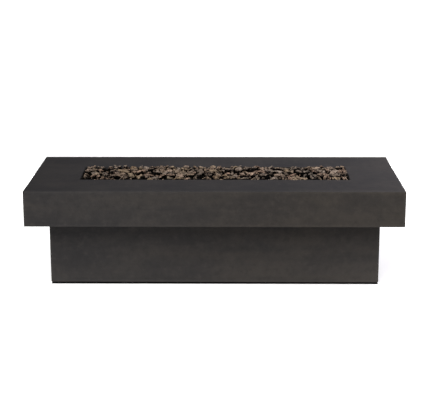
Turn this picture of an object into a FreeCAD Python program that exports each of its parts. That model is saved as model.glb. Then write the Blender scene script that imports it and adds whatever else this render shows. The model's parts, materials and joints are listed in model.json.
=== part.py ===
import FreeCAD, Part
import Sketcher
import math
import os

# Low rectangular fire pit table: a hollow cast slab with a long trough of lava
# rock, on a hollow cast plinth with a steel angle frame inside.
# Frame: origin on the floor under the middle of the table, +X along its length,
# +Y to the rear (the service side), +Z up.  Millimetres.

V = FreeCAD.Vector
doc = FreeCAD.newDocument("FirePitTable")
sheet = doc.addObject("Spreadsheet::Sheet", "Sizes")

SIZES = [
    # slab
    ("top_len", 1524.0, "slab length"),
    ("top_dep", 660.4, "slab depth"),
    ("top_thk", 146.05, "height of the slab's edge"),
    ("slab_low", 266.7, "underside of the slab above the floor"),
    ("deck_thk", 28.0, "cast deck thickness"),
    ("skirt_thk", 25.0, "cast skirt thickness"),
    ("arris", 3.0, "eased edge radius"),
    ("open_len", 1118.0, "trough opening length"),
    ("open_dep", 242.0, "trough opening depth"),
    ("ledge_drop", 40.0, "pan ledge below the table surface"),
    ("ledge_len", 1078.0, "clear length under the ledge"),
    ("ledge_dep", 202.0, "clear depth under the ledge"),
    ("collar_len", 1178.0, "collar around the trough, outside length"),
    ("collar_dep", 302.0, "collar around the trough, outside depth"),
    ("collar_drop", 70.0, "collar bottom below the table surface"),
    # plinth
    ("base_len", 1346.2, "plinth length"),
    ("base_dep", 482.6, "plinth depth"),
    ("base_low", 6.0, "plinth bottom above the floor"),
    ("base_top", 300.0, "plinth top, inside the slab's hollow"),
    ("base_wall", 24.0, "plinth wall"),
    ("base_ease", 5.0, "eased bottom edge of the plinth"),
    # steel angle frame
    ("leg_wide", 40.0, "angle leg width"),
    ("leg_thk", 4.0, "angle leg thickness"),
    ("ring_low", 30.0, "lower ring underside"),
    ("pad_thk", 2.0, "silicone pad"),
    ("bolt_zed", 54.0, "height of the plinth bolts"),
    ("bolt_xa", 450.0, "plinth bolts, outer pair"),
    ("bolt_xb", 150.0, "plinth bolts, inner pair"),
    ("bolt_ye", 100.0, "plinth bolts on the end walls"),
    ("deck_xa", 560.0, "deck bolts, outer pair"),
    ("deck_xb", 190.0, "deck bolts, inner pair"),
    # levelling feet
    ("foot_px", 560.0, "foot position along the table"),
    ("foot_py", 192.0, "foot position across the table"),
    ("foot_rad", 22.0, "foot pad radius"),
    ("foot_thk", 10.0, "foot pad height"),
    ("stem_rad", 6.0, "foot stem radius"),
    # burner pan
    ("pan_skin", 1.5, "pan sheet"),
    ("pan_flange_len", 1112.0, "pan flange length"),
    ("pan_flange_dep", 236.0, "pan flange depth"),
    ("pan_len", 1070.0, "pan trough length"),
    ("pan_dep", 194.0, "pan trough depth"),
    ("pan_deep", 60.0, "pan trough drop below its flange"),
    # burner
    ("tube_rad", 9.5, "burner tube radius"),
    ("tube_bore", 8.0, "burner tube bore radius"),
    ("tube_run", 960.0, "burner tube length"),
    ("tube_gap", 96.0, "distance between the burner tubes"),
    ("tube_zed", 335.0, "height of the burner tubes"),
    ("port_rad", 1.2, "burner port radius"),
    ("port_step", 40.0, "burner port spacing"),
    # service side
    ("door_len", 520.0, "door length"),
    ("door_hgt", 160.0, "door height"),
    ("door_cx", -237.0, "door middle"),
    ("door_cz", 153.0, "door middle height"),
    ("door_gap", 3.0, "gap around the door"),
    ("hinge_rad", 4.0, "hinge knuckle radius"),
    ("panel_cx", 330.0, "control panel middle"),
    ("panel_cz", 150.0, "control panel middle height"),
    ("panel_len", 200.0, "control panel length"),
    ("panel_hgt", 130.0, "control panel height"),
    ("knob_px", 370.0, "knob axis"),
    ("igniter_px", 290.0, "igniter axis"),
    ("inlet_px", 520.0, "gas inlet axis"),
    ("inlet_pz", 110.0, "gas inlet height"),
    ("flare_rad", 7.94, "gas inlet flare thread radius"),
    ("pipe_rad", 4.75, "gas tube radius"),
    ("pipe_bore", 3.9, "gas tube bore radius"),
    ("lead_rad", 2.0, "ignition lead radius"),
    ("couple_rad", 1.5, "thermocouple lead radius"),
    ("vent_len", 168.0, "vent opening length"),
    ("vent_hgt", 52.0, "vent opening height"),
    ("vent_cz", 150.0, "vent middle height"),
    # lava rock
    ("rock_grow", 1.0, "stone size against its listed size"),
]
for row, (alias, value, note) in enumerate(SIZES, start=1):
    sheet.set("A%d" % row, alias)
    sheet.set("B%d" % row, repr(value))
    sheet.set("C%d" % row, note)
    sheet.setAlias("B%d" % row, alias)
doc.recompute()


class Dim:
    """A length together with the sheet formula that gives it."""

    def __init__(self, v, e=None):
        self.v = float(v)
        self.e = e if e is not None else "%.6f" % float(v)

    @staticmethod
    def of(o):
        return o if isinstance(o, Dim) else Dim(o)

    def __add__(self, o):
        o = Dim.of(o)
        return Dim(self.v + o.v, "(%s + %s)" % (self.e, o.e))

    __radd__ = __add__

    def __sub__(self, o):
        o = Dim.of(o)
        return Dim(self.v - o.v, "(%s - %s)" % (self.e, o.e))

    def __rsub__(self, o):
        return Dim.of(o) - self

    def __mul__(self, o):
        o = Dim.of(o)
        return Dim(self.v * o.v, "(%s * %s)" % (self.e, o.e))

    __rmul__ = __mul__

    def __truediv__(self, o):
        o = Dim.of(o)
        return Dim(self.v / o.v, "(%s / %s)" % (self.e, o.e))

    def __neg__(self):
        return Dim(-self.v, "(0 - %s)" % self.e)


class Sheet:
    def __getattr__(self, name):
        return Dim(sheet.get(name), "Sizes." + name)


d = Sheet()
NODES = []
CUTS = []
SIGN = {"XY": 1, "XZ": -1, "YZ": 1}


def new_body(label):
    b = doc.addObject("PartDesign::Body", label)
    b.Label = label
    NODES.append((label, b))
    return b


def keep(label, obj):
    obj.Label = label
    NODES.append((label, obj))
    return obj


def origin_plane(body, name):
    for o in body.Origin.OriginFeatures:
        if o.Role == name + "_Plane":
            return o


def rect(cx, cy, w, h):
    cx, cy, w, h = [Dim.of(q) for q in (cx, cy, w, h)]
    return ("poly", [(cx - w / 2, cy - h / 2), (cx + w / 2, cy - h / 2),
                     (cx + w / 2, cy + h / 2), (cx - w / 2, cy + h / 2)])


def span(x0, x1, y0, y1):
    x0, x1, y0, y1 = [Dim.of(q) for q in (x0, x1, y0, y1)]
    return ("poly", [(x0, y0), (x1, y0), (x1, y1), (x0, y1)])


def poly(*pts):
    return ("poly", [(Dim.of(a), Dim.of(b)) for a, b in pts])


def disc(cx, cy, r):
    return ("disc", Dim.of(cx), Dim.of(cy), Dim.of(r))


def hexa(cx, cy, flats):
    """Regular hexagon given across its flats, two corners along the first axis."""
    cx, cy, f = Dim.of(cx), Dim.of(cy), Dim.of(flats)
    r = f / 2 / math.cos(math.pi / 6)
    return ("poly", [(cx + r * math.cos(math.pi / 3 * k), cy + r * math.sin(math.pi / 3 * k))
                     for k in range(6)])


def sketch(body, plane, at, loops):
    """Sketch parallel to an origin plane, at a real coordinate along its axis."""
    sk = body.newObject("Sketcher::SketchObject", "Sketch")
    sk.AttachmentSupport = [(origin_plane(body, plane), "")]
    sk.MapMode = "FlatFace"
    at = Dim.of(at)
    off = at if SIGN[plane] > 0 else -at
    sk.setExpression("AttachmentOffset.Base.z", off.e)
    names = []
    for loop in loops:
        if loop[0] == "disc":
            _, cx, cy, r = loop
            i = sk.addGeometry(Part.Circle(V(cx.v, cy.v, 0), V(0, 0, 1), r.v), False)
            for kind, q in (("DistanceX", cx), ("DistanceY", cy)):
                c = sk.addConstraint(Sketcher.Constraint(kind, -1, 1, i, 3, q.v))
                names.append((c, q))
            c = sk.addConstraint(Sketcher.Constraint("Radius", i, r.v))
            names.append((c, r))
        else:
            pts = loop[1]
            n = len(pts)
            first = None
            for k in range(n):
                a, b = pts[k], pts[(k + 1) % n]
                i = sk.addGeometry(Part.LineSegment(V(a[0].v, a[1].v, 0), V(b[0].v, b[1].v, 0)), False)
                first = i if first is None else first
            for k in range(n):
                sk.addConstraint(Sketcher.Constraint("Coincident", first + k, 2, first + (k + 1) % n, 1))
            for k in range(n):
                for kind, q in (("DistanceX", pts[k][0]), ("DistanceY", pts[k][1])):
                    c = sk.addConstraint(Sketcher.Constraint(kind, -1, 1, first + k, 1, q.v))
                    names.append((c, q))
    for c, q in names:
        if "Sizes" in q.e:
            sk.setExpression("Constraints[%d]" % c, q.e)
    return sk


def pad(body, plane, at, length, loops, way=1):
    """Pad along the real axis: way +1 or -1, or 0 for both ways equally."""
    sk = sketch(body, plane, at, loops)
    f = body.newObject("PartDesign::Pad", "Pad")
    f.Profile = sk
    length = Dim.of(length)
    f.Length = length.v
    f.setExpression("Length", length.e)
    if way == 0:
        f.SideType = "Symmetric"
    else:
        f.Reversed = (way * SIGN[plane] < 0)
    return f


def pocket(body, plane, at, length, loops, way=1):
    """Pocket along the real axis: way is the direction in which it cuts."""
    sk = sketch(body, plane, at, loops)
    base = body.Tip
    f = body.newObject("PartDesign::Pocket", "Pocket")
    f.Profile = sk
    length = Dim.of(length)
    f.Length = length.v
    f.setExpression("Length", length.e)
    if way == 0:
        f.SideType = "Symmetric"
    else:
        f.Reversed = (way * SIGN[plane] > 0)
    CUTS.append((body.Label, f, base))
    return f


def round_edges(body, kind, size, chosen):
    """Fillet or chamfer the edges for which chosen(edge) is true."""
    doc.recompute()
    base = body.Tip
    names = ["Edge%d" % (i + 1) for i, e in enumerate(base.Shape.Edges) if chosen(e)]
    if not names:
        raise RuntimeError("no edge to ease on " + body.Label)
    f = body.newObject("PartDesign::" + kind, kind)
    f.Base = (base, names)
    size = Dim.of(size)
    prop = "Radius" if kind == "Fillet" else "Size"
    setattr(f, prop, size.v)
    f.setExpression(prop, size.e)
    doc.recompute()
    return f


def near(a, b, tol=0.02):
    return abs(a - b) < tol


def ends(e):
    return [v.Point for v in e.Vertexes]


def place(obj, x=0, y=0, z=0):
    for axis, q in (("x", x), ("y", y), ("z", z)):
        q = Dim.of(q)
        obj.setExpression("Placement.Base." + axis, q.e)


# ------------------------------------------------------------------ levels
top_z = d.slab_low + d.top_thk
deck_z = top_z - d.deck_thk
ledge_z = top_z - d.ledge_drop
rear_y = d.base_dep / 2
wall_y = rear_y - d.base_wall
end_x = d.base_len / 2
wall_x = end_x - d.base_wall
leg_y = wall_y - d.leg_thk
leg_x = wall_x - d.leg_thk
ring_top = deck_z - d.pad_thk
ring_leg_top = ring_top - d.leg_thk
deck_y = wall_y - d.leg_wide / 2
pan_top = ledge_z + d.pan_skin
pan_floor = ledge_z - d.pan_deep + d.pan_skin
pan_under = ledge_z - d.pan_deep

# ------------------------------------------------------- tabletop casting
b = new_body("tabletop_casting")
pad(b, "XY", d.slab_low, d.top_thk, [rect(0, 0, d.top_len, d.top_dep)])
pocket(b, "XY", d.slab_low, d.top_thk - d.deck_thk,
       [rect(0, 0, d.top_len - 2 * d.skirt_thk, d.top_dep - 2 * d.skirt_thk),
        rect(0, 0, d.collar_len, d.collar_dep)], 1)
pocket(b, "XY", d.slab_low, d.top_thk - d.collar_drop, [rect(0, 0, d.collar_len + 0.5, d.collar_dep + 0.5)], 1)
pocket(b, "XY", top_z, d.ledge_drop, [rect(0, 0, d.open_len, d.open_dep)], -1)
pocket(b, "XY", top_z, d.top_thk, [rect(0, 0, d.ledge_len, d.ledge_dep)], -1)
pocket(b, "XY", deck_z, 16.5,
       [disc(sx * x, sy * deck_y, 5.5) for x in (d.deck_xa, d.deck_xb) for sx in (-1, 1) for sy in (-1, 1)], 1)


def slab_edge(e):
    p = ends(e)
    if len(p) != 2:
        return False
    x, y, zt = top_z.v, 0, top_z.v
    on_x = all(near(abs(q.x), d.top_len.v / 2) for q in p)
    on_y = all(near(abs(q.y), d.top_dep.v / 2) for q in p)
    on_t = all(near(q.z, top_z.v) for q in p)
    on_b = all(near(q.z, d.slab_low.v) for q in p)
    return (on_x and on_y) or ((on_x or on_y) and (on_t or on_b))


def opening_edge(e):
    p = ends(e)
    if len(p) != 2:
        return False
    on_t = all(near(q.z, top_z.v) for q in p)
    on_x = all(near(abs(q.x), d.open_len.v / 2) for q in p)
    on_y = all(near(abs(q.y), d.open_dep.v / 2) for q in p)
    return on_t and (on_x or on_y)


round_edges(b, "Fillet", d.arris, slab_edge)
round_edges(b, "Fillet", d.arris * 0.7, opening_edge)

# ----------------------------------------------------------- base casting
b = new_body("base_casting")
pad(b, "XY", d.base_low, d.base_top - d.base_low, [rect(0, 0, d.base_len, d.base_dep)])
pocket(b, "XY", d.base_low, d.base_top, [rect(0, 0, 2 * wall_x, 2 * wall_y)], 1)
door_x0 = d.door_cx - d.door_len / 2
door_x1 = d.door_cx + d.door_len / 2
door_z0 = d.door_cz - d.door_hgt / 2
door_z1 = d.door_cz + d.door_hgt / 2
pocket(b, "XZ", rear_y, d.base_wall + 10,
       [span(door_x0 - d.door_gap, door_x1 + d.door_gap, door_z0 - d.door_gap, door_z1 + d.door_gap),
        rect(d.panel_cx, d.panel_cz, d.panel_len - 30, d.panel_hgt - 26),
        disc(d.inlet_px, d.inlet_pz, 11)], -1)
pocket(b, "YZ", 0, d.base_len + 10, [rect(0, d.vent_cz, d.vent_len, d.vent_hgt)], 0)
bolts_x = [s * x for x in (d.bolt_xa, d.bolt_xb) for s in (-1, 1)]
pocket(b, "XZ", 0, 2 * wall_y + 33, [disc(x, d.bolt_zed, 6) for x in bolts_x], 0)
pocket(b, "YZ", 0, 2 * wall_x + 33, [disc(s * d.bolt_ye, d.bolt_zed, 6) for s in (-1, 1)], 0)
# pilot holes for the cover screws
panel_screws = [(d.panel_cx + sx * (d.panel_len / 2 - 8), d.panel_cz + sz * (d.panel_hgt / 2 - 7))
                for sx in (-1, 1) for sz in (-1, 1)]
hinge_x = door_x0 - d.door_gap / 2
hinge_zs = [d.door_cz - 50, d.door_cz + 50]
fixed_screws = [(hinge_x - 16, z + s * 12) for z in hinge_zs for s in (-1, 1)]
pocket(b, "XZ", rear_y, 17, [disc(x, z, 2.05) for x, z in panel_screws + fixed_screws], -1)
vent_screws = [(s * (d.vent_len / 2 + 11), d.vent_cz + t * (d.vent_hgt / 2 + 4)) for s in (-1, 1) for t in (-1, 1)]
vp = pocket(b, "YZ", end_x, 17, [disc(y, z, 2.05) for y, z in vent_screws], -1)
pocket(b, "YZ", -end_x, 17, [disc(y, z, 2.05) for y, z in vent_screws], 1)


def base_corner(e):
    p = ends(e)
    return len(p) == 2 and all(near(end_x.v - abs(q.x), rear_y.v - abs(q.y)) and abs(q.x) > wall_x.v + 1 for q in p)


def base_bottom(e):
    p = ends(e)
    return len(p) == 2 and all(near(q.z, d.base_low.v) and abs(q.x) > wall_x.v + 1 and abs(q.y) > wall_y.v + 1
                               for q in p)


round_edges(b, "Chamfer", d.base_ease, base_bottom)
round_edges(b, "Fillet", d.arris, base_corner)

# ------------------------------------------------------ steel angle frame
b = new_body("lower_frame_ring")
inner_x, inner_y = wall_x - d.leg_wide, wall_y - d.leg_wide
pad(b, "XY", d.ring_low, d.leg_wide, [rect(0, 0, 2 * wall_x, 2 * wall_y), rect(0, 0, 2 * leg_x, 2 * leg_y)])
pad(b, "XY", d.ring_low, d.leg_thk, [rect(0, 0, 2 * wall_x, 2 * wall_y), rect(0, 0, 2 * inner_x, 2 * inner_y)])
pocket(b, "XZ", 0, 2 * wall_y + 20, [disc(x, d.bolt_zed, 4.5) for x in bolts_x], 0)
pocket(b, "YZ", 0, 2 * wall_x + 20, [disc(s * d.bolt_ye, d.bolt_zed, 4.5) for s in (-1, 1)], 0)
feet = [(sx * d.foot_px, sy * d.foot_py) for sx in (-1, 1) for sy in (-1, 1)]
pocket(b, "XY", d.ring_low - 1, 10, [disc(x, y, d.stem_rad + 1) for x, y in feet], 1)

b = new_body("upper_frame_ring")
pad(b, "XY", ring_top, d.leg_wide, [rect(0, 0, 2 * wall_x, 2 * wall_y), rect(0, 0, 2 * leg_x, 2 * leg_y)], -1)
pad(b, "XY", ring_top, d.leg_thk, [rect(0, 0, 2 * wall_x, 2 * wall_y), rect(0, 0, 2 * inner_x, 2 * inner_y)], -1)
deck_bolts = [(sx * x, sy * deck_y) for x in (d.deck_xa, d.deck_xb) for sx in (-1, 1) for sy in (-1, 1)]
pocket(b, "XY", ring_top, 10, [disc(x, y, 4.5) for x, y in deck_bolts], -1)


def angle_post(sx, sy, x, y):
    """Angle section with its outer corner at (x, y), legs towards -sx and -sy."""
    w, t = d.leg_wide, d.leg_thk
    return poly((x, y), (x, y - sy * w), (x - sx * t, y - sy * w), (x - sx * t, y - sy * t),
                (x - sx * w, y - sy * t), (x - sx * w, y))


b = new_body("frame_posts")
loops = [angle_post(sx, sy, sx * leg_x, sy * leg_y) for sx in (-1, 1) for sy in (-1, 1)]
loops.append(angle_post(-1, -1, Dim.of(-20), -leg_y))
loops.append(angle_post(-1, 1, Dim.of(95), leg_y))
pad(b, "XY", d.ring_low + d.leg_thk, ring_leg_top - d.ring_low - d.leg_thk, loops)

# ------------------------------------------- fasteners of the plinth ring
ring_x = [(x, d.bolt_zed) for x in bolts_x]
ring_y = [(s * d.bolt_ye, d.bolt_zed) for s in (-1, 1)]


def opposed(b, shape_x, shape_y, out_y, in_y, out_x, in_x, clear=16):
    """Stubs between two distances from the middle, on all four walls."""
    pad(b, "XZ", 0, 2 * out_y, [shape_x(x, z) for x, z in ring_x], 0)
    pad(b, "YZ", 0, 2 * out_x, [shape_y(y, z) for y, z in ring_y], 0)
    pocket(b, "XZ", 0, 2 * in_y, [disc(x, z, clear) for x, z in ring_x], 0)
    pocket(b, "YZ", 0, 2 * in_x, [disc(y, z, clear) for y, z in ring_y], 0)


def bored(b, r):
    pocket(b, "XZ", 0, 2 * rear_y, [disc(x, z, r) for x, z in ring_x], 0)
    pocket(b, "YZ", 0, 2 * end_x, [disc(y, z, r) for y, z in ring_y], 0)


b = new_body("base_inserts")
opposed(b, lambda x, z: disc(x, z, 5.98), lambda y, z: disc(y, z, 5.98), wall_y + 16, wall_y, wall_x + 16, wall_x)
bored(b, 4.05)

b = new_body("base_bolts")
opposed(b, lambda x, z: disc(x, z, 3.98), lambda y, z: disc(y, z, 3.98),
        wall_y + 14, leg_y - 7.1, wall_x + 14, leg_x - 7.1)
pad(b, "XZ", 0, 2 * (leg_y - 1.6), [hexa(x, z, 13) for x, z in ring_x], 0)
pad(b, "YZ", 0, 2 * (leg_x - 1.6), [hexa(y, z, 13) for y, z in ring_y], 0)
pocket(b, "XZ", 0, 2 * (leg_y - 7.1), [disc(x, z, 16) for x, z in ring_x], 0)
pocket(b, "YZ", 0, 2 * (leg_x - 7.1), [disc(y, z, 16) for y, z in ring_y], 0)

b = new_body("frame_washers")
opposed(b, lambda x, z: disc(x, z, 8.5), lambda y, z: disc(y, z, 8.5), leg_y, leg_y - 1.6, leg_x, leg_x - 1.6)
bored(b, 4.2)
pad(b, "XY", ring_leg_top, 1.6, [disc(x, y, 8.5) for x, y in deck_bolts], -1)
pocket(b, "XY", ring_leg_top + 1, 4, [disc(x, y, 4.2) for x, y in deck_bolts], -1)

# ------------------------------------------------ slab bedding and bolts
b = new_body("tabletop_pads")
pad(b, "XY", ring_top, d.pad_thk, [rect(x, y, 70, 36) for x, y in deck_bolts])
pocket(b, "XY", ring_top, d.pad_thk, [disc(x, y, 4.6) for x, y in deck_bolts], 1)

b = new_body("tabletop_inserts")
pad(b, "XY", deck_z, 16, [disc(x, y, 5.48) for x, y in deck_bolts])
pocket(b, "XY", deck_z, 16, [disc(x, y, 4.05) for x, y in deck_bolts], 1)

b = new_body("tabletop_bolts")
pad(b, "XY", ring_leg_top - 1.6, 5.5, [hexa(x, y, 13) for x, y in deck_bolts], -1)
pad(b, "XY", ring_leg_top - 1.6, 1.6 + d.leg_thk + d.pad_thk + 14, [disc(x, y, 3.98) for x, y in deck_bolts], 1)

# --------------------------------------------------------- levelling feet
for fb, sy in (("front", -1), ("rear", 1)):
    for lr, sx in (("left", -1), ("right", 1)):
        tag = "%s_%s" % (fb, lr)
        # pad: disc with a socket for the stem's tip
        b = new_body("foot_pad_" + tag)
        pad(b, "XY", 0, d.foot_thk, [disc(0, 0, d.foot_rad)])
        pocket(b, "XY", d.foot_thk, 6, [disc(0, 0, 5.05)], -1)
        round_edges(b, "Chamfer", 2.0, lambda e: len(e.Vertexes) == 1 and near(e.BoundBox.ZMin, 10)
                    and e.BoundBox.XMax > 15)
        place(b, sx * d.foot_px, sy * d.foot_py, 0)
        # threaded stem with a hexagon for the spanner
        b = new_body("foot_stem_" + tag)
        pad(b, "XY", d.foot_thk - 5.7, 12, [disc(0, 0, 5)])
        pad(b, "XY", d.foot_thk + 0.3, 7, [hexa(0, 0, 19)])
        pad(b, "XY", d.foot_thk + 7.3, 60, [disc(0, 0, d.stem_rad - 0.05)])
        round_edges(b, "Chamfer", 1.2, lambda e: len(e.Vertexes) == 1 and near(e.BoundBox.ZMin, 77.3))
        place(b, sx * d.foot_px, sy * d.foot_py, 0)

b = new_body("foot_nuts")
pad(b, "XY", d.ring_low + d.leg_thk, 10, [hexa(x, y, 19) for x, y in feet])
pocket(b, "XY", d.ring_low + d.leg_thk, 10, [disc(x, y, d.stem_rad) for x, y in feet], 1)

# ------------------------------------------------------------- burner pan
b = new_body("burner_pan")
pad(b, "XY", ledge_z, d.pan_skin, [rect(0, 0, d.pan_flange_len, d.pan_flange_dep)])
pad(b, "XY", pan_under, d.pan_deep, [rect(0, 0, d.pan_len, d.pan_dep)])
pocket(b, "XY", pan_top, d.pan_deep, [rect(0, 0, d.pan_len - 2 * d.pan_skin, d.pan_dep - 2 * d.pan_skin)], -1)
drains = [disc(sx * x, sy * 80, 4) for x in (250, 500) for sx in (-1, 1) for sy in (-1, 1)]
pocket(b, "XY", pan_floor, 5, [disc(0, 0, 11), disc(80, -9, 4.1), disc(80, 9, 3.1),
                               disc(-400, 0, 2.6), disc(400, 0, 2.6)] + drains, -1)


# --------------------------------------------------------- burner manifold
b = new_body("burner_manifold")
ys = [d.tube_gap / 2, -d.tube_gap / 2]
pad(b, "YZ", 0, d.tube_run, [disc(y, d.tube_zed, d.tube_rad) for y in ys], 0)
pad(b, "XZ", 0, d.tube_gap, [disc(0, d.tube_zed, d.tube_rad)], 0)
pad(b, "XY", d.tube_zed - 15, 30, [disc(0, 0, 16)])
pocket(b, "YZ", 0, d.tube_run - 4, [disc(y, d.tube_zed, d.tube_bore) for y in ys], 0)
pocket(b, "XZ", 0, d.tube_gap, [disc(0, d.tube_zed, d.tube_bore)], 0)
pocket(b, "XY", d.tube_zed - 15, 15, [disc(0, 0, 8)], 1)
pocket(b, "XY", d.tube_zed - 15, 5, [disc(0, 0, 10.65)], 1)
doc.recompute()
ports = pocket(b, "XY", d.tube_zed + 12, 8, [disc(-d.port_step * 11.5, y, d.port_rad) for y in ys], -1)
doc.recompute()
lp = b.newObject("PartDesign::LinearPattern", "PortRow")
lp.Originals = [ports]
lp.Direction = (next(o for o in b.Origin.OriginFeatures if o.Role == "X_Axis"), [""])
lp.Length = (d.port_step * 23).v
lp.setExpression("Length", (d.port_step * 23).e)
lp.Occurrences = 24
b.Tip = lp
doc.recompute()

b = new_body("burner_supports")
sup_x = [-400, 400]
pad(b, "XY", pan_floor, 2, [rect(x, 0, 24, 124) for x in sup_x])
pad(b, "XY", pan_floor, 17, [rect(x, y, 24, 24) for x in sup_x for y in ys])
pocket(b, "YZ", 0, 1000, [disc(y, d.tube_zed, d.tube_rad + 0.05) for y in ys], 0)
pocket(b, "XY", pan_floor, 5, [disc(x, 0, 2.6) for x in sup_x], 1)

b = new_body("burner_screws")
pad(b, "XY", pan_floor + 2, 2.6, [disc(x, 0, 4.6) for x in sup_x])
pad(b, "XY", pan_floor + 2, 12, [disc(x, 0, 2.5) for x in sup_x], -1)
pad(b, "XY", pan_under, 4, [hexa(x, 0, 8) for x in sup_x], -1)

# ------------------------------------------------- nipple, mixer, orifice
b = new_body("inlet_nipple")
pad(b, "XY", 288, 37, [disc(0, 0, 10.6)])
pocket(b, "XY", 288, 40, [disc(0, 0, 7.5)], 1)

b = new_body("pipe_locknuts")
pad(b, "XY", pan_floor, 5, [hexa(0, 0, 28)])
pad(b, "XY", pan_under, 6, [hexa(0, 0, 28)], -1)
pocket(b, "XY", 300, 30, [disc(0, 0, 10.65)], 1)
pad(b, "XZ", wall_y, 7, [hexa(d.inlet_px, d.inlet_pz, 28)], -1)
pocket(b, "XZ", wall_y, 7, [disc(d.inlet_px, d.inlet_pz, 10.65)], -1)

b = new_body("air_mixer")
pad(b, "XY", 248, 48, [disc(0, 0, 14)])
pocket(b, "XY", 296, 8, [disc(0, 0, 10.65)], -1)
pocket(b, "XY", 296, 44, [disc(0, 0, 9)], -1)
pocket(b, "XY", 252, 10, [disc(0, 0, 5.05)], -1)
pocket(b, "XZ", 0, 60, [rect(0, 268, 9, 20)], 0)

b = new_body("air_shutter")
pad(b, "XY", 254, 28, [disc(0, 0, 16.6)])
pocket(b, "XY", 254, 28, [disc(0, 0, 14.06)], 1)
pocket(b, "XZ", 0, 60, [rect(0, 268, 9, 20)], 0)
pad(b, "YZ", 16, 12, [rect(0, 268, 2, 12)], 1)

b = new_body("orifice_spud")
pad(b, "XY", 238, 10, [hexa(0, 0, 15)])
pad(b, "XY", 248, 7, [disc(0, 0, 5)])
pad(b, "XY", 238, 12, [disc(0, 0, 6.5)], -1)
pocket(b, "XY", 226, 22, [disc(0, 0, 3)], 1)
pocket(b, "XY", 240, 20, [disc(0, 0, 0.9)], 1)

# ---------------------------------------------------------- pilot shield
b = new_body("pilot_shield")
t = d.pan_skin
pad(b, "YZ", 80, 44, [span(-25, 25, pan_floor, 363.5),
                      span(-23.5, 23.5, pan_floor + t, 330), span(-23.5, 23.5, 331.5, 362)], 0)
pocket(b, "XY", 332, 30, [disc(80, -9, 4.1), disc(80, 9, 3.1)], -1)
pocket(b, "XZ", 0, 60, [rect(70, 348, 8, 16), rect(90, 348, 8, 16)], 0)

b = new_body("electrode_insulator")
pad(b, "XY", 300, 38, [disc(80, -9, 4)])
pad(b, "XY", 331.5, 3, [disc(80, -9, 6)])

b = new_body("electrode_rod")
pad(b, "XY", 338, 16, [disc(80, -9, 1)])

b = new_body("thermocouple_tip")
pad(b, "XY", 300, 52, [disc(80, 9, 3)])
round_edges(b, "Fillet", 1.5, lambda e: len(e.Vertexes) == 1 and near(e.BoundBox.ZMin, 352))

# --------------------------------------------------------------- controls
panel_out = rear_y + 2
b = new_body("control_panel")
pad(b, "XZ", rear_y, 2, [rect(d.panel_cx, d.panel_cz, d.panel_len, d.panel_hgt)], 1)
valve_screws = [(d.knob_px + s * 17, d.panel_cz) for s in (-1, 1)]
pocket(b, "XZ", rear_y, 2, [disc(d.knob_px, d.panel_cz, 9.6), disc(d.igniter_px, d.panel_cz, 11.1)]
       + [disc(x, z, 2.05) for x, z in panel_screws + valve_screws], 1)


def plate_corner(e):
    p = ends(e)
    return len(p) == 2 and near(p[0].x, p[1].x) and near(p[0].z, p[1].z) \
        and near(abs(p[0].x - d.panel_cx.v), d.panel_len.v / 2)


round_edges(b, "Fillet", 4.0, plate_corner)

b = new_body("gas_valve_body")
pad(b, "XZ", rear_y, 49.3, [rect(d.knob_px, d.panel_cz, 50, 44)], -1)
pad(b, "XZ", rear_y, 5.7, [disc(d.knob_px, d.panel_cz, 9.5)], 1)
vin_x, vin_z = d.knob_px + 14, d.panel_cz + 10
vout_x, vout_z = d.knob_px - 14, d.panel_cz - 10
valve_back = rear_y - 49.3
pad(b, "XZ", valve_back, 10, [disc(vin_x, vin_z, 6.5), disc(vout_x, vout_z, 6.5)], -1)
pocket(b, "XZ", rear_y + 5.7, 48, [disc(d.knob_px, d.panel_cz, 4.05)], -1)
pocket(b, "XZ", valve_back - 10, 22, [disc(vin_x, vin_z, 3.2), disc(vout_x, vout_z, 3.2)], 1)
pocket(b, "XZ", rear_y, 12, [disc(x, z, 2.05) for x, z in valve_screws], -1)


def valve_edge(e):
    p = ends(e)
    return len(p) == 2 and near(p[0].x, p[1].x) and near(p[0].z, p[1].z) \
        and near(abs(p[0].x - d.knob_px.v), 25) and near(abs(p[0].z - d.panel_cz.v), 22)


round_edges(b, "Fillet", 5.0, valve_edge)

b = new_body("valve_plunger")
pad(b, "XZ", rear_y - 15.6, 21.7, [disc(d.knob_px, d.panel_cz, 4)], -1)

b = new_body("valve_stem")
pad(b, "XZ", rear_y - 15.3, 37, [disc(d.knob_px, d.panel_cz, 4)], 1)
pocket(b, "XZ", rear_y + 13, 12, [span(d.knob_px - 6, d.knob_px + 6, d.panel_cz + 2.6, d.panel_cz + 8)], 1)

b = new_body("control_knob")
knob_y = rear_y + 10.7
pad(b, "XZ", knob_y, 5, [disc(d.knob_px, d.panel_cz, 22)], 1)
pad(b, "XZ", knob_y + 5, 16, [disc(d.knob_px, d.panel_cz, 17)], 1)
round_edges(b, "Fillet", 2.0, lambda e: len(e.Vertexes) == 1 and near(e.BoundBox.YMin, (knob_y + 21).v)
            and e.BoundBox.XLength > 30)
round_edges(b, "Fillet", 1.2, lambda e: len(e.Vertexes) == 1 and near(e.BoundBox.YMin, (knob_y + 5).v)
            and e.BoundBox.XLength > 40)
# blind D-shaped bore for the stem, and a pointer groove across the face
pocket(b, "XZ", knob_y, 11.5, [disc(d.knob_px, d.panel_cz, 4.02)], 1)
pocket(b, "XZ", knob_y + 21, 1.6, [span(d.knob_px - 1.2, d.knob_px + 1.2, d.panel_cz + 3, d.panel_cz + 18)], -1)
# finger flutes around the grip
doc.recompute()
fl = pocket(b, "XZ", knob_y + 21, 14, [disc(d.knob_px + 18.6, d.panel_cz, 3)], -1)
doc.recompute()
pp = b.newObject("PartDesign::PolarPattern", "Flutes")
pp.Originals = [fl]
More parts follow.
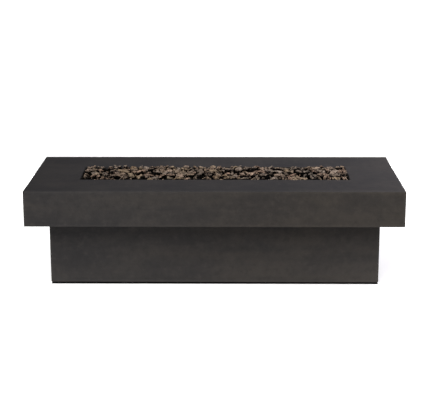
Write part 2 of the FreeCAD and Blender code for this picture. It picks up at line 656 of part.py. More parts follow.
# the pattern turns about the knob's own axis, taken from its bore sketch
axis_sk = b.newObject("Sketcher::SketchObject", "KnobAxis")
axis_sk.AttachmentSupport = [(origin_plane(b, "XZ"), "")]
axis_sk.MapMode = "FlatFace"
axis_sk.setExpression("AttachmentOffset.Base.x", d.knob_px.e)
axis_sk.setExpression("AttachmentOffset.Base.y", d.panel_cz.e)
pp.Axis = (axis_sk, ["N_Axis"])
pp.Angle = 360
pp.Occurrences = 12
b.Tip = pp
doc.recompute()

b = new_body("igniter_housing")
pad(b, "XZ", panel_out, 2.7, [disc(d.igniter_px, d.panel_cz, 14)], 1)
pad(b, "XZ", panel_out, 61, [disc(d.igniter_px, d.panel_cz, 11)], -1)
pad(b, "XZ", panel_out - 61, 6, [disc(d.igniter_px, d.panel_cz, 3)], -1)
pocket(b, "XZ", panel_out + 2.7, 18, [disc(d.igniter_px, d.panel_cz, 8.05)], -1)
pocket(b, "XZ", panel_out - 15, 42, [disc(d.igniter_px, d.panel_cz, 5.5)], -1)

b = new_body("igniter_button")
pad(b, "XZ", panel_out + 8.7, 20, [disc(d.igniter_px, d.panel_cz, 8)], -1)
round_edges(b, "Fillet", 1.5, lambda e: len(e.Vertexes) == 1 and near(e.BoundBox.YMin, (panel_out + 8.7).v))

b = new_body("igniter_nut")
pad(b, "XZ", rear_y, 5, [hexa(d.igniter_px, d.panel_cz, 30)], -1)
pocket(b, "XZ", rear_y, 5, [disc(d.igniter_px, d.panel_cz, 11.05)], -1)

b = new_body("igniter_battery")
pad(b, "XZ", panel_out - 16, 39, [disc(d.igniter_px, d.panel_cz, 5.25)], -1)
pad(b, "XZ", panel_out - 15.6, 1, [disc(d.igniter_px, d.panel_cz, 2)], -1)

# ------------------------------------------------------------- gas inlet
b = new_body("gas_inlet_fitting")
pad(b, "XZ", rear_y, 7.7, [hexa(d.inlet_px, d.inlet_pz, 27)], 1)
pad(b, "XZ", rear_y + 7.7, 14, [disc(d.inlet_px, d.inlet_pz, d.flare_rad)], 1)
pad(b, "XZ", rear_y, 33.3, [disc(d.inlet_px, d.inlet_pz, 10.6)], -1)
pad(b, "XZ", rear_y - 33.3, 10, [disc(d.inlet_px, d.inlet_pz, 6.5)], -1)
pocket(b, "XZ", rear_y + 30, 90, [disc(d.inlet_px, d.inlet_pz, 3.2)], -1)
inlet_seat = rear_y - 43.3

b = new_body("flare_nuts")
seat_list = [(d.inlet_px, d.inlet_pz, inlet_seat), (vin_x, vin_z, valve_back - 10), (vout_x, vout_z, valve_back - 10)]
for x, z, seat in seat_list:
    pad(b, "XZ", seat + 8, 14, [hexa(x, z, 17)], -1)
    pocket(b, "XZ", seat + 8, 8, [disc(x, z, 6.55)], -1)
    pocket(b, "XZ", seat + 8, 14, [disc(x, z, 4.8)], -1)
pad(b, "XY", 234, 14, [hexa(0, 0, 17)], -1)
pocket(b, "XY", 234, 8, [disc(0, 0, 6.55)], -1)
pocket(b, "XY", 234, 14, [disc(0, 0, 4.8)], -1)


# ------------------------------------- tubes and leads: runs and tangent arcs
def route(points, name, radius, cap=1e9):
    """Wire of straight runs joined by tangent arcs, as large as the runs allow."""
    pts = [V(*p) for p in points]
    edges, start, radii = [], pts[0], []
    for i in range(1, len(pts) - 1):
        a, p, c = pts[i - 1], pts[i], pts[i + 1]
        u, w = (a - p), (c - p)
        la, lc = u.Length, w.Length
        u.normalize()
        w.normalize()
        turn = math.pi - u.getAngle(w)
        r = min(0.45 * min(la, lc) / math.tan(turn / 2), cap)
        back = r * math.tan(turn / 2)
        p0, p1 = p + u * back, p + w * back
        bis = (u + w)
        bis.normalize()
        centre = p + bis * (r / math.cos(turn / 2))
        mid = centre - bis * r
        edges.append(Part.LineSegment(start, p0).toShape())
        edges.append(Part.Arc(p0, mid, p1).toShape())
        start = p1
        radii.append(r)
    edges.append(Part.LineSegment(start, pts[-1]).toShape())
    wire = Part.Wire(edges)
    print("%s: length %.1f, radii %s, smallest %.1f diameters"
          % (name, wire.Length, " ".join("%.0f" % r for r in radii), min(radii) / (2 * radius)))
    return wire


def tube(label, points, radius, bore=0.0, cap=1e9):
    wire = route(points, label, radius, cap)
    way = V(*points[1]) - V(*points[0])

    def swept(r):
        ring = Part.Wire([Part.Circle(V(*points[0]), way, r).toShape()])
        s = wire.makePipeShell([ring], True, False)
        if s.Volume < 0:
            s.reverse()
        return Part.Solid(s) if s.ShapeType == "Shell" else s

    s = swept(radius)
    want = math.pi * radius ** 2 * wire.Length
    if bore:
        s = s.cut(swept(bore))
        want -= math.pi * bore ** 2 * wire.Length
    if s.ShapeType == "Compound" and len(s.Solids) == 1:
        s = s.Solids[0]
    if abs(s.Volume - want) > 0.01 * want:
        raise RuntimeError("%s: volume %.1f, wanted %.1f" % (label, s.Volume, want))
    o = doc.addObject("Part::Feature", label)
    o.Shape = s
    o.Placement = FreeCAD.Placement()
    return keep(label, o)


tube("gas_inlet_tube", [(d.inlet_px.v, inlet_seat.v, d.inlet_pz.v), (d.inlet_px.v, 75, d.inlet_pz.v),
                        (vin_x.v, 72, vin_z.v), (vin_x.v, valve_back.v - 10, vin_z.v)],
     sheet.get("pipe_rad"), sheet.get("pipe_bore"))
tube("burner_supply_tube", [(vout_x.v, valve_back.v - 10, vout_z.v), (vout_x.v, 70, vout_z.v),
                            (200, 10, 118), (0, 0, 104), (0, 0, 226)],
     sheet.get("pipe_rad"), sheet.get("pipe_bore"))
ign_back = (panel_out - 67).v
tube("ignition_lead", [(d.igniter_px.v, ign_back, d.panel_cz.v), (d.igniter_px.v, 125, d.panel_cz.v), (250, 72, 168),
                       (188, 34, 196), (128, 4, 222), (80, -9, 248), (80, -9, 300)], sheet.get("lead_rad"))
tube("thermocouple_lead", [(d.knob_px.v, valve_back.v, d.panel_cz.v + 16), (d.knob_px.v, 138, d.panel_cz.v + 16),
                           (326, 88, 178), (258, 66, 198), (190, 52, 222), (126, 34, 244), (80, 9, 262),
                           (80, 9, 300)], sheet.get("couple_rad"))

b = new_body("lead_clips")
pad(b, "YZ", 80, 12, [poly((-24, pan_under), (-24, 282), (24, 282), (24, pan_under), (22, pan_under),
                           (22, 284), (-22, 284), (-22, pan_under))], 0)
pocket(b, "XY", 280, 8, [disc(80, -9, 2.05), disc(80, 9, 1.55)], 1)

# ------------------------------------------------------------ access door
b = new_body("access_door")
pad(b, "XZ", rear_y, 14, [span(door_x0, door_x1, door_z0, door_z1)], -1)
pocket(b, "XZ", rear_y - 14, 12, [span(door_x0 + 2, door_x1 - 2, door_z0 + 2, door_z1 - 2)], 1)
door_screws = [(hinge_x + 16, z + s * 12) for z in hinge_zs for s in (-1, 1)]
pull_x = door_x1 - 53
pocket(b, "XZ", rear_y, 6, [disc(x, z, 2.05) for x, z in door_screws] + [disc(pull_x, d.door_cz, 2.55)], -1)


def door_corner(e):
    p = ends(e)
    return len(p) == 2 and near(p[0].x, p[1].x) and near(p[0].z, p[1].z) \
        and (near(p[0].x, door_x0.v) or near(p[0].x, door_x1.v)) \
        and (near(p[0].z, door_z0.v) or near(p[0].z, door_z1.v))


round_edges(b, "Fillet", 2.0, door_corner)

leaf = 2.0
hz, hr = hinge_zs, d.hinge_rad
pin_y = rear_y + hr
b = new_body("door_hinge_fixed_leaves")
pad(b, "XY", d.door_cz, 140, [disc(hinge_x, pin_y, hr)], 0)
pad(b, "XZ", rear_y, leaf, [span(hinge_x - 26, hinge_x, z - 20, z + 20) for z in hz], 1)
pocket(b, "XZ", rear_y - 1, 14, [span(hinge_x - 5.5, hinge_x + 6, z - 7, z + 7) for z in hz]
       + [span(hinge_x - 6, hinge_x + 6, hz[0] + 20, hz[1] - 20)], 1)
pocket(b, "XY", d.door_cz, 160, [disc(hinge_x, pin_y, 1.9)], 0)
pocket(b, "XZ", rear_y, leaf, [disc(x, z, 2.05) for x, z in fixed_screws], 1)

b = new_body("door_hinge_moving_leaves")
pad(b, "XY", d.door_cz, 113, [disc(hinge_x, pin_y, hr)], 0)
pad(b, "XZ", rear_y, leaf, [span(hinge_x, hinge_x + 26, z - 20, z + 20) for z in hz], 1)
pocket(b, "XZ", rear_y - 1, 14, [span(hinge_x - 6, hinge_x + 5.5, z + s * 13.65 - 7, z + s * 13.65 + 7)
                                 for z in hz for s in (-1, 1)]
       + [span(hinge_x - 6, hinge_x + 6, hz[0] + 20, hz[1] - 20)], 1)
pocket(b, "XY", d.door_cz, 160, [disc(hinge_x, pin_y, 1.95)], 0)
pocket(b, "XZ", rear_y, leaf, [disc(x, z, 2.05) for x, z in door_screws], 1)

b = new_body("door_hinge_pins")
for z in hz:
    pad(b, "XY", z - 21, 42, [disc(hinge_x, pin_y, 1.88)])
    pad(b, "XY", z + 20, 1.2, [disc(hinge_x, pin_y, 3)])

b = new_body("hinge_door_screws")
pad(b, "XZ", rear_y + leaf, 1.8, [disc(x, z, 3.4) for x, z in door_screws], 1)
pad(b, "XZ", rear_y + leaf, 9, [disc(x, z, 2) for x, z in door_screws], -1)

b = new_body("door_pull")
pad(b, "XZ", rear_y, 2.5, [disc(pull_x, d.door_cz, 9)], 1)
pad(b, "XZ", rear_y, 15, [disc(pull_x, d.door_cz, 5)], 1)
pad(b, "XZ", rear_y + 14, 9, [disc(pull_x, d.door_cz, 11)], 1)
pad(b, "XZ", rear_y, 7, [disc(pull_x, d.door_cz, 2.5)], -1)
round_edges(b, "Fillet", 3.0, lambda e: len(e.Vertexes) == 1 and near(e.BoundBox.YMin, (rear_y + 23).v))

b = new_body("door_catch")
catch_x = door_x1 - 23
pad(b, "XZ", wall_y, 4, [span(catch_x - 12, catch_x + 62, d.door_cz - 10, d.door_cz + 10)], -1)
pad(b, "XZ", wall_y - 2, 21.2, [span(catch_x - 12, catch_x + 12, d.door_cz - 10, d.door_cz + 10)], 1)

# ----------------------------------------------------------- vent grilles
b = new_body("vent_grilles")
plate = [rect(0, d.vent_cz, d.vent_len + 36, d.vent_hgt + 22)]
pad(b, "YZ", 0, 2 * end_x + 4, plate, 0)
pocket(b, "YZ", 0, 2 * end_x, [rect(0, d.vent_cz, 400, 200)], 0)
slots = [rect(0, d.vent_cz + k * 10, d.vent_len - 16, 5) for k in (-2, -1, 0, 1, 2)]
pocket(b, "YZ", 0, 2 * end_x + 20, slots + [disc(y, z, 2.05) for y, z in vent_screws], 0)


def grille_corner(e):
    p = ends(e)
    return len(p) == 2 and near(p[0].y, p[1].y) and near(p[0].z, p[1].z) \
        and near(abs(p[0].y), d.vent_len.v / 2 + 18)


round_edges(b, "Fillet", 5.0, grille_corner)

# ----------------------------------------------------------- cover screws
b = new_body("cover_screws")
pad(b, "XZ", panel_out, 2.2, [disc(x, z, 3.8) for x, z in panel_screws + valve_screws + fixed_screws], 1)
pad(b, "XZ", panel_out, 16, [disc(x, z, 2) for x, z in panel_screws + fixed_screws], -1)
pad(b, "XZ", panel_out, 12, [disc(x, z, 2) for x, z in valve_screws], -1)
pad(b, "YZ", end_x + 2, 2.2, [disc(y, z, 3.8) for y, z in vent_screws], 1)
pad(b, "YZ", end_x + 2, 16, [disc(y, z, 2) for y, z in vent_screws], -1)
pad(b, "YZ", -end_x - 2, 2.2, [disc(y, z, 3.8) for y, z in vent_screws], -1)
pad(b, "YZ", -end_x - 2, 16, [disc(y, z, 2) for y, z in vent_screws], 1)

# -------------------------------------------------------------- lava rock
# Loose stones, each a closed flat-faced solid at its settled place.  A form is a
# list of corners for a stone of unit size, and its triangles; a stone is (form,
# size, x, y, z, and its turn as a quaternion).
ROCK_FORMS = [
    ([(-0.22, 0.146, 0.468), (0.532, 0.076, 0.343), (-0.387, -0.369, 0.43), (-0.018, 0.387, 0.338), (0.233, -0.465, 0.182), (-0.742, -0.221, 0.107), (0.571, 0.402, 0.124), (-0.151, -0.521, 0.018), (-0.314, 0.33, -0.264), (0.587, 0.024, -0.392), (-0.593, -0.146, -0.351), (0.238, 0.469, -0.431), (-0.032, -0.238, -0.392)],
     [(2, 0, 5), (12, 11, 9), (12, 10, 11), (9, 4, 12), (11, 10, 8), (8, 3, 11), (8, 10, 5), (5, 0, 8), (0, 3, 8), (9, 11, 6), (11, 3, 6), (7, 12, 4), (10, 12, 7), (5, 10, 7), (7, 2, 5), (4, 2, 7), (1, 3, 0), (1, 6, 3), (0, 2, 1), (1, 2, 4), (1, 4, 9), (9, 6, 1)]),
    ([(0.166, 0.226, 0.459), (-0.227, -0.296, 0.366), (-0.472, 0.35, 0.25), (0.622, -0.005, 0.096), (-0.461, -0.436, 0.045), (-0.112, 0.544, 0.159), (0.514, -0.363, 0.176), (-0.677, 0.304, 0.182), (0.588, 0.331, -0.049), (-0.1, -0.516, -0.084), (-0.478, 0.491, -0.045), (0.569, -0.218, -0.383), (-0.471, -0.081, -0.354), (0.158, 0.106, -0.42), (0.099, -0.255, -0.456)],
     [(12, 14, 9), (3, 8, 0), (6, 1, 9), (3, 0, 6), (6, 0, 1), (11, 8, 3), (3, 6, 11), (9, 14, 11), (11, 6, 9), (9, 1, 4), (4, 12, 9), (4, 1, 7), (7, 12, 4), (14, 12, 13), (13, 11, 14), (8, 11, 13), (7, 1, 2), (1, 0, 2), (10, 12, 7), (10, 13, 12), (8, 13, 10), (5, 2, 0), (5, 0, 8), (8, 10, 5), (7, 2, 5), (5, 10, 7)]),
    ([(-0.176, -0.008, 0.389), (0.461, 0.044, 0.403), (-0.146, -0.605, 0.272), (-0.23, 0.422, 0.161), (0.514, -0.398, 0.127), (-0.679, -0.236, -0.011), (0.408, 0.439, 0.021), (0.025, -0.578, -0.104), (-0.617, 0.414, -0.028), (0.695, 0.066, -0.081), (-0.506, -0.4, -0.088), (0.039, 0.565, -0.279), (0.438, -0.153, -0.295), (-0.543, 0.297, -0.334), (0.21, 0.297, -0.419)],
     [(6, 1, 9), (9, 1, 4), (1, 2, 4), (4, 12, 9), (5, 8, 13), (13, 8, 11), (9, 12, 14), (14, 6, 9), (11, 6, 14), (14, 13, 11), (12, 13, 14), (10, 2, 5), (5, 13, 10), (0, 2, 1), (5, 2, 0), (0, 8, 5), (1, 6, 3), (3, 0, 1), (8, 0, 3), (11, 8, 3), (3, 6, 11), (7, 4, 2), (12, 4, 7), (2, 10, 7), (7, 13, 12), (7, 10, 13)]),
    ([(0.053, 0.056, 0.497), (-0.374, 0.367, 0.347), (0.563, 0.361, 0.369), (-0.285, -0.454, 0.204), (-0.083, 0.521, 0.219), (0.636, -0.183, 0.168), (-0.622, -0.032, 0.072), (0.681, 0.349, 0.182), (0.034, -0.552, -0.345), (-0.613, 0.294, -0.147), (0.422, -0.002, -0.354), (-0.394, -0.268, -0.448), (0.004, 0.04, -0.552)],
     [(7, 12, 4), (11, 12, 8), (11, 3, 6), (8, 3, 11), (10, 12, 7), (8, 12, 10), (5, 3, 8), (5, 10, 7), (8, 10, 5), (9, 4, 12), (9, 11, 6), (12, 11, 9), (3, 5, 0), (2, 5, 7), (2, 0, 5), (7, 4, 2), (1, 9, 6), (4, 9, 1), (6, 3, 1), (3, 0, 1), (1, 2, 4), (0, 2, 1)]),
    ([(0.165, -0.008, 0.462), (-0.372, -0.043, 0.376), (0.467, 0.13, 0.295), (-0.216, -0.548, 0.173), (-0.075, 0.595, 0.11), (0.579, -0.342, 0.032), (-0.692, -0.131, 0.121), (0.465, 0.465, 0.078), (0.063, -0.659, -0.091), (-0.516, 0.335, -0.161), (0.71, 0.183, -0.056), (-0.422, -0.28, -0.332), (-0.07, 0.597, -0.275), (0.264, -0.235, -0.334), (-0.232, 0.101, -0.36)],
     [(5, 3, 8), (0, 3, 5), (11, 3, 6), (8, 3, 11), (10, 5, 13), (13, 5, 8), (8, 11, 13), (13, 11, 14), (2, 5, 10), (0, 5, 2), (10, 13, 12), (12, 13, 14), (1, 4, 6), (0, 4, 1), (6, 3, 1), (1, 3, 0), (10, 12, 7), (7, 12, 4), (7, 2, 10), (7, 4, 0), (0, 2, 7), (6, 4, 9), (4, 12, 9), (9, 12, 14), (9, 11, 6), (14, 11, 9)]),
    ([(0.117, -0.069, 0.437), (-0.294, -0.46, 0.299), (-0.075, 0.52, 0.279), (0.211, -0.39, 0.253), (-0.696, -0.167, 0.133), (0.529, 0.436, 0.185), (-0.149, -0.653, 0.058), (-0.464, 0.368, -0.063), (0.604, -0.267, -0.091), (-0.641, -0.269, -0.139), (0.21, 0.547, -0.16), (0.282, -0.439, -0.205), (-0.449, 0.198, -0.35), (0.645, 0.103, -0.294), (-0.025, -0.052, -0.406)],
     [(4, 0, 2), (4, 6, 1), (1, 0, 4), (5, 2, 0), (5, 8, 13), (0, 8, 5), (14, 12, 13), (6, 8, 3), (3, 8, 0), (3, 1, 6), (0, 1, 3), (2, 5, 10), (13, 12, 10), (10, 5, 13), (12, 14, 9), (9, 6, 4), (4, 12, 9), (11, 8, 6), (6, 9, 11), (11, 9, 14), (13, 8, 11), (11, 14, 13), (2, 10, 7), (7, 10, 12), (4, 2, 7), (7, 12, 4)]),
    ([(0.143, 0.182, 0.44), (-0.069, -0.471, 0.403), (-0.178, 0.487, 0.333), (0.616, -0.203, 0.205), (-0.635, -0.264, 0.094), (0.246, 0.617, -0.06), (0.157, -0.571, -0.029), (-0.562, 0.22, -0.193), (0.736, 0.07, -0.137), (-0.286, -0.241, -0.456), (-0.197, 0.436, -0.314), (0.22, -0.165, -0.377), (-0.298, 0.116, -0.458)],
     [(8, 5, 0), (7, 9, 4), (12, 9, 7), (11, 12, 8), (11, 9, 12), (12, 7, 10), (10, 5, 8), (8, 12, 10), (2, 0, 5), (5, 10, 2), (2, 10, 7), (2, 7, 4), (4, 1, 2), (2, 1, 0), (8, 0, 3), (0, 1, 3), (9, 11, 6), (4, 9, 6), (6, 1, 4), (6, 3, 1), (6, 11, 8), (8, 3, 6)]),
    ([(-0.292, -0.166, 0.467), (0.065, 0.431, 0.363), (0.302, -0.506, 0.304), (-0.545, 0.222, 0.194), (0.579, 0.249, -0.089), (-0.277, -0.531, 0.036), (-0.082, 0.601, 0.036), (0.769, -0.09, -0.202), (-0.634, -0.191, -0.214), (0.273, 0.558, -0.203), (0.112, -0.531, -0.221), (-0.315, 0.273, -0.403), (0.254, 0.253, -0.362)],
     [(11, 10, 8), (8, 0, 3), (3, 11, 8), (6, 11, 3), (6, 3, 1), (1, 3, 0), (5, 0, 8), (8, 10, 5), (2, 10, 7), (7, 1, 2), (2, 1, 0), (0, 5, 2), (2, 5, 10), (9, 11, 6), (6, 1, 9), (12, 9, 7), (11, 9, 12), (7, 10, 12), (10, 11, 12), (4, 1, 7), (7, 9, 4), (4, 9, 1)]),
    ([(0.158, 0.13, 0.461), (-0.095, -0.471, 0.303), (-0.206, 0.344, 0.303), (0.574, -0.263, 0.207), (-0.652, -0.068, 0.16), (0.361, 0.488, 0.034), (0.296, -0.615, 0.108), (-0.683, 0.319, 0.026), (0.639, 0.153, 0.005), (-0.181, -0.471, -0.18), (-0.268, 0.478, -0.125), (0.447, -0.473, -0.157), (-0.697, 0.182, -0.253), (0.246, 0.376, -0.398), (0.009, 0.019, -0.422)],
     [(5, 0, 8), (8, 0, 3), (0, 4, 1), (6, 3, 1), (1, 3, 0), (12, 14, 9), (9, 4, 12), (6, 1, 9), (9, 1, 4), (8, 3, 11), (11, 3, 6), (6, 9, 11), (11, 9, 14), (12, 4, 7), (12, 7, 10), (13, 5, 8), (8, 11, 13), (13, 11, 14), (13, 10, 5), (13, 14, 12), (12, 10, 13), (0, 5, 2), (2, 4, 0), (2, 7, 4), (5, 10, 2), (2, 10, 7)]),
    ([(0.081, 0.127, 0.463), (-0.152, -0.399, 0.348), (-0.414, 0.527, 0.279), (0.507, -0.181, 0.29), (-0.593, -0.147, 0.298), (0.003, 0.557, 0.108), (0.415, -0.484, -0.031), (-0.674, 0.184, -0.053), (0.762, 0.077, -0.098), (-0.002, -0.44, -0.304), (-0.262, 0.342, -0.355), (0.434, -0.371, -0.403), (-0.239, 0.079, -0.54)],
     [(5, 0, 8), (3, 6, 8), (8, 0, 3), (3, 1, 6), (0, 1, 3), (8, 6, 11), (11, 12, 8), (0, 5, 2), (8, 12, 10), (10, 5, 8), (10, 2, 5), (10, 12, 7), (7, 2, 10), (4, 2, 7), (4, 1, 0), (0, 2, 4), (1, 4, 9), (6, 1, 9), (9, 11, 6), (12, 11, 9), (7, 12, 9), (9, 4, 7)]),
    ([(0.129, 0.265, 0.435), (0.125, -0.238, 0.371), (-0.319, 0.4, 0.243), (0.627, 0.016, 0.248), (-0.492, -0.372, 0.238), (0.069, 0.584, 0.092), (0.42, -0.335, 0.065), (-0.58, 0.159, 0.066), (0.669, 0.321, -0.05), (-0.299, -0.644, -0.052), (-0.266, 0.471, -0.203), (0.537, -0.101, -0.23), (-0.595, -0.328, -0.217), (0.015, 0.34, -0.394), (0.152, -0.319, -0.402)],
     [(8, 5, 0), (13, 5, 8), (4, 7, 12), (8, 0, 3), (9, 4, 12), (6, 9, 14), (12, 13, 14), (14, 9, 12), (2, 0, 5), (2, 4, 0), (7, 4, 2), (5, 13, 10), (10, 2, 5), (7, 2, 10), (10, 13, 12), (12, 7, 10), (0, 4, 1), (1, 3, 0), (6, 3, 1), (1, 9, 6), (4, 9, 1), (11, 13, 8), (11, 14, 13), (6, 14, 11), (8, 3, 11), (11, 3, 6)]),
    ([(-0.237, 0.05, 0.486), (0.394, -0.122, 0.356), (-0.563, -0.338, 0.248), (0.106, 0.438, 0.346), (0.241, -0.398, 0.262), (-0.605, 0.22, 0.07), (0.716, 0.194, -0.028), (-0.153, -0.48, -0.126), (-0.206, 0.555, 0.024), (0.567, -0.29, -0.147), (-0.665, 0.048, -0.138), (0.491, 0.271, -0.22), (-0.039, -0.399, -0.405), (-0.382, 0.068, -0.341), (0.159, 0.144, -0.528)],
     [(4, 2, 7), (0, 2, 4), (5, 8, 10), (0, 8, 5), (10, 2, 5), (5, 2, 0), (6, 8, 3), (3, 8, 0), (9, 14, 6), (9, 4, 7), (10, 8, 13), (8, 14, 13), (11, 8, 6), (6, 14, 11), (11, 14, 8), (0, 4, 1), (1, 3, 0), (6, 3, 1), (1, 9, 6), (4, 9, 1), (12, 9, 7), (14, 9, 12), (12, 13, 14), (10, 13, 12), (12, 2, 10), (7, 2, 12)]),
    ([(0.194, 0.264, 0.41), (-0.099, -0.217, 0.381), (-0.057, 0.409, 0.369), (0.531, 0.083, 0.357), (-0.544, -0.338, 0.219), (0.322, 0.532, -0.023), (0.405, -0.391, 0.158), (-0.8, 0.102, 0.091), (0.725, 0.376, -0.022), (-0.283, -0.58, -0.17), (-0.231, 0.327, -0.302), (0.395, -0.251, -0.303), (-0.316, -0.111, -0.46), (0.083, 0.191, -0.415)],
     [(12, 9, 7), (10, 12, 7), (9, 12, 11), (2, 10, 7), (7, 9, 4), (4, 2, 7), (1, 2, 4), (12, 10, 13), (8, 11, 13), (13, 11, 12), (9, 11, 6), (6, 4, 9), (1, 4, 6), (6, 11, 8), (5, 2, 8), (10, 2, 5), (8, 13, 5), (5, 13, 10), (1, 6, 3), (3, 6, 8), (0, 2, 1), (1, 3, 0), (8, 2, 0), (0, 3, 8)]),
    ([(0.295, -0.082, 0.529), (-0.418, -0.042, 0.429), (0.406, 0.326, 0.313), (-0.032, -0.56, 0.194), (-0.345, 0.384, 0.227), (0.636, 0.102, -0.064), (-0.609, -0.364, -0.013), (0.079, 0.543, -0.237), (0.512, -0.303, -0.185), (-0.555, 0.024, -0.244), (0.481, 0.288, -0.216), (-0.177, -0.302, -0.344), (-0.365, 0.266, -0.408), (0.161, -0.137, -0.511)],
     [(7, 13, 12), (12, 4, 7), (10, 13, 7), (11, 12, 13), (5, 0, 8), (8, 10, 5), (13, 10, 8), (8, 11, 13), (0, 4, 1), (7, 4, 2), (2, 4, 0), (2, 0, 5), (5, 10, 2), (2, 10, 7), (4, 12, 9), (6, 1, 9), (9, 1, 4), (9, 11, 6), (12, 11, 9), (3, 8, 0), (3, 1, 6), (0, 1, 3), (6, 11, 3), (11, 8, 3)]),
    ([(0.203, -0.013, 0.485), (-0.315, 0.003, 0.48), (0.419, 0.335, 0.317), (0.23, -0.387, 0.242), (-0.479, 0.315, 0.127), (0.78, 0.063, 0.136), (-0.459, -0.46, 0.137), (-0.152, 0.491, 0.017), (0.482, -0.309, -0.099), (-0.659, -0.155, -0.219), (0.559, 0.232, -0.243), (-0.107, -0.456, -0.28), (-0.318, 0.421, -0.369), (0.478, 0.114, -0.33), (-0.196, -0.15, -0.442)],
     [(5, 0, 3), (1, 3, 0), (2, 0, 5), (2, 1, 0), (9, 12, 14), (14, 12, 13), (8, 13, 5), (5, 3, 8), (9, 1, 4), (4, 12, 9), (7, 12, 4), (4, 2, 7), (1, 2, 4), (7, 2, 10), (10, 12, 7), (13, 12, 10), (5, 13, 10), (10, 2, 5), (6, 1, 9), (3, 1, 6), (11, 14, 13), (13, 8, 11), (9, 14, 11), (11, 6, 9), (11, 8, 3), (3, 6, 11)]),
    ([(0.267, 0.226, 0.331), (0.181, -0.316, 0.292), (-0.451, 0.458, 0.276), (0.747, -0.095, 0.23), (-0.343, -0.427, 0.146), (0.223, 0.656, 0.147), (0.517, -0.538, -0.061), (-0.745, 0.136, 0.037), (0.564, 0.132, -0.102), (0.066, -0.671, -0.195), (-0.377, 0.529, -0.233), (0.318, -0.391, -0.336), (-0.487, -0.336, -0.254), (-0.07, 0.208, -0.332)],
     [(12, 4, 7), (9, 4, 12), (10, 12, 7), (13, 12, 10), (9, 12, 11), (11, 12, 13), (1, 4, 9), (9, 11, 6), (3, 1, 6), (6, 1, 9), (8, 11, 13), (8, 10, 5), (13, 10, 8), (8, 5, 3), (3, 6, 8), (8, 6, 11), (3, 5, 0), (0, 1, 3), (4, 1, 2), (1, 0, 2), (7, 4, 2), (2, 0, 5), (2, 10, 7), (5, 10, 2)]),
    ([(-0.234, -0.155, 0.435), (-0.201, 0.334, 0.293), (0.545, 0.106, 0.242), (-0.696, -0.25, 0.184), (0.264, 0.61, 0.195), (0.419, -0.422, 0.146), (-0.667, 0.15, -0.129), (0.726, 0.26, 0.012), (-0.457, -0.516, -0.032), (0.037, 0.601, -0.083), (0.578, -0.113, -0.207), (-0.639, -0.235, -0.191), (0.413, 0.387, -0.247), (0.087, -0.489, -0.301), (-0.103, 0.008, -0.405)],
     [(12, 4, 7), (3, 0, 1), (1, 0, 4), (1, 6, 3), (7, 4, 2), (4, 0, 2), (8, 0, 3), (10, 13, 14), (14, 12, 10), (10, 12, 7), (14, 6, 9), (9, 12, 14), (4, 12, 9), (9, 1, 4), (6, 1, 9), (5, 2, 0), (5, 8, 13), (0, 8, 5), (13, 10, 5), (7, 2, 5), (5, 10, 7), (11, 6, 14), (14, 13, 11), (13, 8, 11), (3, 6, 11), (11, 8, 3)]),
    ([(-0.028, -0.096, 0.491), (-0.571, 0.104, 0.327), (0.558, 0.06, 0.245), (-0.691, -0.2, 0.185), (0.215, 0.54, 0.181), (0.24, -0.455, 0.154), (-0.714, 0.031, 0.098), (0.733, 0.298, 0.023), (-0.279, -0.496, -0.093), (-0.195, 0.508, -0.172), (0.655, -0.247, -0.222), (-0.575, -0.236, -0.271), (0.424, 0.224, -0.276), (0.115, -0.351, -0.337), (-0.239, 0.039, -0.45)],
     [(6, 9, 11), (11, 9, 14), (6, 11, 3), (3, 11, 8), (12, 9, 7), (14, 9, 12), (7, 10, 12), (12, 10, 14), (7, 9, 4), (14, 10, 13), (8, 11, 13), (13, 11, 14), (2, 10, 7), (7, 4, 2), (2, 4, 0), (5, 3, 8), (0, 3, 5), (8, 13, 5), (5, 13, 10), (5, 2, 0), (10, 2, 5), (0, 4, 1), (6, 3, 1), (1, 3, 0), (1, 9, 6), (1, 4, 9)]),
    ([(0.167, -0.578, 0.323), (-0.37, -0.277, 0.326), (0.564, 0.337, 0.19), (0.519, -0.768, 0.19), (-0.902, 0.409, 0.056), (0.933, -0.129, 0.054), (-0.891, -0.056, -0.208), (0.192, 0.585, -0.265), (0.474, -0.541, -0.078), (-0.261, 0.427, -0.37), (0.245, 0.306, -0.325)],
     [(4, 9, 6), (3, 6, 8), (8, 6, 9), (5, 3, 8), (1, 2, 4), (4, 6, 1), (0, 3, 5), (5, 2, 0), (2, 1, 0), (0, 6, 3), (0, 1, 6), (7, 2, 5), (7, 9, 4), (4, 2, 7), (5, 8, 10), (10, 7, 5), (10, 8, 9), (9, 7, 10)]),
    ([(0.257, -0.361, 0.365), (-0.517, 0.114, 0.27), (0.656, -0.243, 0.311), (-0.237, -0.544, 0.259), (-0.141, 0.424, 0.266), (0.772, -0.266, 0.092), (-0.659, -0.289, 0.205), (0.23, 0.628, -0.207), (0.388, -0.474, -0.22), (-0.532, 0.526, -0.184), (0.64, 0.257, -0.272), (-0.584, -0.166, -0.282), (-0.095, 0.365, -0.31)],
     [(7, 12, 9), (7, 9, 4), (0, 8, 5), (7, 4, 2), (2, 0, 5), (4, 0, 2), (6, 9, 11), (11, 9, 12), (12, 8, 11), (10, 12, 7), (10, 8, 12), (5, 8, 10), (10, 2, 5), (7, 2, 10), (1, 0, 4), (1, 9, 6), (1, 4, 9), (8, 0, 3), (6, 11, 3), (3, 11, 8), (3, 1, 6), (0, 1, 3)]),
    ([(0.003, -0.384, 0.358), (-0.458, 0.129, 0.321), (0.518, -0.029, 0.231), (-0.66, -0.257, 0.202), (0.023, 0.617, 0.185), (0.423, -0.505, 0.104), (-0.473, 0.499, -0.125), (0.548, 0.56, -0.131), (-0.487, -0.536, -0.12), (-0.235, 0.476, -0.208), (0.677, -0.458, -0.156), (-0.468, 0.023, -0.335), (0.42, 0.047, -0.311)],
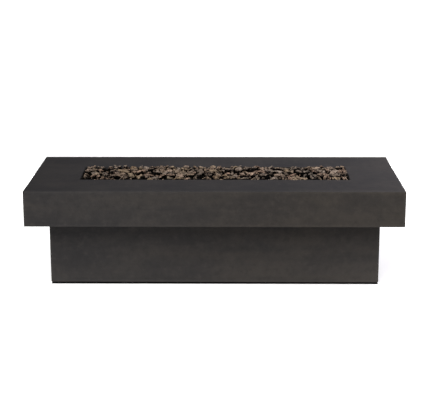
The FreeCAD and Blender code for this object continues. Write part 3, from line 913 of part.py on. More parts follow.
     [(3, 11, 8), (8, 11, 10), (8, 0, 3), (6, 11, 3), (4, 7, 6), (10, 11, 12), (12, 7, 10), (3, 0, 1), (1, 0, 4), (1, 6, 3), (4, 6, 1), (2, 7, 4), (4, 0, 2), (10, 7, 2), (5, 8, 10), (0, 8, 5), (10, 2, 5), (5, 2, 0), (11, 6, 9), (9, 6, 7), (9, 12, 11), (7, 12, 9)]),
    ([(-0.097, 0.075, 0.354), (0.461, -0.467, 0.313), (-0.827, -0.027, 0.172), (0.322, 0.364, 0.218), (-0.026, -0.729, 0.19), (-0.208, 0.532, 0.228), (0.786, -0.141, -0.174), (-0.766, 0.064, -0.287), (0.438, 0.514, -0.341), (0.047, -0.089, -0.382)],
     [(2, 4, 0), (2, 0, 5), (7, 4, 2), (2, 5, 7), (1, 4, 6), (1, 0, 4), (6, 4, 9), (4, 7, 9), (3, 5, 0), (0, 1, 3), (3, 1, 6), (8, 7, 5), (8, 9, 7), (5, 3, 8), (6, 9, 8), (8, 3, 6)]),
    ([(0.312, 0.433, 0.36), (0.147, -0.476, 0.273), (-0.625, 0.46, 0.053), (0.735, 0.016, 0.169), (-0.806, -0.177, 0.159), (-0.189, 0.556, 0.157), (0.458, -0.494, -0.182), (-0.748, 0.056, -0.134), (0.476, 0.311, -0.309), (-0.075, -0.647, -0.201), (0.142, 0.424, -0.356), (0.249, -0.009, -0.348)],
     [(0, 10, 5), (5, 10, 2), (4, 0, 2), (2, 0, 5), (7, 9, 4), (4, 2, 7), (7, 2, 10), (1, 0, 4), (3, 0, 1), (4, 9, 1), (1, 6, 3), (9, 6, 1), (3, 6, 8), (8, 0, 3), (10, 0, 8), (11, 6, 9), (11, 7, 10), (9, 7, 11), (10, 8, 11), (11, 8, 6)]),
    ([(0.089, -0.419, 0.312), (-0.631, 0.297, 0.233), (0.375, 0.266, 0.312), (-0.522, -0.581, 0.192), (0.052, 0.68, -0.081), (0.702, -0.384, -0.032), (-0.759, -0.302, 0.091), (0.571, 0.44, -0.201), (0.35, -0.517, -0.302), (-0.52, 0.311, -0.261), (0.338, 0.192, -0.334)],
     [(9, 8, 6), (6, 1, 9), (9, 1, 4), (5, 8, 7), (5, 0, 3), (3, 8, 5), (6, 8, 3), (3, 1, 6), (0, 1, 3), (4, 1, 2), (2, 1, 0), (2, 7, 4), (2, 0, 5), (5, 7, 2), (8, 9, 10), (10, 7, 8), (10, 9, 4), (4, 7, 10)]),
    ([(0.048, -0.193, 0.319), (-0.2, 0.445, 0.281), (0.494, -0.345, 0.211), (-0.895, 0.004, 0.118), (0.67, 0.285, 0.209), (-0.227, -0.591, 0.184), (-0.486, 0.507, -0.057), (0.755, -0.3, -0.194), (-0.846, -0.315, -0.144), (0.483, 0.424, -0.288), (0.156, -0.066, -0.4)],
     [(5, 0, 3), (3, 6, 8), (8, 5, 3), (7, 5, 8), (1, 6, 3), (3, 0, 1), (2, 5, 7), (0, 5, 2), (7, 8, 10), (10, 8, 6), (4, 1, 0), (0, 2, 4), (4, 2, 7), (9, 10, 6), (6, 1, 9), (1, 4, 9), (7, 10, 9), (9, 4, 7)]),
    ([(0.398, -0.388, 0.347), (-0.354, 0.118, 0.323), (0.45, 0.052, 0.27), (-0.498, -0.559, 0.219), (0.23, 0.651, 0.163), (0.513, -0.3, -0.256), (-0.726, -0.072, -0.002), (0.336, 0.713, -0.105), (-0.124, -0.562, -0.15), (-0.126, 0.665, -0.168), (0.702, 0.095, -0.254), (-0.585, -0.013, -0.34)],
     [(3, 8, 0), (3, 1, 6), (0, 1, 3), (6, 11, 3), (3, 11, 8), (10, 0, 5), (0, 8, 5), (5, 11, 10), (8, 11, 5), (9, 7, 10), (10, 11, 9), (9, 11, 6), (6, 1, 9), (10, 7, 4), (7, 9, 4), (4, 9, 1), (2, 1, 0), (2, 4, 1), (2, 0, 10), (10, 4, 2)]),
    ([(-0.206, -0.008, 0.363), (0.187, 0.561, 0.265), (0.396, -0.541, 0.193), (-0.618, 0.376, 0.225), (0.789, 0.175, 0.131), (-0.524, -0.481, -0.003), (-0.111, 0.599, -0.186), (0.734, -0.131, -0.274), (-0.844, -0.517, -0.17), (0.17, -0.194, -0.416)],
     [(4, 0, 2), (8, 6, 9), (9, 2, 8), (3, 6, 8), (8, 0, 3), (5, 0, 8), (8, 2, 5), (5, 2, 0), (7, 6, 4), (7, 9, 6), (4, 2, 7), (2, 9, 7), (1, 0, 4), (1, 3, 0), (4, 6, 1), (6, 3, 1)]),
    ([(0.377, 0.157, 0.363), (-0.363, -0.277, 0.314), (-0.155, 0.447, 0.254), (0.57, -0.469, 0.186), (-0.788, -0.27, 0.125), (0.394, 0.496, 0.124), (-0.307, -0.551, 0.078), (-0.502, 0.548, -0.242), (0.777, -0.171, -0.191), (-0.585, 0.029, -0.289), (0.116, 0.276, -0.341), (0.448, -0.271, -0.354)],
     [(8, 0, 3), (4, 7, 9), (2, 7, 4), (1, 3, 0), (1, 2, 4), (0, 2, 1), (10, 9, 7), (4, 9, 6), (6, 1, 4), (3, 1, 6), (11, 10, 8), (9, 10, 11), (11, 6, 9), (8, 3, 11), (3, 6, 11), (5, 2, 0), (5, 0, 8), (8, 10, 5), (7, 2, 5), (5, 10, 7)]),
    ([(-0.127, 0.304, 0.327), (0.268, 0.179, 0.366), (-0.609, -0.048, 0.317), (0.294, 0.566, 0.24), (-0.127, -0.632, 0.183), (-0.583, 0.393, 0.137), (0.709, -0.166, 0.052), (-0.404, -0.406, -0.272), (0.043, 0.674, -0.113), (0.305, -0.491, -0.284), (-0.542, -0, -0.222), (0.528, 0.043, -0.334), (0.153, -0.062, -0.402)],
     [(8, 12, 10), (11, 12, 8), (11, 3, 6), (8, 3, 11), (1, 4, 6), (6, 3, 1), (2, 4, 1), (5, 10, 2), (8, 10, 5), (5, 3, 8), (12, 11, 9), (6, 4, 9), (9, 11, 6), (2, 1, 0), (0, 1, 3), (0, 5, 2), (3, 5, 0), (7, 10, 12), (12, 9, 7), (7, 9, 4), (7, 4, 2), (2, 10, 7)]),
    ([(-0.606, -0.05, 0.344), (0.17, 0.48, 0.386), (0.123, -0.672, 0.079), (-0.441, 0.658, 0.194), (0.952, -0.152, -0.143), (-0.481, -0.608, 0.118), (0.066, 0.636, 0.085), (0.874, -0.351, -0.341), (-0.486, 0.026, -0.395), (-0.099, 0.133, -0.392)],
     [(0, 3, 8), (1, 3, 0), (0, 2, 1), (1, 2, 4), (9, 8, 3), (0, 8, 5), (5, 2, 0), (4, 2, 7), (8, 9, 7), (7, 5, 8), (2, 5, 7), (6, 1, 4), (3, 1, 6), (6, 9, 3), (4, 7, 6), (6, 7, 9)]),
    ([(-0.525, 0.169, 0.277), (0.583, -0.042, 0.301), (-0.898, -0.573, 0.051), (0.489, 0.61, 0.17), (0.258, -0.596, -0.017), (-0.606, 0.438, -0.089), (0.964, 0.272, -0.125), (-0.336, -0.367, -0.318), (-0.205, 0.42, -0.218), (0.486, -0.216, -0.244)],
     [(6, 3, 1), (4, 1, 2), (6, 1, 4), (8, 3, 6), (2, 1, 0), (0, 1, 3), (7, 4, 2), (3, 8, 5), (5, 0, 3), (2, 0, 5), (5, 7, 2), (8, 7, 5), (9, 8, 6), (9, 7, 8), (6, 4, 9), (4, 7, 9)]),
    ([(-0.024, 0.149, 0.283), (0.399, -0.448, 0.245), (-0.481, 0.432, 0.209), (0.707, 0.099, 0.198), (-0.677, -0.574, 0.113), (-0.288, 0.786, 0.166), (0.814, -0.338, -0.243), (-0.957, -0.098, -0.181), (0.498, 0.45, -0.192), (-0.166, -0.106, -0.355)],
     [(1, 4, 6), (7, 5, 8), (2, 5, 7), (7, 4, 2), (7, 8, 9), (9, 8, 6), (9, 4, 7), (6, 4, 9), (3, 8, 5), (3, 1, 6), (6, 8, 3), (4, 1, 0), (0, 2, 4), (1, 3, 0), (5, 2, 0), (0, 3, 5)]),
    ([(0.469, 0.198, 0.32), (-0.046, -0.395, 0.24), (-0.598, 0.534, 0.148), (0.682, 0.093, 0.342), (-0.836, -0.327, 0.212), (0.174, 0.618, -0.008), (0.603, -0.465, -0.207), (-0.886, -0.189, -0.088), (0.674, 0.238, -0.275), (0.078, -0.478, -0.321), (-0.117, 0.163, -0.3)],
     [(10, 9, 7), (7, 2, 10), (10, 2, 5), (3, 5, 0), (5, 2, 0), (3, 1, 6), (6, 1, 9), (4, 0, 2), (4, 2, 7), (4, 1, 3), (3, 0, 4), (7, 9, 4), (9, 1, 4), (9, 10, 8), (8, 6, 9), (8, 10, 5), (8, 5, 3), (3, 6, 8)]),
    ([(-0.071, -0.033, 0.449), (0.195, 0.588, 0.289), (-0.049, -0.5, 0.339), (-0.236, 0.478, 0.274), (0.827, -0.265, -0.208), (-0.9, -0.135, 0.134), (0.433, 0.5, -0.236), (0.074, -0.565, -0.244), (-0.406, 0.246, -0.319), (0.22, 0.16, -0.406)],
     [(7, 9, 4), (7, 2, 5), (4, 2, 7), (4, 1, 0), (0, 2, 4), (1, 3, 0), (5, 2, 0), (0, 3, 5), (8, 7, 5), (9, 7, 8), (5, 3, 8), (6, 3, 1), (6, 8, 3), (9, 8, 6), (6, 1, 4), (4, 9, 6)]),
    ([(-0.507, 0.051, 0.394), (0.692, -0.472, 0.239), (-0.19, -0.399, 0.325), (0.297, 0.54, 0.155), (0.269, -0.667, 0.105), (-0.779, 0.359, -0.123), (0.857, -0.031, -0.089), (-0.575, -0.229, -0.314), (-0.094, 0.534, -0.339), (0.167, -0.106, -0.329)],
     [(5, 0, 3), (7, 0, 5), (1, 3, 0), (1, 4, 6), (6, 3, 1), (8, 7, 5), (5, 3, 8), (8, 3, 6), (6, 4, 9), (4, 7, 9), (9, 8, 6), (7, 8, 9), (2, 7, 4), (0, 7, 2), (4, 1, 2), (2, 1, 0)]),
    ([(-0.007, -0.153, 0.372), (-0.384, -0.52, 0.301), (-0.189, 0.533, 0.273), (0.815, 0.119, 0.242), (-0.782, -0.428, -0.128), (0.186, 0.755, -0.105), (0.027, -0.689, -0.205), (-0.422, 0.192, -0.277), (0.526, 0.372, -0.276), (-0.085, -0.339, -0.339)],
     [(3, 5, 2), (4, 9, 6), (7, 9, 4), (4, 2, 7), (7, 2, 5), (8, 5, 3), (3, 6, 8), (8, 6, 9), (8, 7, 5), (9, 7, 8), (1, 2, 4), (4, 6, 1), (1, 6, 3), (3, 2, 0), (0, 1, 3), (2, 1, 0)]),
    ([(0.444, -0.067, 0.397), (-0.582, -0.237, 0.266), (0.348, 0.497, 0.106), (0.371, -0.445, 0.283), (-0.99, 0.278, -0.102), (0.907, 0.324, 0.122), (-0.415, -0.492, -0.071), (-0.564, 0.44, -0.14), (0.671, -0.367, -0.076), (-0.829, -0.295, -0.206), (0.398, 0.526, -0.21), (0.181, -0.01, -0.32), (-0.232, 0.064, -0.333)],
     [(2, 0, 5), (1, 2, 4), (0, 2, 1), (9, 11, 6), (9, 1, 4), (6, 1, 9), (6, 11, 8), (4, 2, 7), (10, 2, 5), (5, 8, 10), (10, 8, 11), (10, 7, 2), (3, 1, 6), (0, 1, 3), (6, 8, 3), (5, 0, 3), (3, 8, 5), (4, 7, 12), (12, 9, 4), (11, 9, 12), (12, 10, 11), (7, 10, 12)]),
    ([(-0.401, -0.228, 0.31), (0.045, 0.172, 0.357), (0.516, -0.545, 0.212), (-0.344, 0.177, 0.281), (0.347, 0.489, 0.244), (-0.42, -0.47, 0.171), (-0.443, 0.694, -0.036), (0.695, -0.324, -0.087), (-0.689, 0.119, -0.238), (0.415, 0.422, -0.271), (-0.039, -0.587, -0.271), (-0.411, 0.195, -0.307)],
     [(10, 5, 8), (10, 9, 7), (2, 10, 7), (5, 10, 2), (3, 6, 8), (8, 6, 11), (6, 9, 11), (11, 10, 8), (9, 10, 11), (4, 9, 6), (6, 3, 4), (4, 3, 1), (7, 9, 4), (4, 2, 7), (1, 2, 4), (0, 2, 1), (5, 2, 0), (1, 3, 0), (8, 5, 0), (0, 3, 8)]),
    ([(-0.009, -0.366, 0.305), (-1.03, -0.185, 0.277), (0.439, 0.134, 0.299), (0.434, -0.67, 0.24), (-0.99, 0.18, 0.004), (0.987, 0.223, -0.105), (-0.717, -0.464, 0.116), (0.056, 0.618, -0.283), (0.963, -0.147, -0.105), (-0.725, 0.396, -0.311), (0.757, 0.257, -0.309), (-0.079, 0.096, -0.346)],
     [(5, 7, 2), (6, 3, 1), (6, 11, 3), (3, 11, 8), (5, 2, 8), (8, 2, 3), (9, 7, 11), (11, 6, 9), (10, 7, 5), (11, 7, 10), (5, 8, 10), (10, 8, 11), (1, 3, 0), (0, 2, 1), (3, 2, 0), (4, 6, 1), (4, 9, 6), (7, 9, 4), (1, 2, 4), (4, 2, 7)]),
    ([(0.282, -0.026, 0.351), (-0.671, -0.001, 0.248), (-0.301, 0.463, 0.283), (0.1, -0.633, 0.084), (-0.953, 0.038, -0.114), (0.585, 0.392, 0.2), (-0.562, -0.495, -0.063), (0.026, 0.454, -0.253), (0.861, -0.41, -0.23), (-0.534, 0.238, -0.3), (0.663, 0.209, -0.25)],
     [(8, 3, 6), (0, 3, 8), (9, 6, 4), (8, 6, 9), (4, 2, 9), (2, 7, 9), (5, 7, 2), (2, 0, 5), (5, 0, 8), (1, 6, 3), (3, 0, 1), (1, 0, 2), (1, 2, 4), (4, 6, 1), (10, 5, 8), (7, 5, 10), (8, 9, 10), (10, 9, 7)]),
]
TOP_ROCKS = [
    (28, 58.88, -487.77, -62.93, 371.1, 0.151, 0.1362, 0.9494, 0.2392),
    (20, 46.66, -171.94, -69.45, 382.27, 0.2081, 0.0637, 0.8129, 0.5402),
    (25, 49.65, 336.37, -68.36, 364.07, 0.7533, 0.3394, 0.4669, 0.3152),
    (39, 60.07, 483.92, -33, 383.88, 0.0197, -0.1773, 0.0031, 0.984),
    (28, 56.28, -404.5, -8.08, 379.78, 0.021, -0.4072, 0.7154, 0.5675),
    (38, 53.33, -186.6, -5.98, 381.33, 0.2773, -0.0615, 0.9406, 0.1861),
    (19, 54.24, -70, 15.93, 388.6, 0.063, 0.2309, 0.7402, 0.6283),
    (21, 57.78, -16.04, -8.23, 373.36, 0.2263, -0.1701, -0.118, 0.9518),
    (35, 53.5, 100.25, 6.01, 383.53, -0.0354, -0.0268, 0.8727, -0.4863),
    (21, 58.03, 208.83, 24.88, 375.68, -0.0799, 0.4396, 0.8234, -0.3497),
    (32, 47.59, 278.86, 12.04, 362.52, -0.4195, -0.1166, 0.8668, 0.2429),
    (37, 57.62, -497.05, 80, 393.79, 0.0889, 0.1795, 0.0097, 0.9797),
    (0, 54.14, -389.71, 73.8, 382.73, 0.2809, 0.2666, -0.6313, 0.6719),
    (31, 45.74, -303.09, 80.48, 389.69, 0.046, 0.061, 0.8506, 0.5203),
    (2, 52.98, -91.99, 72.49, 381.97, 0.475, 0.1536, -0.0092, 0.8664),
    (28, 61, -6.72, 47.53, 377.27, 0.2047, 0.0329, -0.2571, 0.9439),
    (22, 47.88, 238.96, 78.92, 373.75, 0.4331, -0.4332, 0.6622, 0.4315),
    (35, 52, 282.66, 71.47, 368.67, -0.605, -0.455, 0.6514, -0.0518),
    (38, 50.1, 398.84, 67.68, 383.04, 0.387, 0.0261, 0.0647, 0.9194),
    (39, 52.29, 502.02, 72.92, 385.41, 0.0086, -0.0597, 0.9338, 0.3528),
    (31, 59.6, -445.41, -62, 392.34, -0.2897, 0.1362, 0.3847, 0.8657),
    (21, 45.81, -388.89, -79.2, 386.75, -0.0155, -0.0785, -0.682, 0.727),
    (36, 45.24, -294.29, -74.64, 387.01, 0.796, 0.5694, -0.0108, -0.2053),
    (38, 55.59, -213.94, -52.6, 403.32, -0.0082, -0.2293, -0.1176, 0.9662),
    (32, 60.95, -121.31, -63.43, 390.22, 0.0049, -0.1452, -0.5347, 0.8325),
    (28, 46.94, -27.89, -65.34, 375.17, 0.0372, -0.4261, 0.1102, 0.8972),
    (27, 56.5, 55.51, -84.72, 398.69, -0.1936, 0.3737, 0.8775, 0.2299),
    (19, 45.27, 239.42, -68.69, 386.92, 0.4919, 0.0009, 0.7126, -0.5002),
    (38, 52.98, 342.85, -98.6, 400.1, 0.5728, -0.0283, 0.0729, 0.816),
    (34, 52.27, 435.04, -72.46, 392.1, -0.0637, 0.365, -0.0577, 0.927),
    (31, 50.69, -529, 36.15, 390.03, 0.7884, -0.4106, -0.3544, 0.2901),
    (8, 49.32, -458.85, -11.42, 393.33, 0.7701, 0.1052, -0.6066, -0.1669),
    (38, 58.71, -282.69, -24.48, 384.44, 0.0336, -0.6123, 0.7758, -0.149),
    (23, 47.1, -131.03, 25.24, 375.5, 0.2426, -0.4408, -0.5407, 0.6741),
    (34, 50.42, 53.16, 22.92, 384.79, 0.9513, 0.1177, 0.2792, -0.056),
    (35, 54.92, 161.64, 32.25, 387.6, -0.1391, -0.3391, -0.4022, 0.839),
    (6, 57.31, 255.8, 2.57, 387.81, -0.4753, -0.3594, 0.5608, 0.5748),
    (12, 46.09, 451.52, 21.86, 399.3, 0.2845, 0.4085, 0.867, 0.0242),
    (20, 59.08, 517.15, 19.69, 400.19, 0.2082, 0.0785, -0.0312, 0.9744),
    (0, 59.44, -280.01, 15.41, 386.77, 0.7456, 0.5082, -0.4167, -0.1102),
    (10, 42.13, -542.69, -62.74, 396.83, -0.4811, -0.5106, 0.3432, 0.6246),
    (19, 47.94, -348.28, -46.52, 390.08, -0.4456, 0.1735, 0.0389, 0.8774),
    (21, 44.02, -249.05, -97.18, 396.14, 0.5154, -0.1079, -0.5155, 0.676),
    (26, 44.91, -62.91, -43.39, 376.63, 0.0796, 0.7277, 0.0456, 0.6797),
    (34, 45.62, 7.67, -81.22, 400.35, -0.2502, 0.5375, -0.4091, 0.6937),
    (31, 47.58, 131.27, -68.44, 395.37, 0.0906, 0.0459, 0.7661, 0.6346),
    (25, 42.01, 183.8, -58.02, 387.59, 0.0548, 0.006, 0.8736, 0.4836),
    (30, 51.58, 272.43, -65.66, 411.51, -0.0946, 0.0282, -0.6577, 0.7468),
    (18, 39.96, 353.78, -27.21, 369.87, 0.4042, -0.0982, 0.6888, -0.5937),
    (19, 49.77, 513.21, -87.26, 395.5, 0.153, 0.1164, -0.3211, 0.9273),
    (39, 43.9, -499.88, 16.95, 396.96, 0.3566, -0.0641, 0.8035, -0.4722),
    (37, 41, -345.65, 16.9, 372.71, 0.3401, -0.2582, 0.8654, 0.2621),
    (25, 51.55, -233.54, 48.06, 405.73, 0.1219, 0.9515, 0.2215, 0.1754),
    (21, 51.68, -155.87, -0.18, 406.41, 0.2647, 0.0471, 0.6105, 0.745),
    (22, 49.14, 159.26, -17.95, 387.75, 0.3467, 0.7273, -0.5821, 0.1097),
    (38, 41.89, 426.64, -23.56, 403.72, 0.9808, -0.0669, 0.1084, -0.1479),
    (22, 40.92, -449.66, 68.21, 375.39, 0.7265, 0.3593, -0.5603, -0.1707),
    (34, 44.97, -221.42, 70.84, 372.84, 0.1784, 0.5218, 0.0137, 0.8341),
    (6, 45.64, -167.34, 96.47, 397.77, 0.1115, 0.0289, 0.9744, -0.193),
    (39, 43.35, 32.43, 84.53, 392.24, -0.3298, 0.1425, -0.0483, 0.932),
    (0, 44.25, 103.42, 79.45, 384.69, 0.2908, 0.2276, -0.5293, 0.7638),
    (27, 42.9, -346.26, -4.84, 401.45, 0.4575, -0.2391, -0.2303, 0.8249),
    (36, 39.92, -316.2, -79.22, 407.43, -0.5569, 0.7676, -0.2257, 0.2231),
    (35, 40.03, -27.06, -32.54, 404.91, 0.3475, 0.9089, -0.2271, 0.0398),
    (18, 41.91, 374.96, -27.49, 394.99, 0.7261, 0.5526, 0.3864, 0.1344),
    (12, 42.48, 321.58, -54.21, 400.81, -0.182, 0.8697, 0.1902, 0.4175),
    (2, 32.68, -350.02, -80.46, 387.2, 0.041, 0.7472, -0.388, -0.5381),
    (35, 41.17, -428.64, 33.86, 400.59, 0.32, -0.4978, 0.7995, -0.1036),
    (14, 34, -377.7, -103.12, 411.88, -0.1219, 0.9159, -0.2913, 0.2476),
    (36, 38.21, -389.54, 7.6, 414.97, 0.2001, 0.0102, -0.3369, 0.92),
    (26, 35.7, -347.7, 65.76, 391.09, 0.7448, -0.6148, -0.119, 0.2307),
    (31, 36.44, -292.22, 53.65, 410.79, -0.0635, -0.2028, 0.7495, -0.627),
    (34, 40.39, -154.88, -106.2, 401.31, -0.3233, -0.546, 0.717, -0.2886),
    (37, 34.98, -147.03, -63.24, 409.93, -0.2273, 0.0369, 0.9485, 0.2176),
    (21, 38.53, -137.4, 61.68, 401.64, -0.0974, -0.6609, 0.6942, -0.2681),
    (22, 36.95, -75.68, -91.04, 398.71, 0.5283, 0.0038, 0.7849, 0.3237),
    (24, 33.49, -92.17, 44.97, 401.93, 0.2285, -0.3313, 0.8392, -0.3658),
    (38, 30.88, -49.61, -70.62, 390.82, -0.1343, -0.4622, 0.4236, 0.7674),
    (30, 34.68, -74.66, -42.27, 411.49, 0.9617, -0.1821, 0.205, -0.0062),
    (22, 31.73, -21.26, -98.03, 388.58, 0.2137, 0.1457, -0.602, 0.7554),
    (28, 37.18, -36.44, 91.11, 393.99, -0.2172, 0.8284, -0.5162, 0.011),
    (36, 39.11, 25.59, -15.48, 393.29, 0.796, -0.5761, -0.1585, -0.0964),
    (30, 37.25, 1.03, 30.32, 402.84, 0.2544, 0.1907, -0.5096, 0.7995),
    (31, 35.58, 61.56, -33.98, 386.88, -0.4259, -0.4667, 0.6439, 0.4315),
    (36, 33, 100.38, -41.44, 400.44, -0.331, -0.2177, 0.2492, 0.8837),
    (26, 36.67, 160.38, 101.22, 391.3, -0.0072, -0.4143, 0.2995, 0.8594),
    (19, 35.28, 150.54, -50.66, 416.54, 0.071, 0.0418, 0.5743, 0.8145),
    (12, 30.87, 195.95, 105.48, 388.87, 0.4386, -0.0454, -0.3647, 0.8201),
    (12, 33.16, 198.16, -102.73, 387.64, 0.9672, -0.0224, -0.1276, 0.2187),
    (33, 32.08, 237.36, 107.6, 394.95, -0.4316, 0.2246, 0.5184, 0.7032),
    (38, 37.64, 280.99, 40.55, 383.37, -0.4289, 0.0407, -0.327, 0.8411),
    (22, 41.51, 296.57, 103.01, 393.96, -0.6579, 0.1718, 0.0109, 0.7332),
    (6, 39.32, 433.11, 59.28, 410.53, 0.1167, 0.9599, 0.2468, -0.0634),
    (27, 35.71, 339.37, 80.48, 383.09, -0.1926, -0.5818, 0.5149, 0.5994),
    (38, 33.93, 261.2, -18.11, 421.3, 0.9691, 0.1775, -0.1036, -0.1365),
    (19, 33.96, 467.16, -75.66, 405.24, 0.4862, 0.3178, -0.3548, 0.7326),
    (23, 40.44, 325.56, -2.07, 393.24, -0.2015, -0.3656, 0.7429, 0.5233),
    (25, 41.62, 200.92, -65.3, 412.2, -0.0542, -0.0024, 0.4661, 0.8831),
    (19, 40.28, 320.99, 52.72, 393.28, -0.0979, 0.9639, 0.1243, 0.2141),
    (36, 38.8, 535.2, 96.78, 396.83, 0.3328, 0.4759, 0.7703, 0.2635),
    (22, 30.7, 549.81, -79.98, 392.69, 0.5698, 0.3268, 0.6803, 0.3252),
    (18, 36.12, -395.82, -56.86, 415.36, 0.2988, 0.0738, 0.0674, 0.9491),
    (24, 35.85, 542.52, -46.64, 409.29, -0.3696, 0.6844, -0.4785, 0.4075),
    (31, 38.75, 366.37, 29.02, 396.41, -0.0517, 0.1755, -0.0814, 0.9797),
    (19, 36.49, 535.75, -8.84, 413.54, 0.489, 0.0623, 0.5151, 0.7012),
    (14, 35.96, 237.46, 53.21, 403.13, -0.1535, 0.6319, 0.468, -0.5984),
    (38, 32.69, -478.14, 32.99, 402.26, -0.2776, 0.7425, -0.4988, -0.3505),
    (28, 30.89, -449.68, 53.36, 415.29, 0.9192, 0.0066, 0.1703, 0.3551),
    (18, 39.74, 462.12, 60.04, 392.08, -0.1158, -0.3518, 0.8744, 0.3133),
    (21, 31.51, -509.24, -67.11, 408.61, -0.2481, -0.1198, 0.6293, 0.7267),
    (4, 31.12, -347.93, -76.34, 415.89, 0.1947, 0.1637, 0.8375, 0.4836),
    (29, 30.94, -271.74, -109.4, 400.21, -0.1499, 0.7747, 0.4074, 0.4597),
    (22, 30.08, -187.05, -87.17, 408.32, -0.5998, 0.7903, -0.0486, -0.1152),
    (34, 33.64, -32.93, -105, 406.75, -0.2174, -0.2462, 0.9412, 0.0794),
    (32, 37.25, 113.48, -110.03, 403.61, -0.1273, -0.6946, 0.7056, -0.0588),
    (30, 35.73, 163.46, -109.58, 401.61, 0.4865, -0.1696, 0.072, 0.854),
    (27, 39.33, 252.26, -106.49, 399.55, 0.5573, 0.2271, -0.2106, 0.7704),
    (20, 33.42, 409.76, -110.23, 391.34, 0.7736, -0.0543, -0.0335, 0.6305),
    (12, 28.13, 540.02, -108.78, 407.05, 0.3858, 0.115, 0.9071, 0.1227),
    (32, 33.76, -507.85, -32.18, 403.49, -0.0786, -0.2922, 0.9097, -0.2844),
    (30, 33.13, -422.22, -34.5, 401.54, 0.8817, 0.3081, -0.1076, 0.3407),
    (26, 34.63, -312.34, -17.53, 419.7, -0.0023, 0.0657, 0.8926, -0.4461),
    (33, 31.35, -209.7, -24.65, 409.13, -0.0104, 0.788, -0.414, 0.4555),
    (18, 29.16, -108.3, -16.87, 411.43, -0.1649, -0.0373, 0.978, -0.122),
    (18, 31.3, -20.93, -7.87, 411.64, -0.1561, 0.0829, -0.1079, 0.9783),
    (10, 27.9, 42.13, -38.08, 400.39, 0.4576, -0.1407, 0.4672, 0.7434),
    (38, 27.86, 117.55, 3.15, 406.4, 0.2288, 0.3155, 0.6278, 0.6738),
    (24, 38.99, 193.34, -11.34, 407.14, -0.6336, -0.0298, -0.1456, 0.7592),
    (12, 31.64, 220.55, 7.23, 414.12, -0.1006, 0.4468, 0.8839, 0.0946),
    (28, 37.36, 313.98, -19.8, 417.73, -0.0553, -0.0904, 0.9192, 0.3792),
    (37, 32.44, 393.49, 7.29, 411.56, -0.1276, 0.2553, 0.2862, 0.9147),
    (38, 34.13, 498.84, -44.7, 414.98, 0.0015, 0.1846, 0.9809, 0.0617),
    (27, 28.75, -434.51, 2.04, 408.47, 0.3392, 0.5714, -0.2198, 0.7143),
    (27, 29.2, -374.31, 32.36, 388.79, 0.0565, -0.5628, -0.2708, 0.779),
    (22, 29.25, -48.72, 63.07, 401.7, 0.1181, 0.9277, -0.0445, 0.3513),
    (8, 33.34, 62.48, 50.19, 410.5, -0.2532, 0.252, 0.636, 0.684),
    (10, 34.28, 123.44, 49.76, 393.13, 0.5946, -0.3643, 0.6721, 0.2492),
    (26, 37.62, 160.43, 63.24, 405.03, -0.4363, -0.4425, -0.09, 0.7783),
    (6, 33.25, 305.75, 33.51, 408.57, 0.028, 0.1135, 0.8629, 0.4917),
    (23, 37.98, 404.07, 40.2, 406.81, 0.7558, -0.383, 0.1886, -0.4965),
    (18, 37.93, 493.22, 72.8, 412.48, 0.0802, 0.1043, 0.9913, 0.0088),
    (2, 39.24, -437.13, 87.99, 394.99, -0.1325, 0.3326, -0.342, 0.8688),
    (33, 34.46, -359.84, 105.19, 388.86, -0.5888, -0.0927, -0.0875, 0.7981),
    (27, 35.87, -223.6, 101.92, 396.69, 0.0871, 0.2876, 0.0349, 0.9531),
    (31, 29.1, -128.78, 103.49, 393.37, -0.1395, 0.2667, 0.3892, 0.8706),
    (38, 34.23, -75.58, 99.91, 401.68, 0.0737, 0.4147, 0.1614, 0.8925),
    (21, 28.77, 62.17, 106.36, 389.25, 0.1038, 0.5513, 0.6501, 0.5124),
    (39, 34.06, 131.49, 81.56, 393.39, -0.0506, 0.5511, 0.3473, 0.7571),
    (29, 28.66, -421.3, 110.83, 402.02, -0.4218, 0.403, 0.6353, 0.5061),
    (4, 29.98, -352.59, 83.12, 411.7, -0.309, 0.9454, 0.1033, -0.0066),
    (21, 29.36, -321.52, 80.66, 411.65, 0.6844, 0.7091, 0.1422, 0.0925),
    (20, 33.24, -341.88, 42.86, 412.63, 0.0861, 0.1545, 0.9791, -0.1001),
    (29, 29.12, -272.79, 102.13, 402.75, -0.674, 0.7124, 0.138, -0.1383),
    (37, 28.94, -176.65, 52.29, 404.59, 0.3352, -0.354, 0.0448, 0.872),
    (8, 28.05, -125.99, 106.83, 413.29, -0.0473, 0.0127, 0.9164, -0.3974),
    (18, 28.08, -104.7, -59.47, 417.87, 0.273, 0.9146, -0.2968, -0.0306),
    (21, 29.77, -63.67, 35.09, 410.57, 0.1754, -0.0411, -0.401, 0.8982),
    (2, 30.49, -0.96, 106.88, 393.02, 0.1214, 0.8602, 0.2448, -0.4306),
    (27, 28.82, 90.74, 77.27, 416.85, -0.0151, 0.3184, 0.9024, -0.2901),
    (34, 26.07, 371.04, 103.8, 389.64, -0.1813, -0.2649, -0.4719, 0.8211),
    (22, 27.76, 352.58, 65.25, 412.75, 0.0853, -0.3339, 0.8341, -0.4307),
    (20, 33.73, 418.06, 100.41, 404.74, -0.5368, 0.8295, 0.1419, -0.0597),
    (30, 26.56, -535.8, 15.36, 419.29, -0.5162, 0.854, 0.0636, -0.011),
    (19, 26.47, -543.93, 105.78, 392.52, -0.4846, 0.0627, 0.8659, 0.1067),
    (33, 29.75, -414.83, -13.07, 418.5, -0.1038, 0.0403, -0.6281, 0.7701),
    (8, 24.16, -422.55, 74, 414.5, -0.277, 0.904, -0.0698, -0.3182),
    (33, 23.29, -385.59, 111.55, 404.56, -0.1818, -0.5949, 0.773, -0.1242),
    (23, 26.99, -389.28, 53.37, 406.69, 0.3804, 0.1812, -0.6052, 0.6754),
    (22, 23.93, -316.79, 40.49, 415.88, -0.2249, 0.7044, 0.2405, -0.6289),
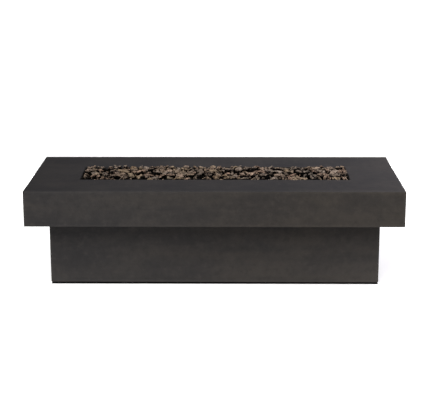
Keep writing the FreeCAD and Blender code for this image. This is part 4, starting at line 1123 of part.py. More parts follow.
    (8, 22.32, -255.8, 16.35, 408.82, 0.3964, 0.7897, -0.1595, -0.4402),
    (28, 24.28, -238.95, 8.06, 385.59, 0.3942, 0.7897, 0.0342, -0.4689),
    (31, 25.84, -198.56, 36.94, 379.73, 0.0574, -0.5325, 0.0207, 0.8442),
    (38, 28.18, -202.06, 10.68, 414.95, 0.2202, -0.1112, 0.2169, 0.9445),
    (30, 24.87, -54.77, 67.89, 415.78, -0.2454, 0.0288, 0.9687, -0.0255),
    (25, 24.55, -8.71, 97.15, 414.97, 0.2492, 0.0897, -0.111, 0.9579),
    (33, 26.57, -14.91, 65.74, 412.01, 0.1051, 0.3565, 0.7596, -0.5338),
    (23, 26.87, 32.69, 107.91, 404.54, 0.6079, 0.6342, -0.3882, 0.2786),
    (31, 26.84, 25.95, 44.77, 401.7, -0.1886, 0.4165, -0.3204, 0.8296),
    (38, 22.57, 38.02, 40.34, 406.94, 0.3467, 0.0688, 0.7793, -0.5175),
    (35, 24.01, 83.62, 109.1, 406.1, 0.1497, -0.2902, -0.4019, 0.8555),
    (28, 29.76, 100.1, 32.85, 419.44, 0.7189, -0.6759, -0.1448, -0.0735),
    (21, 28.05, 134.66, 105.29, 409.01, -0.1071, -0.0057, 0.0596, 0.9924),
    (30, 29.51, 195.72, 55.75, 409.52, 0.7731, -0.188, 0.3214, -0.5136),
    (23, 30.43, 207.95, 81.62, 405.47, 0.6924, -0.64, -0.2979, 0.1491),
    (34, 31.08, 407.96, -87.03, 416.09, 0.2666, -0.1341, -0.472, 0.8295),
    (39, 24.85, 319.65, 59.94, 417.6, 0.9709, -0.1234, 0.2041, 0.0207),
    (18, 25.6, 352.56, 13.7, 415.98, 0.7465, -0.6636, 0.031, -0.0365),
    (29, 24.34, 331.9, 32.41, 421.02, 0.0407, 0.0401, 0.7188, -0.6929),
    (25, 23.6, 399.58, -37.05, 415.21, -0.0546, -0.1683, 0.1624, 0.9707),
    (4, 28.8, 473.65, 32.57, 413, 0.4803, 0.1435, 0.8532, -0.1444),
    (38, 19.46, -554.2, 72.12, 386.72, 0.3734, -0.2453, 0.6612, -0.6027),
    (4, 21.22, -517.79, 46.06, 412.45, 0.1356, -0.156, 0.5268, 0.8245),
    (38, 21.19, -471.77, 83.58, 407.2, 0.022, 0.8222, -0.3531, -0.446),
    (31, 24.99, -481.1, 56.47, 414.12, -0.1761, 0.834, 0.1102, -0.5112),
    (2, 20.35, -376.88, 87.68, 401.85, 0.3309, 0.0684, 0.7112, -0.6164),
    (21, 19.74, -253.31, 95.83, 414.03, -0.1726, 0.9377, -0.2469, 0.1729),
    (27, 25.18, -273.1, 34.22, 418.03, 0.8753, 0.2021, 0.1941, 0.3942),
    (31, 19.05, -207.46, 81.65, 396.72, 0.8, 0.4566, -0.1869, -0.3414),
    (20, 24.62, -182.2, 72.89, 416.42, -0.0772, 0.4901, 0.8607, 0.114),
    (19, 20.83, -131.83, 38.79, 406.4, 0.4418, 0.3978, 0.8023, 0.0544),
    (19, 19.82, -49.03, 105.4, 404.47, -0.462, -0.2247, -0.0683, 0.8552),
    (12, 18.3, 39.66, 55.84, 415.69, 0.6243, 0.5979, -0.1646, 0.475),
    (36, 18.03, 63.94, 77.59, 392.3, 0.4405, 0.3906, 0.808, -0.0214),
    (20, 24.52, 130.05, 53.59, 419.73, 0.2302, 0.283, 0.2648, 0.8926),
    (0, 26.41, 148.08, 80.82, 409.66, 0.598, 0.0933, 0.7952, 0.0354),
    (25, 23.12, 241.62, 79.2, 414.19, 0.2364, -0.3546, 0.8699, 0.2482),
    (27, 18.64, 261.39, 104.69, 405.82, -0.0472, -0.1913, 0.8489, 0.4905),
    (33, 18.33, 261.49, 83.72, 399.53, -0.2204, -0.2159, 0.4945, 0.8126),
    (20, 18.19, 301.42, 78.51, 398.4, -0.5936, -0.3271, 0.2732, 0.6826),
    (14, 18.49, 330.83, 111.18, 387.78, 0.3916, 0.5699, -0.235, 0.6831),
    (30, 20.86, 355.1, 114.57, 400.11, -0.2165, 0.5835, 0.7742, 0.1153),
    (24, 20.37, 357.3, 88.57, 406.6, -0.5036, 0.3581, 0.7859, -0.0212),
    (30, 22.88, 372.92, 43.97, 411.53, 0.1084, -0.1634, 0.7342, -0.65),
    (39, 26.65, 394.81, 79.79, 412.26, -0.0883, 0.7489, 0.6165, 0.2264),
    (12, 22.8, 452.18, 101.21, 385.77, -0.6047, 0.2497, 0.7558, -0.0268),
    (26, 22.36, 451.98, 98.89, 413.59, 0.9311, -0.1728, 0.3078, -0.0919),
    (32, 19.25, 503.16, 107.79, 394.6, 0.3175, 0.9173, -0.2153, 0.1071),
    (10, 20.63, 527.21, 75.62, 418.27, 0.1889, 0.069, 0.9709, 0.1303),
    (6, 22.64, 545.78, 106.02, 412.53, 0.1195, -0.068, 0.7539, -0.6424),
    (34, 20.49, 548.53, 62.61, 405.88, 0.2153, -0.303, 0.8382, 0.399),
    (35, 22.14, -487.61, -61.24, 411.12, -0.2738, 0.1423, 0.8486, -0.4297),
    (23, 19.3, -280.8, -85.78, 409.49, 0.7361, -0.4756, 0.3568, 0.3235),
    (39, 17.4, -240.75, -80.07, 412.9, -0.2695, 0.1378, -0.3692, 0.8786),
    (20, 19.9, -119.12, -109.01, 407.34, 0.6682, 0.6023, 0.3887, 0.1992),
    (27, 21.72, -62.95, -111.57, 389.94, 0.5698, 0.3621, -0.2211, 0.7038),
    (27, 18.3, -32.18, -70.88, 401.96, 0.7628, -0.1817, -0.3113, -0.5368),
    (8, 23.26, 39.01, -58.81, 407.47, -0.4051, 0.4738, 0.47, 0.6249),
    (23, 15.93, 96.75, -69.97, 403.03, -0.1506, -0.4898, 0.2742, 0.8138),
    (32, 16.58, 218.96, -114.67, 398.36, 0.3717, 0.6146, 0.6918, -0.074),
    (39, 21.51, 310.2, -106.21, 410.39, 0.3024, -0.2034, 0.6098, 0.7038),
    (28, 20.32, 381.16, -111.27, 401.65, 0.4035, -0.5225, 0.7168, 0.2245),
    (10, 16.29, 495.8, -113.14, 411.09, -0.0011, 0.4048, 0.8456, 0.3479),
    (35, 19.06, 541.88, -86.81, 412.45, 0.9171, 0.2306, 0.0226, 0.3245),
    (20, 17.48, -471.28, -39.36, 401.54, 0.8442, -0.1835, -0.0906, 0.4954),
    (29, 21.73, -383.3, -32.12, 407.77, 0.8273, -0.371, 0.2715, -0.3227),
    (32, 20.38, -273.75, -54.14, 401.12, -0.0135, -0.0276, 0.8405, 0.5409),
    (19, 21.41, -261.5, -44.23, 406, 0.8913, 0.15, -0.3892, 0.1778),
    (20, 23.51, -183.6, -31.29, 414.24, 0.3063, 0.3041, 0.7651, -0.4779),
    (27, 18.55, -140.26, -32.92, 404.32, 0.6808, 0.6615, 0.0605, -0.3085),
    (19, 16.63, -87.71, -35.18, 421.32, -0.2815, 0.2217, 0.6954, -0.6229),
    (39, 15.94, -20.07, -31.93, 422.43, 0.1093, 0.4022, 0.8904, 0.1833),
    (29, 21.57, 16.39, -34.17, 408.62, 0.3454, 0.9031, 0.1588, -0.1995),
    (19, 20.88, 84.65, -33.28, 401.73, -0.3315, 0.8895, 0.2868, -0.1292),
    (25, 17.94, 133.88, 0.56, 411.03, 0.5027, 0.6583, -0.4241, -0.3663),
    (19, 22.02, 201.72, -35.47, 410.53, -0.4013, 0.4245, 0.4487, 0.6763),
    (31, 22.57, 229.7, -43.69, 416.29, 0.2614, 0.9177, 0.055, 0.294),
    (31, 20.9, 298.39, -45.59, 410.84, -0.3586, 0.6599, 0.0549, -0.658),
    (23, 16.04, 354.74, -19.88, 390.94, -0.2214, 0.852, -0.0551, -0.4713),
    (39, 17.45, 436.1, -54.81, 415.19, 0.2045, 0.598, 0.7727, -0.0599),
    (33, 20.28, 459.61, -55.67, 416.33, 0.5512, -0.009, -0.3804, 0.7426),
    (30, 16.47, 491.59, -10.98, 410.2, -0.2759, -0.266, -0.259, 0.8866),
    (34, 16.18, -481.17, 7.99, 408.14, 0.188, -0.0551, 0.8041, -0.5613),
    (34, 18.25, -454.44, 34.74, 402.27, 0.7018, -0.288, -0.6508, 0.032),
    (29, 19.98, -377.88, 32.64, 414.37, 0.2257, 0.2276, 0.9469, 0.0259),
    (19, 16.89, -300.19, 28.12, 416.59, 0.1289, 0.1271, -0.4035, 0.8969),
    (19, 23.7, -239.97, -1.54, 416.4, 0.0919, 0.0484, 0.106, 0.9889),
    (12, 15.93, -57.14, 7.65, 411.17, -0.0507, 0.2264, -0.2342, 0.9441),
    (21, 20.38, -20.65, 14.97, 406.36, -0.2213, 0.1108, 0.8975, 0.365),
    (34, 22.3, 54.19, -9.14, 405.75, 0.0796, 0.7451, -0.4248, 0.508),
    (29, 21.95, 74.12, -11.44, 396.3, -0.5157, -0.07, 0.7996, -0.2995),
    (28, 17.75, 143.1, 8.4, 396.19, 0.0801, -0.4054, -0.1469, 0.8987),
    (29, 21.39, 277.66, 22.17, 407.34, 0.74, -0.3651, 0.1118, -0.5538),
    (23, 18.32, 304.22, 5.99, 407.32, 0.8934, -0.1854, -0.1195, -0.3915),
    (31, 20.64, 420.47, 7.79, 416.55, 0.043, 0.1649, -0.1326, 0.9764),
    (29, 17.31, 468.83, 1.86, 401.7, 0.1604, -0.2283, 0.649, 0.7078),
    (33, 19.43, 552.17, 29.89, 412.62, 0.1193, 0.4489, 0.0846, 0.8815),
    (36, 16.34, -531, 107.57, 411.88, -0.0136, -0.3359, 0.8439, -0.4181),
    (28, 19.8, -539.72, 85.98, 412.52, 0.379, 0.1395, 0.8979, -0.1751),
    (28, 19.7, -520.65, 82.56, 417.59, -0.0892, -0.3255, -0.385, 0.859),
    (25, 19.52, -461.43, 112.78, 389.27, -0.4482, 0.3286, 0.4038, 0.7267),
    (37, 17.1, -447.21, 93.14, 417.26, 0.0994, 0.0671, 0.8515, -0.5104),
    (28, 16.34, -428.52, 95.82, 419.11, 0.3102, -0.0829, 0.7055, 0.6318),
    (22, 15.33, -410.53, 96.44, 418.12, 0.7029, -0.6847, 0.063, -0.182),
    (28, 19.62, -387.12, 87.89, 419.29, 0.2082, -0.1565, -0.5491, 0.7942),
    (27, 19.16, -346.67, 113.89, 403.28, -0.5156, 0.4528, 0.5742, 0.4466),
    (4, 16.37, -369.44, 62.51, 409.04, 0.1149, -0.5869, 0.4777, 0.6435),
    (18, 17.1, -267.07, 78.53, 418.16, 0.0733, 0.5188, 0.8377, -0.1539),
    (30, 17.16, -227.76, 108.76, 415.39, -0.0564, 0.1101, 0.1094, 0.9863),
    (25, 21.1, -210.19, 92.47, 414.99, 0.7995, 0.4302, 0.1903, 0.3736),
    (31, 21.29, -206.28, 75.92, 410.4, -0.1821, 0.2857, 0.8106, -0.4777),
    (32, 15.44, -140.55, 79.04, 410.8, 0.3711, -0.0246, 0.1882, 0.909),
    (26, 15.78, -102.99, 97.43, 406.46, -0.4195, 0.0189, -0.2054, 0.884),
    (12, 18.25, -64.58, 113.28, 411.28, -0.0764, 0.6917, 0.7166, 0.0472),
    (25, 17.22, -26.6, 112.08, 403.5, -0.4657, -0.0245, 0.3643, 0.8061),
    (39, 15.85, 16.93, 110.84, 413.31, -0.1281, -0.2588, -0.3792, 0.8791),
    (14, 18, 14.09, 89.34, 415.16, -0.1251, -0.0076, 0.847, 0.5166),
    (39, 19.72, 51.24, 85.31, 409.65, -0.1824, 0.1082, 0.4475, 0.8688),
    (22, 15.94, 69.97, 110.81, 412.67, -0.1469, -0.2249, 0.3332, 0.9038),
    (8, 17.1, 106.96, 109.78, 413.68, -0.2407, -0.2703, 0.5526, 0.7508),
    (27, 19.14, 112.55, 89.77, 407.45, 0.2393, 0.7181, 0.3038, 0.5786),
    (24, 20.35, 180.84, 108.5, 413.77, -0.1487, 0.1267, 0.0641, 0.9786),
    (19, 16.41, 166.76, 89.74, 414.96, 0.924, 0.2491, -0.0395, -0.2875),
    (18, 15.39, 217.56, 72.87, 413.12, 0.3554, 0.2064, 0.8669, 0.2821),
    (34, 18.23, 220.28, 97.38, 409.31, 0.7439, -0.4077, -0.3727, 0.3761),
    (27, 17.42, 269.79, 81.93, 412.68, 0.2525, 0.2399, 0.8018, -0.4857),
    (34, 18.2, 288.06, 87.22, 400.66, 0.7913, 0.1094, -0.5441, 0.2566),
    (20, 17.11, 328.37, 108.36, 403.46, -0.0913, -0.0257, 0.9883, -0.1193),
    (0, 18.48, 326.46, 83.62, 404.96, -0.1388, 0.3103, -0.6252, 0.7026),
    (22, 15.95, 348.99, 105.26, 409.02, 0.4851, -0.1329, -0.3202, 0.8028),
    (34, 16.6, 344.42, 89.76, 412.38, 0.6885, 0.2567, -0.222, -0.6409),
    (30, 21.04, 387.5, 108.87, 406.02, -0.385, -0.0547, 0.8077, 0.4431),
    (38, 15.89, 373.24, 104.47, 407.76, -0.0513, -0.0146, 0.6071, 0.7928),
    (31, 19.39, 430.21, 87.96, 411.98, 0.3816, -0.4136, 0.8151, -0.1377),
    (30, 21.11, 474.18, 114.07, 393.52, -0.5247, 0.5157, 0.5399, 0.4089),
    (30, 18.98, 497.72, 106.61, 409.4, 0.3989, 0.879, 0.2603, 0.0213),
    (23, 15.55, 553.2, 84.9, 402.54, 0.5025, -0.3518, 0.6408, -0.4616),
]
LOWER_ROCKS = [
    (12, 43.37, -509.34, -48.53, 334.68, 0.402, 0.6994, 0.4726, 0.3549),
    (5, 42.05, -416.25, -78.12, 355.43, 0.3455, 0.4433, 0.77, -0.302),
    (0, 37.67, -284.77, -20.64, 330.7, -0.1593, 0.5645, 0.7605, 0.2787),
    (1, 43.81, -232.94, -71.83, 357.61, 0.1477, 0.4494, 0.8237, 0.3127),
    (15, 42.73, -185.8, -62.67, 355.52, 0.053, 0.4233, -0.3804, 0.8206),
    (0, 41.88, 126.65, -67.16, 358.16, 0.4181, 0.8472, 0.2843, 0.1632),
    (8, 45.92, 166.92, -65.07, 358.55, 0.2251, -0.1274, -0.4152, 0.8722),
    (9, 33.44, 448.57, -75.81, 336.45, 0.7846, 0.4249, 0.4514, -0.01),
    (6, 57.66, 505.52, -65.99, 352.72, -0.0107, 0.7285, -0.6227, 0.2854),
    (5, 55.53, -462.52, 17.61, 346.91, 0.2928, -0.3463, 0.6302, 0.6302),
    (5, 62.48, -382.91, 13.7, 343.7, 0.0009, -0.1879, 0.9758, -0.1121),
    (13, 55.54, -189.95, 7.66, 340.98, -0.2355, 0.7439, -0.343, -0.523),
    (16, 39.87, -149.87, -16.5, 333.43, -0.4154, -0.3035, 0.0779, 0.854),
    (3, 33.55, -82.36, -27.2, 330.26, -0.4007, 0.3218, 0.8565, 0.047),
    (1, 30.54, -95.68, 3.35, 325.77, 0.0385, -0.2643, 0.9183, 0.2923),
    (7, 46.7, 130.25, -3.68, 337.99, 0.7, 0.4768, 0.5178, -0.1206),
    (17, 44.29, 212.18, 12.36, 335.51, 0.6721, -0.5721, -0.4695, -0.0242),
    (17, 48.02, 240.83, -14.94, 342.22, 0.1592, 0.9077, 0.3223, -0.2163),
    (11, 48.69, 326.89, 12.99, 341.23, 0.2769, -0.5986, 0.7233, 0.2045),
    (12, 38.99, 390.27, 12.67, 338, -0.6332, -0.0059, -0.2969, 0.7147),
    (12, 36.69, 437.91, 13.46, 329.93, -0.155, -0.1204, 0.833, -0.5172),
    (9, 51.67, 494.56, -1.32, 340.2, 0.0195, 0.0916, 0.7488, 0.6561),
    (9, 30.72, -477.52, 72.15, 332.84, 0.6809, -0.0759, 0.2708, -0.6762),
    (1, 42.6, -436.6, 77.78, 334.23, 0.0831, 0.8566, -0.4775, 0.1771),
    (7, 30.73, -364.26, 72.35, 332.21, 0.7027, 0.3106, -0.0077, -0.6401),
    (5, 50.2, -327.82, 65.11, 360.4, -0.5615, 0.8174, 0.083, 0.0985),
    (0, 37.81, -245.8, 77.68, 332.33, -0.1225, 0.8075, -0.5586, 0.1449),
    (7, 42.16, -43.91, 80.01, 346.26, 0.6497, 0.3913, -0.1328, -0.638),
    (3, 48.38, 3.86, 75.66, 355.48, -0.262, 0.6214, 0.7292, -0.1158),
    (0, 48.85, 67.26, 70.49, 355.51, -0.281, -0.2159, -0.5119, 0.7825),
    (12, 33.91, 202.57, 76.05, 353.28, 0.4603, -0.0033, 0.5255, 0.7156),
    (7, 41.81, 320.32, 71.04, 355.64, -0.1883, 0.9049, -0.0187, -0.3813),
    (13, 40.68, 375.12, 72.92, 355.09, -0.1619, 0.1867, -0.2837, 0.9265),
    (10, 44.29, 453.68, 71.7, 350.1, -0.3138, 0.8685, -0.3219, -0.2087),
    (10, 47.46, 503.73, 70.6, 341.21, 0.2307, 0.7434, 0.242, -0.5794),
    (7, 36.93, 179.59, -18.77, 336.91, 0.8931, 0.1665, 0.3048, -0.2858),
    (7, 48.22, 279.43, -52.97, 364.44, -0.0278, -0.1337, -0.3791, 0.9152),
    (17, 32.14, 351.22, -19.07, 328.57, 0.5945, 0.1464, 0.0314, 0.7901),
    (1, 38.83, -421.61, 37.87, 362.99, -0.0372, 0.1821, 0.753, -0.6312),
    (12, 47.7, -234.71, 21.61, 353.34, 0.7314, 0.2302, 0.4595, 0.4482),
    (17, 42.82, -90.74, 20.64, 356.69, 0.244, 0.8593, 0.3928, -0.2187),
    (1, 43.57, 159.08, 19.26, 339.24, 0.6003, 0.2045, 0.7642, -0.1174),
    (1, 43.24, 290.2, -16.62, 337.89, 0.2879, -0.5574, 0.1568, 0.7628),
    (13, 47.99, -511.16, 50.01, 340.6, 0.0363, 0.4628, 0.7593, -0.456),
    (5, 45.86, -264.15, 64.82, 361.44, 0.9936, -0.0243, -0.0915, -0.0624),
    (13, 36.3, -182.5, 79.48, 331.27, 0.9709, -0.0528, 0.0645, 0.2243),
    (4, 42.23, -116.39, -25.13, 357.26, -0.359, 0.391, 0.8105, -0.2478),
    (10, 39.89, -476.61, -21.57, 337.01, -0.0789, 0.4271, 0.8112, 0.3915),
    (7, 30.57, -85.1, -11.34, 368.65, 0.1821, 0.744, -0.6373, -0.0841),
    (4, 34.21, -490.23, 75.01, 359.23, 0.1028, 0.2037, 0.926, -0.3007),
    (16, 25.7, -114.82, 58.49, 353.45, -0.6091, 0.6658, 0.1567, -0.4014),
    (16, 27.46, 416.31, 83.1, 329.4, -0.036, -0.4941, 0.8481, -0.188),
    (30, 44.84, -374.45, -55.51, 357.95, -0.0708, 0.0266, 0.9566, 0.2814),
    (38, 48.64, -286.07, -53.65, 362.2, -0.0057, -0.0319, 0.2841, 0.9582),
    (23, 56.82, -92.19, -76.99, 350.44, -0.5715, -0.3919, -0.0952, 0.7146),
    (34, 49.98, 2.52, -64.41, 357.11, -0.2678, 0.0403, 0.9009, -0.3392),
    (21, 54.42, 85.14, -68.38, 368.79, -0.1762, -0.0034, 0.951, 0.254),
    (35, 45.6, 223.03, -71.88, 356.37, -0.3946, 0.1301, -0.4565, 0.7867),
    (27, 60.84, 397.38, -68.75, 364.35, -0.0126, 0.2789, 0.9505, -0.1365),
    (21, 50.61, -503.71, -10.2, 363.59, -0.1961, -0.3757, -0.2898, 0.8582),
    (22, 52.38, -321.44, 0.85, 349.77, -0.6293, 0.1586, 0.6567, 0.3842),
    (8, 61.02, 420.2, 2.21, 367.94, 0.0251, -0.181, 0.7613, -0.6221),
    (27, 46.69, 486.11, 29.55, 363.42, -0.152, 0.3099, 0.9371, 0.0518),
    (10, 52.71, -181.09, 61.23, 368.67, -0.1062, -0.2381, 0.7705, -0.5816),
    (32, 51.37, 135.73, 70.71, 348.75, 0.873, -0.2415, 0.1003, 0.4117),
    (2, 49.2, 349.15, 25.18, 367.58, -0.0205, 0.1143, -0.1128, 0.9868),
    (31, 32.59, 211.23, -35.18, 377.13, 0.4641, 0.2068, 0.8352, 0.2103),
    (24, 26.93, -256.6, 102.06, 382.45, 0.382, 0.9215, -0.0639, 0.0277),
    (10, 31.81, 182.91, 71.22, 372.7, -0.2232, -0.1226, 0.9512, -0.1744),
    (29, 19.27, -47.69, 113.62, 382.47, 0.4045, 0.0034, 0.1564, 0.9011),
    (26, 20.34, -539.24, -107.63, 380.51, -0.2439, 0.9623, 0.0512, 0.1089),
    (38, 17.1, -427.23, -109.57, 378.57, 0.9104, -0.1054, 0.1087, -0.385),
    (38, 19.63, -350.49, -108.95, 380.35, 0.0304, 0.9006, -0.4336, 0.0058),
    (22, 16.2, 178.62, -88.1, 375.92, 0.42, 0.5865, -0.2425, 0.6487),
    (38, 17.7, 485.2, -103.45, 378.1, -0.133, 0.2991, 0.8464, -0.42),
    (31, 16.09, -546.15, -5.3, 378.5, 0.5475, 0.8323, 0.0859, -0.0065),
    (2, 18.35, -361.4, -25.45, 320.75, -0.0059, 0.9708, -0.2381, -0.0281),
    (25, 16.61, 171.68, 7.4, 384.02, 0.3018, 0.6066, 0.4435, -0.5868),
    (33, 16.03, -466.31, 105.21, 382.06, -0.6036, -0.2822, -0.1961, 0.7194),
    (28, 14.87, -185.66, 111.26, 379.02, -0.1102, 0.9877, 0.1108, -0.0107),
]


def form_solid(corners, triangles):
    faces = []
    for t3 in triangles:
        c = [V(*corners[k]) for k in t3]
        faces.append(Part.Face(Part.makePolygon(c + [c[0]])))
    shell = Part.Shell(faces)
    shell.sewShape()
    return Part.Solid(shell)


forms = [form_solid(c, f) for c, f in ROCK_FORMS]
grow = sheet.get("rock_grow")


def rock_heap(label, rows):
    stones = []
    for form, size, x, y, z, qx, qy, qz, qw in rows:
        turn = FreeCAD.Placement(V(x, y, z), FreeCAD.Rotation(qx, qy, qz, qw)).toMatrix()
        grown = FreeCAD.Matrix()
        grown.scale(size * grow, size * grow, size * grow)
        stone = forms[form].copy()
        stone.transformShape(turn * grown, True, True)
        stones.append(stone)
    o = doc.addObject("Part::Feature", label)
    o.Shape = Part.Compound(stones)
    o.Placement = FreeCAD.Placement()
    return keep(label, o)


rock_heap("lava_rocks_lower", LOWER_ROCKS)
rock_heap("lava_rocks_top", TOP_ROCKS)

# ------------------------------------------------------- check and export
doc.recompute()
bad = [o.Name for o in doc.Objects if any(s in ("Invalid", "Error") for s in o.State)]
if bad:
    raise RuntimeError("failed objects: %s" % ", ".join(bad))
for label, f, base in CUTS:
    if not f.Shape.Volume < base.Shape.Volume - 0.01:
        raise RuntimeError("a pocket of %s (%s) cuts nothing" % (label, f.Name))
for label, o in NODES:
    s = o.Shape
    if s.isNull() or not s.isValid() or not s.Solids:
        raise RuntimeError("bad shape: " + label)
os.makedirs("parts", exist_ok=True)
for label, o in NODES:
    o.Shape.exportStep("parts/%s.step" % label)
print("%d sub-parts, %d solids" % (len(NODES), sum(len(o.Shape.Solids) for _, o in NODES)))
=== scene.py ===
import json
import math

import bmesh
import bpy
import numpy as np
from mathutils import Matrix, Vector


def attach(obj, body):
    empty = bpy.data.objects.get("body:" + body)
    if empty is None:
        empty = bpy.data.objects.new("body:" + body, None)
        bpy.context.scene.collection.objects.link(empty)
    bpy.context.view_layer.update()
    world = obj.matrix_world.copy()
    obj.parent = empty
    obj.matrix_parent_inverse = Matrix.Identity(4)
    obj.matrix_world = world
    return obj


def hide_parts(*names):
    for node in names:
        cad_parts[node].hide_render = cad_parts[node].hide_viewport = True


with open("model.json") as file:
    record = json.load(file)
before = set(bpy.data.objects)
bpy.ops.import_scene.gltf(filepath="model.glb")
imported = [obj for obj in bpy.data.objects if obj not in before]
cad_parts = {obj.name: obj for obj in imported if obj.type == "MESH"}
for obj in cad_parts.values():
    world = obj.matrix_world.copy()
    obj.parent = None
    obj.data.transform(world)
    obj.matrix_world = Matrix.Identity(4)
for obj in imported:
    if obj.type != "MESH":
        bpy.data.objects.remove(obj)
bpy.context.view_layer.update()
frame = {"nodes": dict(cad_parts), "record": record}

scene = bpy.context.scene
nodes = frame["nodes"]
MM = 0.001

# ------------------------------------------------------------------ camera
# focal length in pixels of the 430 x 408 frame, place in metres, pitch, roll and yaw in degrees
CAM_F, CAM_AT = 1219.5, Vector((0.058, -5.026, 1.561))
CAM_PITCH, CAM_ROLL, CAM_YAW = math.radians(14.32), math.radians(-0.078), math.radians(0.667)


def camera_axes():
    c, s = math.cos(CAM_YAW), math.sin(CAM_YAW)
    yaw = np.array([[c, s, 0], [-s, c, 0], [0, 0, 1]])
    base = np.array([[1, 0, 0], [0, 0, -1], [0, 1, 0]])
    c, s = math.cos(CAM_PITCH), math.sin(CAM_PITCH)
    pitch = np.array([[1, 0, 0], [0, c, -s], [0, s, c]])
    c, s = math.cos(CAM_ROLL), math.sin(CAM_ROLL)
    roll = np.array([[c, -s, 0], [s, c, 0], [0, 0, 1]])
    return roll @ pitch @ base @ yaw


axes = camera_axes()
cam_data = bpy.data.cameras.new("camera")
cam_data.sensor_fit = "HORIZONTAL"
cam_data.sensor_width = 36.0
cam_data.lens = CAM_F * 36.0 / 430.0
cam_data.clip_start, cam_data.clip_end = 0.05, 200.0
cam = bpy.data.objects.new("camera", cam_data)
turn = Matrix([[axes[0][i], -axes[1][i], -axes[2][i]] for i in range(3)])
cam.matrix_world = Matrix.Translation(CAM_AT) @ turn.to_4x4()
scene.collection.objects.link(cam)
scene.camera = cam

# -------------------------------------------------------------- number noise


def grid_hash(i, j, k, seed):
    """Pseudo-random numbers from 0 to 1 for whole-number cells."""
    n = (i.astype(np.int64) * 374761393 + j.astype(np.int64) * 668265263 + k.astype(np.int64) * 1440662683
         + seed * 974634777) & 0xFFFFFFFF
    n = ((n ^ (n >> 15)) * 2246822519) & 0xFFFFFFFF
    n = ((n ^ (n >> 13)) * 3266489917) & 0xFFFFFFFF
    return (n ^ (n >> 16)) / 4294967295.0


def value_noise(p, seed=0):
    """Smooth noise from 0 to 1 with cells of size 1."""
    f = np.floor(p)
    t = p - f
    t = t * t * t * (t * (t * 6 - 15) + 10)
    i, j, k = f[:, 0], f[:, 1], f[:, 2]
    out = 0
    for a in (0, 1):
        wa = t[:, 0] if a else 1 - t[:, 0]
        for b in (0, 1):
            wb = t[:, 1] if b else 1 - t[:, 1]
            for c in (0, 1):
                wc = t[:, 2] if c else 1 - t[:, 2]
                out = out + wa * wb * wc * grid_hash(i + a, j + b, k + c, seed)
    return out


def fbm(p, octaves=3, seed=0, gain=0.5):
    total, amp, norm = 0, 1.0, 0
    for o in range(octaves):
        total = total + amp * value_noise(p * (2.03 ** o) + 17.3 * o, seed + 31 * o)
        norm += amp
        amp *= gain
    return total / norm


def cell_noise(p, seed=0):
    """Distance from each point to the nearest scattered point, one of them in each cell of size 1."""
    f = np.floor(p)
    best = np.full(len(p), 9.0)
    for a in (-1, 0, 1):
        for b in (-1, 0, 1):
            for c in (-1, 0, 1):
                i, j, k = f[:, 0] + a, f[:, 1] + b, f[:, 2] + c
                dx = i + grid_hash(i, j, k, seed) - p[:, 0]
                dy = j + grid_hash(i, j, k, seed + 7) - p[:, 1]
                dz = k + grid_hash(i, j, k, seed + 13) - p[:, 2]
                best = np.minimum(best, dx * dx + dy * dy + dz * dz)
    return np.sqrt(best)


def smoothstep(lo, hi, x):
    t = np.clip((x - lo) / (hi - lo), 0, 1)
    return t * t * (3 - 2 * t)


# --------------------------------------------------------------- materials


